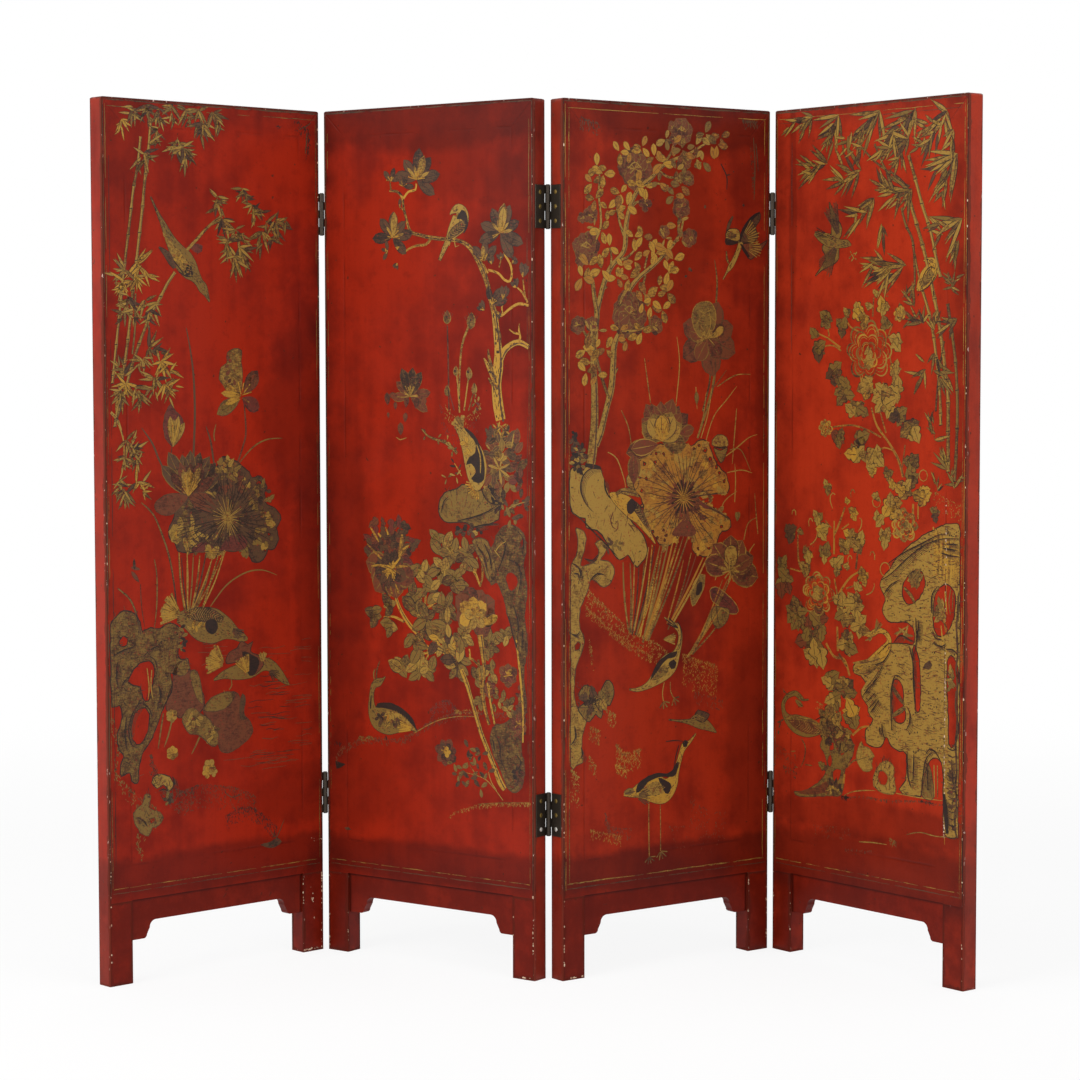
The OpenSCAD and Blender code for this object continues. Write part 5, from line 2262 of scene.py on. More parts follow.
            620), (128, 628), (150, 622), (158, 604), (150, 580), (156, 562), (172, 562), (170, 546), (146,
            536), (134, 540), (138, 512), (122, 486), (108, 458), (94, 430), (80, 412), (70, 396), (64,
            372), (62, 352), (50, 356), (46, 372), (28, 368), (26, 388), (34, 402), (24, 414), (20, 440),
            (30, 470), (26, 492), (10, 490), (8, 540)), (((26, 604), (34, 612), (44, 608), (42, 596), (30,
            594)), ((44, 532), (56, 552), (76, 564), (94, 562), (100, 544), (92, 512), (86, 494), (74, 500),
            (70, 520), (56, 524)), ((50, 456), (58, 476), (76, 484), (88, 470), (86, 446), (74, 424), (60,
            420), (50, 436))), (((14, 578), (32, 586), (58, 592)), ((76, 572), (92, 584), (112, 590)), ((90,
            572), (100, 566), (106, 552)), ((30, 520), (34, 530), (46, 540)), ((58, 486), (72, 492), (88,
            480), (94, 462)), ((70, 500), (62, 486), (50, 470), (44, 440), (52, 418), (66, 416)), ((40,
            470), (36, 440), (40, 410)), ((108, 520), (112, 500), (104, 476)), ((22, 566), (20, 540), (24,
            520)), ((36, 392), (44, 388), (50, 394))), OLIVE, 560, 2.2, INK, 0.62, (0, 60, 90, 120)),
            Foliage(160, 598, 8, 26, 14, 14, 0.5, (UMBER, OLIVE, INK), Shape.PETAL, Layer.BODY), Rock(((92,
            350), (100, 362), (118, 362), (134, 352), (138, 338), (128, 332), (116, 344), (104, 338)), (),
            (((136, 356), (140, 342), (132, 332)), ((108, 334), (116, 336), (128, 330))), OCHRE, 14),
            Rock(((52, 300), (70, 314), (78, 330), (90, 326), (86, 306), (108, 296), (116, 284), (106, 272),
            (92, 270), (84, 256), (70, 262), (58, 276)), (((86, 286), (96, 288), (98, 280), (88, 278)),),
            (((60, 292), (72, 286), (80, 274)),), OLIVE, 30, 1.2, UMBER), Foliage(128, 318, 10, 10, 8, 12,
            0.6, (OLIVE, UMBER), Shape.PETAL), Moss(((10, 470), (24, 430), (16, 380), (60, 330), (100, 300),
            (60, 260), (70, 230)), 26, 220, OLIVE, 3.2), Moss(((90, 400), (110, 360), (150, 330), (180,
            330)), 40, 200, UMBER, 3.0),)), Motif("water_and_moss", (Ripples((300, 352), (450, 580), 40,
            MAROON), Ripples((190, 540), (260, 600), 9, MAROON), Ripples((230, 352), (420, 385), 9, MAROON),
            Ripples((300, 420), (400, 520), 14, INK), Moss(((150, 325), (190, 335), (230, 330), (280, 320),
            (320, 300)), 44, 380, UMBER, 2.4), Moss(((255, 275), (300, 285), (340, 262), (366, 240)), 26,
            220, INK, 2.4), Lines((((250, 316), (268, 305), (288, 310)), ((352, 236), (366, 222), (384,
            252)), ((360, 222), (362, 236))), 1.8, UMBER), Wash(((330, 212), (352, 214), (366, 220), (378,
            212), (366, 204), (350, 204)), UMBER, None), Moss(((420, 1520), (440, 1512), (452, 1500), (446,
            1470)), 22, 46, INK, 3.2), Moss(((380, 1508), (386, 1510)), 5, 8, INK, 3), Lines((((430, 1505),
            (446, 1512), (456, 1518)), ((447, 1500), (446, 1480), (443, 1462))), 2.0, UMBER),), "ink"),
    Motif("ducks", (Fan(158, 640, 44, 156, 84, 12, 5.0, OCHRE), Fan(158, 640, 43, 156, 84, 11, 1.6, GOLD,
            0.3, Layer.LINE), Bird(((150, 636, 8), (176, 632, 20), (204, 622, 30), (232, 616, 30), (256,
            610, 20), (276, 600, 11), (292, 592, 8), (304, 588, 2)), ((170, 642, 6), (196, 640, 13), (224,
            636, 12), (250, 626, 5)), (286, 596), (), OLIVE, UMBER, 110), Foliage(190, 618, 22, 8, 9, 15,
            0.5, (OCHRE, GOLD), Shape.PETAL, Layer.DETAIL), Wash(((210, 622), (220, 630), (234, 626), (238,
            612), (228, 602), (214, 608)), INK, None, (), Layer.LINE), Fan(262, 612, 34, -30, 40, 6, 2.4,
            UMBER, 0.3), Fan(252, 546, 40, 156, 92, 12, 5.0, OCHRE), Fan(252, 546, 39, 156, 92, 12, 1.7,
            GOLD, 0.3, Layer.LINE), Bird(((228, 520, 1), (252, 528, 7), (280, 530, 13), (310, 532, 14),
            (336, 540, 12), (356, 536, 10), (372, 522, 9), (386, 508, 6), (398, 498, 0.8)), (), (352, 546),
            (), OLIVE, OLIVE, 40), Wash(((256, 548), (262, 566), (280, 574), (290, 586), (304, 578), (316,
            584), (310, 566), (330, 556), (340, 540), (326, 526), (312, 524), (300, 540), (282, 548)),
            MAROON, INK, (), Layer.BODY), Wash(((292, 566), (312, 560), (330, 548), (322, 526), (308, 522),
            (298, 540)), INK, None, (), Layer.DETAIL), Fan(306, 522, 38, 116, 56, 8, 4.4, OCHRE, 0.2,
            Layer.DETAIL), Fan(306, 522, 38, 116, 56, 8, 1.4, GOLD, 0.2, Layer.LINE), Fan(336, 542, 20, 84,
            60, 6, 2.8, OCHRE, 0.2, Layer.LINE), Fan(350, 530, 26, -38, 60, 7, 1.6, UMBER, 0.2, Layer.LINE),
            )), Motif("fallen_leaves", (Wash(((140, 540), (150, 556), (168, 560), (176, 544), (190, 520),
            (206, 494), (204, 470), (186, 462), (168, 470), (156, 458), (140, 466), (124, 476), (128, 500),
            (138, 520)), MAROON, INK), Wash(((150, 552), (166, 560), (176, 546), (164, 534), (148, 536)),
            OLIVE, UMBER, (), Layer.BODY), Wash(((176, 536), (186, 542), (196, 530), (202, 500), (204, 480),
            (194, 486), (184, 506)), OLIVE, UMBER, (), Layer.BODY), Wash(((158, 452), (166, 470), (184,
            474), (196, 464), (216, 452), (228, 434), (238, 420), (234, 404), (222, 402), (206, 416), (190,
            426), (174, 428)), OLIVE, UMBER, (), Layer.DETAIL), Foliage(182, 450, 18, 14, 10, 16, 0.6,
            (OCHRE, OLIVE), Shape.PETAL, Layer.DETAIL), Foliage(222, 426, 14, 16, 9, 14, 0.6, (OLIVE,
            OCHRE), Shape.PETAL, Layer.DETAIL), Wash(((204, 470), (222, 488), (250, 496), (276, 494), (288,
            480), (296, 450), (308, 440), (314, 420), (300, 404), (276, 392), (258, 386), (240, 394), (234,
            420), (222, 446), (206, 460)), MAROON, UMBER), Wash(((206, 468), (224, 488), (250, 496), (274,
            492), (262, 472), (236, 464)), OLIVE, UMBER, (), Layer.BODY), Wash(((286, 470), (292, 490),
            (298, 478), (294, 456), (298, 444), (286, 446)), UMBER, UMBER, (), Layer.BODY), Bloom(137, 398,
            13, 6, 1, 90, 360, GOLD, GOLD, GOLD, 0.9, OLIVE), Bloom(136, 464, 13, 6, 1, 90, 360, OCHRE,
            GOLD, GOLD, 0.9, OLIVE), Bloom(216, 366, 15, 5, 1, 90, 360, OCHRE, GOLD, GOLD, 0.9, OLIVE),
            Bloom(212, 356, 12, 4, 1, 90, 360, GOLD, GOLD, GOLD, 0.9, OLIVE), Bloom(226, 356, 10, 4, 1, 90,
            360, OCHRE, GOLD, GOLD, 0.9, OLIVE), Lines((((262, 500), (268, 508), (266, 520)), ((252, 494),
            (250, 500))), 2, OLIVE), Lines((((84, 552), (88, 520), (86, 498)), ((94, 548), (92, 520), (96,
            496))), 2.4, OCHRE),)),)



PANEL_2 = (Motif("magnolia", (Branch(((403, 984, 10.5), (397, 1012, 11), (394, 1045, 10), (398, 1080, 10.5),
            (398, 1105, 8), (394, 1140, 6.6), (390, 1172, 6)), GOLD, True, 60), Branch(((391, 1166, 6),
            (381, 1198, 4.6), (373, 1225, 4.6), (362, 1250, 5.4), (350, 1270, 5.2), (336, 1286, 4), (316,
            1297, 3), (290, 1301, 3), (252, 1305, 3), (222, 1311, 2.6), (202, 1318, 2.6), (193, 1340, 2.2),
            (186, 1364, 1.9), (184, 1378, 2.2), (172, 1389, 1.8), (154, 1391, 1.3)), GOLD, True, 26),
            Branch(((402, 1092, 8), (412, 1106, 6), (430, 1117, 5), (446, 1119, 4.6), (464, 1111, 4)),
            GOLD), Branch(((392, 1050, 5), (382, 1066, 4), (372, 1084, 3), (366, 1092, 0.8))), Branch(((388,
            1060, 4), (378, 1092, 2.6), (376, 1108, 0.6))), Branch(((394, 1040, 5), (382, 1050, 2.4), (376,
            1058, 0.6))), Branch(((400, 1120, 4), (402, 1132, 2), (400, 1140, 0.8))), *(Branch(p, GOLD,
            False, 3) for p in (((440, 1118, 2.6), (446, 1128, 2), (443, 1140, 1.6), (444, 1152, 0.8)),
            ((444, 1134, 1.6), (432, 1136, 1.5), (422, 1142, 0.8)), ((386, 1170, 3), (404, 1166, 2.2), (422,
            1177, 2.2), (442, 1186, 2.4), (464, 1183, 2)), ((408, 1168, 1.6), (406, 1180, 1.4), (412, 1190,
            0.8)), ((376, 1246, 2), (398, 1240, 2), (412, 1228, 2), (424, 1226, 2.4), (428, 1240, 2), (424,
            1256, 2), (414, 1270, 1.8), (409, 1284, 1.6), (404, 1304, 1.4)), ((462, 1188, 2), (452, 1204,
            1.8), (440, 1214, 1.2)), ((456, 1200, 1.6), (452, 1228, 1.2)), ((400, 1250, 1.3), (404, 1262,
            1)), ((376, 1240, 1.6), (366, 1256, 1.2)), ((186, 1376, 2), (198, 1388, 2), (214, 1391, 1.8),
            (216, 1402, 1.4)), ((250, 1306, 2.8), (238, 1294, 2.4), (216, 1292, 2), (197, 1286, 1.6), (184,
            1277, 1)), ((158, 1392, 1.6), (156, 1406, 1.2)), ((188, 1354, 1.5), (178, 1362, 1)), ((206,
            1312, 1.6), (180, 1310, 1.6), (162, 1309, 1.2)))), *(Bloom(u, z, r, n, 1, t, f, UMBER, MAROON,
            GOLD, 0.44, INK) for u, z, r, n, t, f in ((217, 1409, 52, 6, 88, 250), (161, 1308, 46, 6, 90,
            260), (403, 1310, 50, 7, 90, 300), (368, 1262, 36, 3, 110, 130), (158, 1408, 26, 3, 100, 170),
            (186, 1398, 24, 3, 90, 180), (178, 1360, 16, 1, 90, 1), (150, 1284, 18, 3, 200, 200), (172,
            1286, 16, 2, 90, 120), (172, 1262, 12, 2, 250, 90), (452, 1232, 26, 2, 90, 70), (438, 1214, 18,
            2, 130, 100), (384, 1186, 34, 3, 80, 140), (368, 1176, 20, 2, 150, 90), (408, 1194, 26, 2, 80,
            60), (404, 1262, 14, 2, 110, 90), (428, 1256, 14, 2, 50, 70), (384, 1256, 14, 2, 120, 90), (396,
            1174, 14, 2, -60, 80))), *(Bloom(u, z, r * 0.8, n, 1, t, f * 0.7, OCHRE, GOLD, GOLD, 0.24,
            UMBER) for u, z, r, n, t, f in ((217, 1409, 36, 5, 90, 200), (161, 1308, 32, 4, 90, 210), (403,
            1310, 34, 5, 90, 240), (368, 1262, 20, 2, 110, 90))), *(Bloom(u, z, r, 1, 1, t, 1, OCHRE, OCHRE,
            OCHRE, 0.42, UMBER) for u, z, r, t in ((219, 1408, 48, 68), (162, 1310, 40, 86), (404, 1310, 50,
            84), (366, 1264, 26, 90))),)), Motif("perched_bird", (Bird(((268, 1265, 2.4), (277, 1282, 4),
            (288, 1300, 6), (300, 1316, 13), (313, 1331, 18), (317, 1345, 15), (309, 1354, 9), (299, 1351,
            4.5), (292, 1345, 0.6)), ((286, 1300, 3), (298, 1312, 8), (314, 1322, 9), (326, 1330, 5)), (307,
            1353), (), OCHRE, UMBER, 30), Wash(((306, 1336), (318, 1352), (328, 1346), (332, 1326), (322,
            1310), (326, 1328), (316, 1336)), INK, None, (), Layer.DETAIL), Lines((((292, 1297), (290,
            1290)), ((302, 1300), (304, 1288), (312, 1290))), 2.2, OCHRE),)), Motif("peacock",
        (Branch(((288, 1000, 1.2), (287, 1080, 1.5), (285, 1150, 1.2)), MAROON, False, 20), Branch(((311,
            1000, 1.8), (312, 1060, 1.8), (318, 1115, 2), (334, 1150, 2.4)), OCHRE, False, 4), Branch(((312,
            996, 1.4), (306, 1062, 1.2)), OCHRE, False), Branch(((322, 1000, 1.4), (332, 1058, 1.2)), OCHRE,
            False), Branch(((332, 1000, 1.2), (344, 1036, 1)), OCHRE, False), Branch(((300, 1000, 1), (286,
            1040, 1)), PLUM, False), *(Bloom(u, z + r, r * 2.2, 1, 1, -90, 1, OLIVE, OLIVE, MAROON, 0.62,
            OCHRE) for u, z, r in ((285, 1166, 11), (339, 1160, 13), (304, 1070, 9), (333, 1067, 10), (345,
            1040, 9), (284, 1036, 9))), Clusters(((285, 1166), (339, 1160), (304, 1070), (333, 1067)), 1, 6,
            0.9, (INK,), Shape.DOT), Fan(286, 1150, 26, 90, 70, 6, 1.0, MAROON, 0.6), Fan(338, 1144, 28, 90,
            80, 7, 1.0, MAROON, 0.6), Moss(((282, 1010), (300, 990), (330, 990), (356, 1012)), 26, 90,
            OCHRE, 2.2), Moss(((270, 1008), (290, 960), (350, 985)), 30, 60, PLUM, 2.4), Foliage(350, 1012,
            10, 16, 8, 10, 0.5, (PLUM, OCHRE), Shape.PETAL), Fan(318, 965, 26, 118, 80, 8, 4.0, OCHRE),
            Bird(((302, 974, 3), (316, 962, 9), (330, 944, 16), (342, 922, 22), (347, 902, 22), (350, 882,
            19), (352, 866, 11), (354, 860, 3)), (), None, (), OCHRE, UMBER, 40), Wash(((322, 970), (342,
            960), (356, 940), (366, 912), (366, 880), (352, 872), (338, 880), (348, 892), (338, 906), (326,
            904), (334, 918), (346, 926), (346, 944), (332, 958)), INK, None, (), Layer.DETAIL),
            Lines((((350, 940), (358, 918), (358, 890)), ((362, 930), (370, 905), (368, 880))), 3, OCHRE),
            Fan(352, 868, 26, 220, 120, 10, 2.6, GOLD, 0.4, Layer.LINE), Foliage(330, 936, 12, 16, 10, 12,
            0.7, (GOLD, OCHRE), Shape.PETAL, Layer.DETAIL), Branch(((306, 924, 2.2), (292, 936, 2.6), (276,
            944, 2), (258, 948, 1.6), (240, 954, 1.2), (226, 966, 0.8)), OCHRE), Clusters(((236, 956), (262,
            950), (284, 946), (296, 930)), 3, 10, 0.4, (OCHRE, OLIVE)), Sprig(((316, 884), (305, 900), (300,
            906)), 14, 0.3, 6, INK, UMBER), Clusters(((283, 880), (304, 884)), 3, 14, 0.3, (OLIVE, OCHRE)),
            )), Motif("faded_blossoms", (Bloom(200, 1024, 46, 6, 1, 95, 250, MAROON, PLUM, OCHRE, 0.4,
            OLIVE), Bloom(200, 1024, 50, 3, 1, 95, 70, UMBER, MAROON, OCHRE, 0.4, OLIVE), *(Bloom(u, z, r
            * 0.85, 1, 1, t, 1, MAROON, PLUM, PLUM, 0.55, UMBER) for u, z, r, t in ((148, 1008, 26, 95),
            (166, 1000, 16, 90), (190, 1004, 24, 85), (212, 1002, 26, 80), (226, 1006, 22, 60), (188, 978,
            20, 88), (178, 954, 26, 92), (172, 1024, 24, 170), (150, 985, 12, 100))), Lines((((200, 1024),
            (180, 1022), (170, 1024)), ((168, 950), (176, 946), (192, 950))), 1.8, OCHRE), Foliage(408, 912,
            46, 62, 40, 27, 0.56, (MAROON, UMBER, MAROON, UMBER, OLIVE), Shape.LEAF, Layer.BODY, OLIVE),
            Foliage(404, 950, 26, 20, 8, 24, 0.56, (OLIVE, UMBER), Shape.LEAF, Layer.BODY, OCHRE),
            Bloom(400, 898, 26, 6, 1, 70, 300, OCHRE, OCHRE, OCHRE, 0.2, UMBER), Bloom(399, 912, 20, 4, 1,
            90, 120, OCHRE, GOLD, OCHRE, 0.5, UMBER), Clusters(((404, 972), (396, 968), (412, 966)), 4, 14,
            0.3, (GOLD,)), Foliage(376, 960, 8, 12, 4, 16, 0.6, (UMBER,)), Foliage(440, 880, 12, 20, 5, 18,
            0.6, (MAROON, PLUM)), Lines((((432, 960), (426, 935)), ((372, 940), (382, 930))), 3, OCHRE),),
        "ink"), Motif("boulder", (Rock(((264, 820), (268, 844), (284, 856), (306, 862), (322, 870), (340,
            858), (362, 862), (378, 878), (396, 878), (408, 858), (409, 838), (400, 824), (397, 810), (378,
            802), (350, 794), (320, 802), (290, 800), (272, 805)), (), (((270, 818), (276, 838), (286,
            846)), ((306, 804), (345, 813), (372, 822), (398, 836)), ((360, 864), (366, 850), (380, 838),
            (400, 836)), ((374, 872), (388, 862), (402, 866)), ((384, 856), (392, 846), (404, 850)), ((340,
            794), (370, 800), (398, 802))), OLIVE, 60, 2.0), Foliage(384, 862, 18, 10, 12, 14, 0.7, (OLIVE,
            OCHRE, INK), Shape.PETAL), Foliage(330, 788, 30, 10, 14, 12, 0.8, (INK, UMBER, INK, OCHRE),
            Shape.PETAL), Foliage(398, 838, 14, 16, 10, 14, 0.5, (INK, UMBER, OLIVE), Shape.PETAL),
            Rock(((384, 762), (396, 786), (412, 800), (436, 798), (452, 786), (458, 760), (452, 728), (460,
            690), (454, 640), (460, 590), (452, 540), (458, 490), (450, 446), (446, 410), (454, 376), (446,
            340), (428, 330), (412, 344), (398, 372), (384, 396), (378, 424), (388, 446), (408, 450), (432,
            470), (446, 510), (442, 560), (430, 604), (418, 640), (404, 684), (392, 700), (382, 694), (374,
            716), (366, 742)), (((414, 712), (424, 718), (438, 710), (438, 694), (426, 684), (416, 696)),
            ((444, 772), (450, 780), (454, 768), (448, 760))), (((400, 780), (412, 764), (406, 740), (396,
            720)), ((420, 740), (440, 732), (446, 706), (440, 680)), ((430, 660), (440, 630), (438, 600)),
            ((420, 640), (428, 610), (440, 580)), ((450, 620), (448, 580)), ((440, 790), (452, 776), (450,
            750)), ((390, 430), (400, 410), (400, 390), (412, 366)), ((384, 420), (388, 400)), ((436, 396),
            (446, 386), (440, 372)), ((428, 366), (440, 356), (436, 342))), OLIVE, 190, 1.8, UMBER, 0.75),
            Rock(((340, 770), (362, 776), (378, 764), (388, 736), (390, 712), (380, 700), (370, 708), (362,
            730), (350, 748)), (), (((366, 766), (378, 744), (382, 720)), ((352, 760), (366, 742), (372,
            720))), OLIVE, 40, 1.6, UMBER), Foliage(444, 470, 12, 50, 22, 13, 0.6, (MAROON, OLIVE, UMBER,
            MAROON)), Foliage(440, 360, 12, 20, 12, 12, 0.6, (INK, UMBER, MAROON)), Clusters(((446, 846),
            (420, 832), (434, 818), (452, 838), (424, 812)), 3, 18, 0.5, (OLIVE, UMBER)), Lines((((420,
            830), (440, 838), (456, 842)), ((390, 752), (400, 764), (414, 772)), ((388, 756), (400, 744))),
            2, OCHRE),)), Motif("dark_bloom", (*(Foliage(u, z, w, h, n, 26, 0.62, (UMBER, MAROON, UMBER,
            PLUM), Shape.PETAL) for u, z, w, h, n in ((152, 752, 52, 40, 40), (104, 764, 10, 6, 3), (206,
            762, 10, 10, 3), (152, 795, 46, 8, 6), (112, 744, 16, 16, 6))), Bloom(155, 716, 58, 7, 1, -90,
            190, MAROON, MAROON, GOLD, 0.78, OLIVE), Bloom(150, 712, 40, 6, 1, -90, 190, UMBER, MAROON,
            GOLD, 0.8, PLUM), Bloom(152, 716, 34, 9, 1, 90, 360, UMBER, UMBER, GOLD, 0.5, INK), *(Branch(p,
            GOLD, False, 0, Layer.LINE) for p in (((106, 786, 1), (116, 774, 2.4), (126, 760, 0.8)), ((98,
            756, 0.8), (116, 742, 2), (132, 730, 1.6)), ((142, 788, 1), (148, 774, 2)), ((124, 776, 1.4),
            (131, 770, 2)), ((180, 776, 2), (178, 758, 4), (172, 740, 2)), ((196, 757, 1), (184, 748, 4),
            (172, 734, 2)), ((108, 716, 1), (130, 718, 2.4), (152, 714, 3)), ((192, 718, 1), (174, 718,
            2.2), (156, 712, 3)), ((176, 734, 1), (164, 722, 2.4), (156, 714, 2)), ((134, 704, 1), (150,
            710, 2)), ((152, 680, 0.8), (156, 668, 2), (150, 662, 1)), ((164, 686, 1), (172, 668, 2)))),
            Clusters(((155, 716),), 7, 12, 0.4, (GOLD,)),), "ink"), Motif("peony_bush", (*(Branch(p, GOLD,
            False, 4) for p in (((160, 672, 3), (174, 642, 3.4), (194, 616, 4), (222, 592, 3.4), (236, 576,
            3), (272, 570, 3.4), (290, 558, 2)), ((136, 624, 1.6), (160, 626, 2), (184, 618, 2.4)), ((232,
            640, 2), (235, 690, 2.6), (242, 724, 1.6)), ((196, 650, 1.6), (230, 644, 2.6), (262, 662, 1.6)),
            ((330, 730, 2), (345, 714, 2.6), (356, 692, 1.6)), ((350, 742, 1.6), (346, 716, 2.2)), ((316,
            720, 1.4), (340, 722, 2)), ((206, 558, 1.6), (240, 566, 2.4), (276, 570, 2.4)), ((228, 548,
            1.4), (240, 564, 1.8), (230, 584, 1.4)), ((250, 584, 4), (272, 574, 4.5)), ((324, 560, 2), (338,
            560, 2.2), (354, 548, 1.4)), ((332, 578, 1.4), (334, 560, 1.8)), ((360, 740, 1.6), (362, 710,
            2), (356, 690, 2)), ((300, 766, 1.6), (318, 752, 2.2)))), Foliage(258, 770, 8, 16, 3, 40, 0.6),
            Foliage(292, 750, 24, 24, 8, 32, 0.7), Foliage(222, 712, 20, 14, 5, 34, 0.7), Foliage(268, 712,
            24, 18, 7, 34, 0.7), Foliage(300, 700, 20, 20, 6, 30, 0.7), Foliage(328, 742, 22, 26, 8, 30,
            0.66), Foliage(246, 676, 24, 22, 7, 34, 0.7), Foliage(208, 656, 18, 26, 7, 34, 0.7),
            Foliage(278, 650, 20, 24, 6, 38, 0.56), Foliage(232, 618, 18, 26, 7, 36, 0.6), Foliage(276, 622,
            14, 22, 5, 38, 0.5), Foliage(112, 626, 14, 14, 4, 34, 0.7), Foliage(148, 648, 8, 14, 3, 32,
            0.6), Foliage(148, 608, 10, 12, 3, 32, 0.7), Foliage(178, 540, 16, 14, 5, 34, 0.66),
            Foliage(214, 540, 18, 22, 8, 34, 0.6), Foliage(242, 536, 14, 18, 5, 30, 0.7), Foliage(210, 584,
            20, 14, 6, 30, 0.7), Foliage(276, 586, 34, 26, 15, 30, 0.6, (OCHRE, OLIVE, GOLD, UMBER)),
            Foliage(304, 548, 26, 24, 12, 34, 0.6, (OLIVE, OCHRE, UMBER, OLIVE)), Foliage(320, 600, 20, 22,
            8, 26, 0.7), Foliage(378, 590, 20, 24, 9, 26, 0.7), Foliage(350, 530, 14, 16, 4, 24, 0.7),
            Foliage(378, 540, 12, 22, 6, 22, 0.7), Foliage(398, 492, 24, 18, 8, 18, 0.6), Foliage(356, 486,
            12, 14, 5, 18, 0.7), Foliage(412, 606, 14, 14, 5, 24, 0.7), Foliage(420, 480, 12, 20, 6, 18,
            0.6), Bloom(345, 645, 48, 7, 1, 90, 300, MAROON, MAROON, GOLD, 0.8, UMBER), Bloom(340, 640, 34,
            5, 1, 120, 300, GOLD, GOLD, GOLD, 0.76, OCHRE), Bloom(348, 636, 26, 5, 1, 60, 360, OCHRE, OLIVE,
            GOLD, 0.7, UMBER), Bloom(364, 622, 36, 1, 1, 28, 1, GOLD, GOLD, GOLD, 0.4, OCHRE), Bloom(418,
            536, 22, 6, 2, 90, 360, MAROON, PLUM, GOLD, 0.8, OLIVE), Bloom(424, 540, 10, 3, 1, 160, 120,
            GOLD, GOLD, GOLD, 0.7, OCHRE), Bloom(376, 510, 16, 6, 2, 90, 360, PLUM, MAROON, GOLD, 0.8,
            OLIVE), Bloom(440, 452, 20, 6, 2, 90, 360, MAROON, PLUM, GOLD, 0.8, OLIVE), *(Branch(p, GOLD,
            True, 6) for p in (((314, 540, 4), (326, 516, 4.4), (332, 500, 3.6), (345, 465, 3.8), (358, 430,
            4), (372, 402, 4.4), (388, 370, 4.6), (400, 346, 6), (410, 334, 5)), ((356, 604, 6), (362, 570,
            4.4), (366, 540, 3), (362, 506, 3), (366, 476, 3.4), (376, 446, 2.6)), ((352, 560, 2), (356,
            530, 2), (358, 500, 1.8)), ((372, 520, 1.6), (380, 480, 1.8), (388, 448, 1.6)), ((436, 600,
            1.6), (444, 540, 2), (450, 480, 1.8), (450, 420, 1.4)))),)), Motif("quail", (Bird(((213, 421,
            0.8), (196, 431, 9), (170, 436, 20), (145, 438, 27), (122, 441, 22), (108, 456, 9), (107, 480,
            4.6), (112, 498, 5.6), (124, 505, 7), (134, 511, 2), (139, 516, 0.6)), ((206, 424, 2), (182,
            438, 11), (158, 446, 13), (138, 442, 8)), (122, 506), (), OLIVE, OCHRE, 60), Wash(((116, 458),
            (120, 466), (150, 469), (176, 462), (200, 446), (212, 424), (194, 438), (170, 452), (140, 458)),
            INK, None, (), Layer.DETAIL), Foliage(150, 436, 30, 9, 16, 15, 0.5, (AMBER, UMBER, UMBER, OCHRE,
            AMBER), Shape.PETAL, Layer.LINE, INK), Foliage(128, 440, 9, 10, 5, 13, 0.5, (INK, UMBER),
            Shape.PETAL, Layer.LINE, INK), Lines((((118, 510), (120, 528), (127, 544)), ((114, 508), (112,
            520), (116, 530))), 3, OLIVE), Fan(210, 424, 40, 172, 40, 7, 2, GOLD, 0.3, Layer.LINE),
            Lines((((104, 455), (106, 480)), ((140, 408), (142, 400))), 3, INK),)), Motif("bank_and_moss",
        (Moss(((22, 358), (34, 376), (60, 390), (100, 402), (165, 404), (205, 420), (240, 440), (270, 452),
            (310, 463), (350, 466), (400, 468), (450, 478)), 12, 420, MAROON, 3.0), Moss(((80, 402), (110,
            404)), 8, 30, OLIVE, 3.2), Moss(((244, 462), (262, 478), (286, 482), (300, 470)), 22, 120, PLUM,
            3.0), Moss(((300, 466), (350, 470)), 6, 40, OCHRE, 2.4), Lines((((206, 418), (240, 436), (270,
            448), (310, 456), (350, 458)),), 1.2, OCHRE, Layer.WASH), Bloom(278, 390, 26, 7, 2, 90, 360,
            MAROON, UMBER, GOLD, 0.66, PLUM), Bloom(281, 390, 10, 4, 1, 90, 360, GOLD, GOLD, GOLD, 0.9,
            OCHRE), Lines((((406, 314), (386, 334), (362, 350), (318, 357)), ((392, 330), (380, 345), (374,
            362)), ((348, 353), (330, 372))), 1.8, OCHRE, Layer.BODY), Clusters(((296, 372), (306, 352),
            (318, 362), (330, 400), (330, 376), (352, 362), (332, 346), (356, 332), (358, 392), (372, 362),
            (312, 342), (342, 388)), 3, 15, 0.5, (UMBER, OLIVE, OLIVE)), Moss(((286, 276), (312, 288), (350,
            300), (404, 308), (464, 314)), 6, 150, OCHRE, 2.2), Lines((((350, 302), (400, 309), (464, 315)),
            ), 1.3, OCHRE, Layer.WASH), Wash(((20, 352), (32, 350), (44, 348), (30, 340), (22, 338)), INK,
            None), Wash(((40, 230), (50, 232), (56, 228), (46, 226)), UMBER, None), Moss(((20, 388), (30,
            386)), 6, 8, INK, 3),), "ink"),)



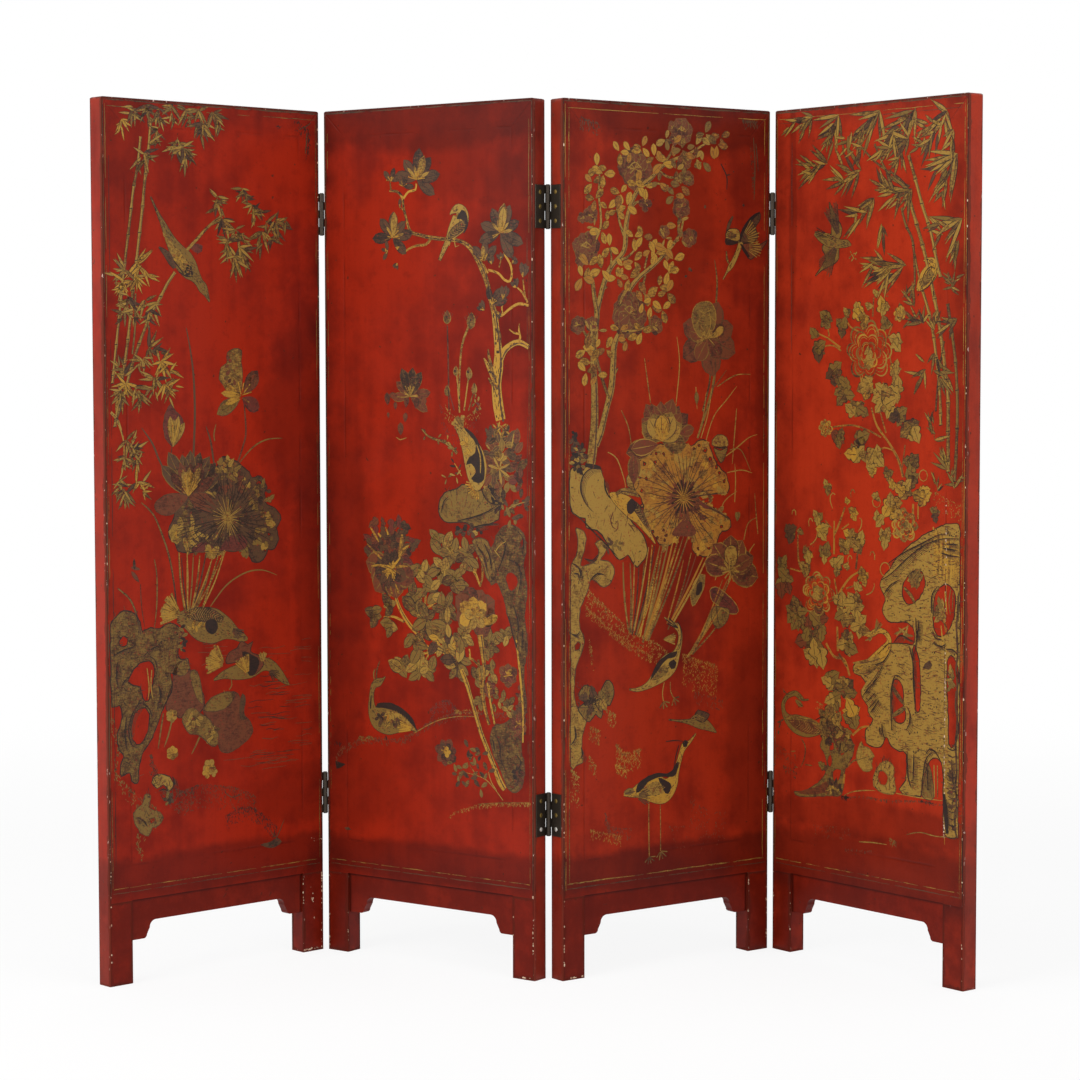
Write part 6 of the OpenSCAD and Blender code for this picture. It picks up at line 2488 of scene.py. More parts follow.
PANEL_3 = (Motif("shrub", (*(Branch(p, OCHRE, True, 6) for p in (((62, 906, 9), (66, 930, 9.5), (70, 970,
            8), (71, 1010, 7.5), (70, 1050, 6.5), (68, 1090, 6), (72, 1140, 6), (76, 1170, 5.4), (70, 1200,
            4), (66, 1226, 3.6), (62, 1240, 2)), ((76, 1172, 5), (84, 1200, 4.8), (94, 1228, 5), (108, 1252,
            4.6), (128, 1270, 4.2), (138, 1286, 4.6), (140, 1318, 5), (145, 1344, 4.2), (156, 1370, 4),
            (172, 1392, 4), (196, 1408, 3.6), (216, 1426, 3), (242, 1441, 2.6), (282, 1455, 2), (320, 1474,
            1.6), (352, 1492, 1)), ((72, 940, 8), (84, 962, 6.5), (96, 1000, 5.6), (108, 1040, 6.4), (112,
            1080, 6), (114, 1112, 6), (124, 1134, 4), (138, 1152, 2.6)), ((138, 1190, 4), (150, 1214, 4.4),
            (170, 1234, 3.8), (194, 1250, 3.8), (216, 1266, 3.2), (240, 1286, 2.6), (262, 1312, 2.2), (270,
            1336, 1.4)), ((104, 1020, 3), (94, 1040, 2.6), (82, 1070, 2.6), (72, 1100, 2.6), (56, 1126,
            2.4), (44, 1142, 1.4)), ((74, 1298, 1.6), (84, 1320, 2), (84, 1345, 1.8), (80, 1376, 1.6), (82,
            1416, 1.2)), ((136, 1306, 2.6), (126, 1330, 2), (120, 1352, 1.4)), ((106, 1246, 2), (108, 1270,
            1.6), (104, 1284, 1.2)), ((116, 1262, 2.4), (142, 1268, 1.8), (162, 1284, 1.2)), ((148, 1352,
            2.4), (166, 1366, 2), (186, 1362, 1.4)), ((142, 1212, 2.4), (130, 1196, 2.6), (126, 1184, 1.4)),
            ((184, 1238, 2), (178, 1212, 1.8), (190, 1196, 1.2)), ((214, 1422, 2), (236, 1412, 1.8), (262,
            1412, 1.2)), ((222, 1430, 2), (244, 1458, 1.8), (252, 1478, 1.2)), ((172, 1394, 2.2), (206,
            1400, 1.6), (236, 1396, 1)), ((112, 1060, 2.4), (122, 1074, 1)), ((88, 1210, 2), (98, 1216, 1)),
            ((66, 1110, 3), (62, 1150, 2)), ((182, 1250, 1.6), (190, 1278, 1.2)), ((128, 1140, 2), (160,
            1140, 1.6), (196, 1150, 1)))), Clusters(((76, 1424), (90, 1412), (66, 1396), (72, 1368), (100,
            1352), (86, 1314), (104, 1286), (126, 1452), (150, 1454), (176, 1462), (128, 1380), (142, 1358),
            (120, 1350), (204, 1446), (222, 1436), (158, 1304), (178, 1306), (196, 1282), (158, 1262), (134,
            1252), (120, 1232), (148, 1232), (206, 1276), (232, 1284), (248, 1266), (236, 1246), (214,
            1218), (232, 1208), (186, 1204), (196, 1184), (222, 1178), (178, 1190), (58, 1252), (44, 1232),
            (86, 1246), (72, 1108), (52, 1106), (96, 1108), (64, 1084), (52, 1068), (76, 1062), (126, 1142),
            (142, 1124), (176, 1138), (166, 1396), (184, 1392)), 3, 23, 0.62, (GOLD, GOLD, AMBER, GOLD),
            Shape.PETAL), Clusters(((254, 1426), (268, 1412), (264, 1398), (250, 1380), (246, 1472), (266,
            1462), (298, 1470), (320, 1492), (334, 1472), (356, 1488), (314, 1442), (300, 1448), (348,
            1474), (230, 1478), (214, 1402), (256, 1326)), 3, 21, 0.6, (OLIVE, OCHRE, AMBER), Shape.PETAL),
            )), Motif("maroon_blossoms", tuple(Bloom(u, z, r, n, k, 90, 360, MAROON, MAROON, OCHRE, 0.9,
            OLIVE) for u, z, r, n, k in ( (160, 1424, 38, 8, 3), (266, 1494, 26, 7, 3), (52, 1284, 30, 7,
            3), (148, 1170, 44, 9, 3), (62, 1340, 17, 6, 2), (266, 1360, 22, 6, 3), (226, 1316, 13, 5, 2),
            (284, 1306, 20, 6, 2), (272, 1440, 18, 6, 2), (282, 1410, 15, 6, 2), (34, 1150, 18, 6, 2), (66,
            1150, 17, 6, 2), (206, 1150, 18, 6, 2), (246, 1500, 12, 5, 1), (184, 1364, 15, 4, 1), (40, 1262,
            14, 5, 1), (250, 1480, 14, 5, 1), (44, 1335, 11, 5, 1))) + tuple( Lines(((((u - r * 0.4), z),
            (u, z + r * 0.3), (u + r * 0.4, z + 1)),), 2.2, OCHRE) for u, z, r in ( (160, 1424, 38), (148,
            1170, 44), (52, 1284, 30), (266, 1494, 26))) + ( Clusters(((70, 1320), (60, 1140), (78, 1140),
            (196, 1150), (262, 1336), (228, 1304), (264, 1302)), 3, 18, 0.34, (OCHRE,)),), "ink"),
    Motif("flying_crane", (Wash(((402, 1300), (408, 1322), (426, 1343), (448, 1356), (451, 1344), (440,
            1328), (446, 1314), (440, 1304), (424, 1300)), UMBER, INK), Wash(((404, 1298), (426, 1300),
            (446, 1296), (468, 1306), (452, 1286), (428, 1270), (414, 1282)), MAROON, INK), Branch(((402,
            1300, 1.4), (410, 1322, 3), (430, 1344, 3.4), (450, 1356, 1)), INK, False, 0, Layer.DETAIL),
            Branch(((404, 1298, 1.4), (416, 1284, 3), (424, 1274, 2.4)), INK, False, 0, Layer.DETAIL),
            Fan(404, 1304, 44, 26, 70, 9, 1.6, OCHRE, 0.4, Layer.LINE), Fan(408, 1294, 44, -8, 50, 7, 1.6,
            OCHRE, 0.4, Layer.LINE), Wash(((402, 1304), (400, 1322), (386, 1325), (372, 1321), (369, 1308),
            (384, 1303)), OCHRE, INK, (), Layer.BODY), Wash(((368, 1306), (386, 1304), (400, 1300), (384,
            1295), (370, 1295)), INK, None, (), Layer.DETAIL), Branch(((372, 1320, 1.6), (378, 1334, 3),
            (386, 1347, 1)), UMBER), Fan(400, 1312, 30, 180, 40, 6, 1.2, UMBER, 0.2, Layer.LINE),
            Bird(((405, 1301, 5), (398, 1284, 4), (388, 1266, 4.4), (380, 1256, 4.6), (372, 1246, 1.6),
            (363, 1233, 0.5)), (), (380, 1257), (), OCHRE, UMBER, 8), Branch(((371, 1284, 0.6), (372, 1270,
            2), (376, 1262, 1)), OCHRE),)), Motif("brown_lotus", (Bloom(328, 1128, 66, 7, 1, 90, 330,
            MAROON, MAROON, OCHRE, 0.66, UMBER), Bloom(328, 1128, 48, 5, 1, 60, 360, MAROON, MAROON, OCHRE,
            0.7, OLIVE), Wash(((320, 1126), (298, 1140), (290, 1164), (298, 1184), (318, 1193), (336, 1190),
            (346, 1170), (342, 1146)), OLIVE, OCHRE, (), Layer.DETAIL), Lines((((318, 1128), (308, 1150),
            (316, 1180)), ((322, 1128), (334, 1152), (328, 1182)), ((300, 1150), (312, 1166), (330, 1168),
            (344, 1158)), ((306, 1178), (320, 1172), (336, 1180))), 1.5, OCHRE), Bloom(340, 1128, 30, 1, 1,
            40, 1, OCHRE, OCHRE, OCHRE, 0.4, GOLD), *(Branch(p, OLIVE, False, 3, Layer.WASH)
            for p in (((344, 1096, 3), (342, 1050, 3), (326, 1000, 2.6), (304, 948, 2)), ((334, 1094, 2),
            (332, 1048, 2), (316, 996, 2)), ((347, 1190, 2), (349, 1230, 1.6), (343, 1268, 0.6)))),
            Lines((((304, 950), (318, 990), (324, 1030)), ((312, 948), (328, 990), (338, 1040))), 2.2,
            OCHRE, Layer.BODY),), "ink"), Motif("gold_lotus", (Bloom(222, 944, 80, 6, 1, 90, 96, MAROON,
            MAROON, GOLD, 0.46, OLIVE), Bloom(222, 944, 66, 5, 1, 90, 150, MAROON, MAROON, GOLD, 0.52,
            OLIVE), Bloom(222, 944, 56, 5, 1, 90, 190, OLIVE, MAROON, GOLD, 0.7, OCHRE), Bloom(222, 944, 50,
            4, 1, 90, 130, OCHRE, OCHRE, GOLD, 0.7, UMBER), Bloom(222, 944, 48, 1, 1, 90, 1, GOLD, OCHRE,
            OCHRE, 0.7, UMBER), Bloom(214, 938, 70, 1, 1, 190, 1, MAROON, PLUM, PLUM, 0.5, OCHRE),
            Bloom(262, 956, 34, 1, 1, 20, 1, MAROON, PLUM, PLUM, 0.6, OLIVE), Bloom(158, 868, 50, 1, 1, 88,
            1, MAROON, PLUM, PLUM, 0.5, OLIVE), Wash(((338, 936), (344, 950), (358, 954), (372, 948), (376,
            934), (358, 928)), OCHRE, UMBER, (), Layer.BODY), Wash(((342, 930), (358, 924), (374, 930),
            (368, 912), (360, 902), (350, 912)), OLIVE, INK, (), Layer.BODY), Clusters(((346, 942), (354,
            946), (362, 946), (368, 940), (356, 938), (349, 937)), 1, 4, 0.8, (PLUM,), Shape.DOT),
            Lines((((344, 932), (358, 930), (372, 932)),), 2.6, INK),)), Motif("lotus_leaf", (Wash(((144,
            866), (142, 880), (152, 892), (164, 888), (170, 876), (166, 862), (152, 860)), OCHRE, UMBER),
            LotusLeaf((272, 842), ((165, 902), (180, 916), (198, 922), (212, 938), (240, 938), (258, 947),
            (276, 941), (290, 934), (310, 945), (330, 938), (338, 920), (346, 906), (356, 894), (370, 882),
            (377, 864), (376, 848), (340, 846), (304, 840), (336, 824), (368, 808), (383, 796), (378, 780),
            (362, 778), (352, 764), (342, 742), (326, 734), (304, 738), (291, 752), (294, 768), (280, 776),
            (262, 774), (248, 762), (236, 757), (216, 760), (204, 776), (190, 792), (174, 802), (180, 830),
            (170, 850), (158, 862), (160, 886)), ((182, 905, 4), (195, 905, 3.4), (207, 906, 4), (209, 922,
            3), (226, 921, 3), (170, 893, 3), (180, 892, 2.6), (170, 881, 3), (186, 878, 3), (177, 857,
            3.6), (176, 830, 3), (183, 818, 3), (200, 783, 4), (226, 785, 3), (232, 776, 3), (229, 767,
            2.6), (246, 933, 2.6), (262, 931, 3), (284, 927, 4), (297, 929, 3), (308, 934, 2.4), (322, 926,
            4.4), (334, 909, 4.4), (349, 895, 3), (356, 884, 3), (367, 870, 3), (368, 858, 3), (361, 786,
            3), (306, 749, 3), (330, 749, 3), (212, 772, 2.6)), AMBER, MAROON, 36, 20, GOLD, UMBER, (OCHRE,
            GOLD, AMBER, OCHRE)), Foliage(264, 880, 60, 34, 26, 30, 0.7, (AMBER, AMBER, OCHRE), Shape.PETAL,
            Layer.BODY, AMBER), Foliage(290, 812, 46, 18, 12, 26, 0.7, (AMBER, MAROON), Shape.PETAL,
            Layer.BODY, AMBER), Wash(((246, 776), (258, 792), (276, 800), (296, 788), (300, 776), (284,
            772), (262, 774)), MAROON, PLUM, (), Layer.DETAIL), Wash(((304, 838), (334, 822), (366, 806),
            (378, 800), (350, 816), (320, 822)), PLUM, UMBER, (), Layer.DETAIL), Fan(272, 842, 30, 90, 360,
            18, 3.4, INK, 0.35, Layer.DETAIL),)), Motif("rock", (Rock(((18, 898), (40, 896), (62, 903), (82,
            900), (90, 880), (98, 856), (112, 842), (130, 826), (150, 806), (166, 792), (182, 774), (189,
            752), (182, 736), (166, 722), (154, 732), (144, 744), (126, 736), (106, 756), (92, 776), (76,
            790), (52, 796), (50, 812), (34, 816), (18, 832)), (), (((82, 900), (60, 898), (44, 884), (40,
            862), (50, 840), (66, 824)), ((18, 826), (40, 812), (64, 792), (90, 770), (120, 744)), ((92,
            880), (94, 862), (104, 846))), OCHRE, 46, 2.2, INK, 0.3), Wash(((50, 900), (44, 880), (46, 858),
            (58, 836), (72, 824), (96, 830), (104, 846), (96, 866), (88, 886), (78, 902)), OCHRE, None, (),
            Layer.BODY, 1.4, 0.1), Foliage(36, 918, 16, 26, 26, 16, 0.6, (INK, UMBER, OLIVE, OCHRE),
            Shape.PETAL), Foliage(26, 950, 8, 14, 8, 12, 0.6, (UMBER, INK), Shape.PETAL), Foliage(110, 762,
            24, 12, 10, 18, 0.4, (UMBER, OLIVE, INK), Shape.PETAL), Branch(((50, 906, 3), (70, 902, 4), (84,
            899, 2)), INK), Rock(((30, 796), (46, 790), (52, 776), (46, 750), (40, 730), (60, 732), (76,
            740), (80, 756), (72, 768), (86, 774), (98, 764), (96, 752), (84, 738), (100, 736), (114, 720),
            (108, 698), (90, 690), (74, 700), (62, 704), (56, 686), (46, 668), (38, 650), (38, 620), (46,
            606), (46, 588), (36, 566), (28, 545), (26, 500), (34, 482), (60, 478), (52, 456), (44, 430),
            (42, 400), (44, 384), (30, 378), (18, 380), (18, 480), (18, 600), (18, 700), (20, 735), (30,
            746), (34, 770)), (((27, 590), (33, 598), (40, 592), (36, 582), (28, 582)),), (((20, 735), (34,
            728), (40, 712), (34, 700)), ((62, 704), (76, 714), (92, 712)), ((18, 612), (32, 608), (38,
            616)), ((18, 416), (28, 428), (26, 450)), ((40, 390), (44, 400), (40, 410)), ((24, 716), (34,
            716), (36, 706)), ((48, 742), (66, 738), (78, 748))), OCHRE, 90, 1.6, UMBER, 0.5), Rock(((36,
            506), (48, 519), (66, 514), (78, 500), (96, 524), (110, 518), (113, 498), (104, 480), (92, 480),
            (84, 458), (72, 466), (60, 454), (46, 462), (34, 480), (50, 488), (40, 496)), (), (((78, 500),
            (70, 490), (76, 478)), ((60, 496), (70, 490), (84, 494)), ((76, 478), (84, 470)), ((56, 484),
            (66, 486))), OLIVE, 46, 1.8), Foliage(72, 490, 30, 22, 10, 22, 0.8, (OLIVE, OCHRE, UMBER),
            Shape.PETAL), Bird(((207, 762, 0.8), (190, 784, 5), (172, 806, 10), (156, 822, 15), (140, 834,
            15), (126, 842, 12), (112, 850, 7), (104, 854, 1)), ((196, 784, 3), (180, 806, 6), (166, 826,
            8), (154, 836, 6)), (122, 848), (), GOLD, UMBER, 24), Wash(((144, 838), (152, 844), (164, 836),
            (160, 822), (150, 816), (142, 824)), INK, None, (), Layer.LINE), Lines((((112, 822), (106, 806),
            (112, 794), (120, 790)), ((116, 800), (122, 806), (122, 792), (114, 786)), ((146, 800), (154,
            792), (160, 784)), ((150, 796), (162, 794), (166, 788))), 2.2, MAROON), Branch(((118, 852, 3),
            (132, 858, 4), (148, 856, 6), (162, 852, 4), (170, 846, 1)), OCHRE),)), Motif("stems",
        (Reeds((158, 604), ((150, 730), (160, 738), (170, 724), (182, 728), (192, 756), (206, 758), (218,
            758))), Reeds((186, 592), ((226, 762), (238, 764), (250, 772), (262, 774), (272, 772), (284,
            774)), 4.4, (OCHRE, OLIVE, AMBER, GOLD)), Reeds((240, 612), ((272, 730), (290, 742), (302, 738),
            (318, 732), (334, 742)), 4.0, (AMBER, OCHRE, MAROON)), Reeds((290, 556), ((352, 642), (362,
            640), (376, 690), (386, 696), (364, 690), (340, 640), (372, 626)), 3.8, (OCHRE, AMBER, OLIVE)),
            Reeds((148, 612), ((134, 732), (138, 680))), Reeds((172, 600), ((205, 700), (214, 740), (200,
            760)), 3.4, (GOLD, OCHRE), 6, True), Lines((((196, 1012), (190, 1046), (182, 1092)), ((254,
            1008), (262, 1080), (256, 1130)), ((322, 938), (342, 986), (372, 1016), (396, 1040)), ((350,
            1040), (392, 1060), (430, 1062)), ((366, 912), (392, 926), (424, 946), (446, 952)), ((374, 884),
            (408, 888), (434, 882)), ((130, 1000), (146, 970), (154, 930)), ((100, 927), (120, 915), (136,
            880), (140, 862)), ((392, 830), (394, 870), (392, 900)), ((352, 790), (366, 830), (398, 850)),
            ((414, 760), (424, 790), (444, 800)), ((396, 1000), (392, 960), (386, 900)), ((346, 690), (360,
            720)), ((300, 1040), (303, 1000)), ((440, 752), (430, 742), (424, 728)), ((448, 770), (442,
            820), (440, 845))), 2.2, OCHRE, Layer.WASH), Lines((((380, 925), (406, 925), (430, 886)), ((344,
            1040), (372, 1070))), 1.8, OLIVE, Layer.WASH), Bloom(302, 1008, 22, 1, 1, 88, 1, OLIVE, OLIVE,
            OLIVE, 0.4, UMBER), Bloom(398, 795, 20, 2, 1, 90, 40, OLIVE, OLIVE, OLIVE, 0.4, UMBER),
            Wash(((293, 646), (289, 668), (298, 690), (312, 702), (322, 700), (320, 680), (306, 656)),
            OLIVE, OCHRE), Wash(((302, 664), (304, 684), (316, 688), (314, 672)), INK, None, (),
            Layer.BODY), Wash(((334, 672), (346, 678), (370, 666), (394, 646), (402, 630), (386, 626), (360,
            640), (340, 652)), PLUM, OCHRE), Wash(((342, 640), (360, 640), (380, 634), (374, 614), (358,
            602), (346, 606), (338, 620)), OLIVE, UMBER), Lines((((350, 640), (352, 620), (358, 606)),
            ((366, 636), (362, 616)), ((344, 668), (370, 652), (390, 636))), 1.4, UMBER), Bloom(380, 706,
            66, 6, 1, 92, 210, MAROON, MAROON, OCHRE, 0.7, OCHRE), Bloom(380, 706, 56, 4, 1, 10, 60, MAROON,
            MAROON, OCHRE, 0.6, OLIVE), Wash(((384, 714), (370, 724), (368, 742), (380, 752), (394, 748),
            (399, 730), (394, 716)), OCHRE, INK, (), Layer.DETAIL), Fan(384, 706, 20, -90, 190, 6, 3,
            OCHRE), Fan(384, 706, 30, 90, 190, 4, 2, OCHRE, 0.2, Layer.LINE),)), Motif("heron_and_crane",
        (Bird(((148, 505, 0.8), (166, 503, 3), (188, 508, 5.5), (206, 518, 11), (226, 534, 19), (243, 548,
            18), (256, 562, 8), (264, 582, 4.4), (264, 600, 4), (257, 611, 5.4), (246, 616, 2.4), (228, 629,
            0.6)), ((200, 518, 2), (216, 528, 8), (234, 538, 8)), (257, 612), (((228, 512), (224, 494),
            (226, 478)), ((242, 512), (243, 494), (250, 482))), OCHRE, OLIVE, 40), Wash(((197, 520), (206,
            540), (222, 556), (242, 564), (258, 566), (252, 556), (236, 554), (222, 544), (208, 528)), INK,
            None, (), Layer.DETAIL), Wash(((238, 546), (250, 552), (256, 546), (252, 536), (244, 534)), INK,
            None, (), Layer.DETAIL), Fan(226, 478, 14, -70, 150, 4, 2.6, OLIVE), Fan(250, 482, 14, -50, 150,
            4, 2.6, OLIVE), Fan(262, 606, 32, 148, 30, 3, 2.2, INK), Fan(224, 590, 30, -2, 44, 6, 2.4,
            OCHRE, 0.1), Lines((((258, 620), (266, 606), (266, 580), (260, 568)),), 2.2, INK), Bird(((136,
            318, 2.4), (152, 318, 6), (174, 322, 14), (200, 320, 21), (226, 318, 24), (244, 327, 15), (254,
            346, 7.5), (262, 366, 4.8), (269, 385, 4.8), (277, 396, 6.4), (286, 399, 3), (302, 414, 0.6)),
            ((170, 312, 3), (192, 320, 10), (214, 322, 12), (228, 318, 6)), (277, 397), (((193, 300), (193,
            250), (194, 200)), ((219, 300), (220, 250), (220, 208))), GOLD, OCHRE, 60), Wash(((164, 318),
            (166, 332), (186, 344), (210, 350), (240, 348), (256, 364), (262, 366), (254, 342), (240, 340),
            (214, 342), (190, 334), (176, 322)), INK, None, (), Layer.DETAIL), Wash(((214, 340), (230, 336),
            (245, 324), (238, 310), (230, 312), (222, 326)), INK, None, (), Layer.DETAIL), Wash(((270, 400),
            (276, 404), (284, 400), (280, 392), (272, 392)), INK, None, (), Layer.LINE), Branch(((137, 320,
            3), (148, 322, 6), (158, 322, 4)), OLIVE), Lines((((232, 405), (254, 405), (272, 402)), ((262,
            396), (256, 380), (250, 356))), 2.0, INK), Fan(160, 312, 34, -6, 60, 8, 1.6, UMBER, 0.3,
            Layer.LINE), Fan(194, 200, 14, -70, 170, 5, 2, OLIVE), Fan(220, 208, 16, -70, 150, 5, 2, OLIVE),
            Bird(((238, 444, 0.5), (262, 440, 1.4), (284, 437, 4), (304, 434, 9), (324, 428, 9), (338, 420,
            5), (350, 412, 0.6)), ((290, 440, 3), (306, 444, 6), (322, 436, 5)), (280, 437), (), OLIVE,
            UMBER, 16), Wash(((298, 446), (306, 456), (320, 452), (334, 446), (322, 434), (306, 436)),
            UMBER, INK, (), Layer.BODY),)), Motif("moss", (Moss(((54, 688), (84, 664), (120, 634), (160,
            606), (220, 578), (236, 560)), 40, 380, OCHRE, 2.6), Moss(((54, 655), (100, 620), (150, 586),
            (200, 560)), 14, 200, AMBER, 2.6), Moss(((60, 600), (66, 560)), 20, 26, OCHRE, 2.2), Moss(((272,
            560), (310, 546), (350, 536)), 60, 300, AMBER, 2.6), Moss(((300, 490), (350, 474), (362, 470)),
            20, 60, MAROON, 2.8), Moss(((120, 408), (140, 392), (172, 396)), 34, 190, AMBER, 3.2),
            Moss(((120, 372), (140, 362)), 16, 50, GOLD, 3.0), Moss(((95, 288), (110, 262), (150, 256)), 22,
            90, MAROON, 2.8), Moss(((62, 262), (90, 254), (130, 244)), 18, 100, AMBER, 2.4), Moss(((20,
            372), (34, 360)), 56, 80, OCHRE, 2.8), Moss(((60, 392), (72, 376)), 26, 50, OCHRE, 2.4),
            Moss(((100, 472), (116, 462)), 24, 60, OCHRE, 2.6), Moss(((60, 446), (80, 436)), 26, 80, AMBER,
            2.6), Moss(((290, 300), (330, 270), (370, 264)), 50, 80, MAROON, 2.4), Moss(((240, 250), (360,
            240)), 50, 40, MAROON, 2.2), Moss(((34, 530), (34, 480)), 26, 30, PLUM, 2.4), Moss(((430, 1470),
            (436, 1400)), 20, 30, UMBER, 3.0), Moss(((410, 1520), (440, 1518)), 14, 40, UMBER, 4.0),
            Moss(((40, 1508), (80, 1500)), 22, 50, UMBER, 3.4), Lines((((357, 1440), (368, 1424), (372,
            1412), (371, 1394)), ((371, 1420), (380, 1422)), ((386, 1428), (388, 1426))), 2.6, INK),
            Clusters(((321, 1364), (412, 1366), (286, 1252), (278, 1238), (290, 1247)), 1, 7, 0.8, (UMBER,),
            Shape.DOT), Lines((((434, 1490), (438, 1440), (436, 1378)), ((440, 1480), (446, 1430))), 2.6,
            UMBER, Layer.WASH),), "ink"),)



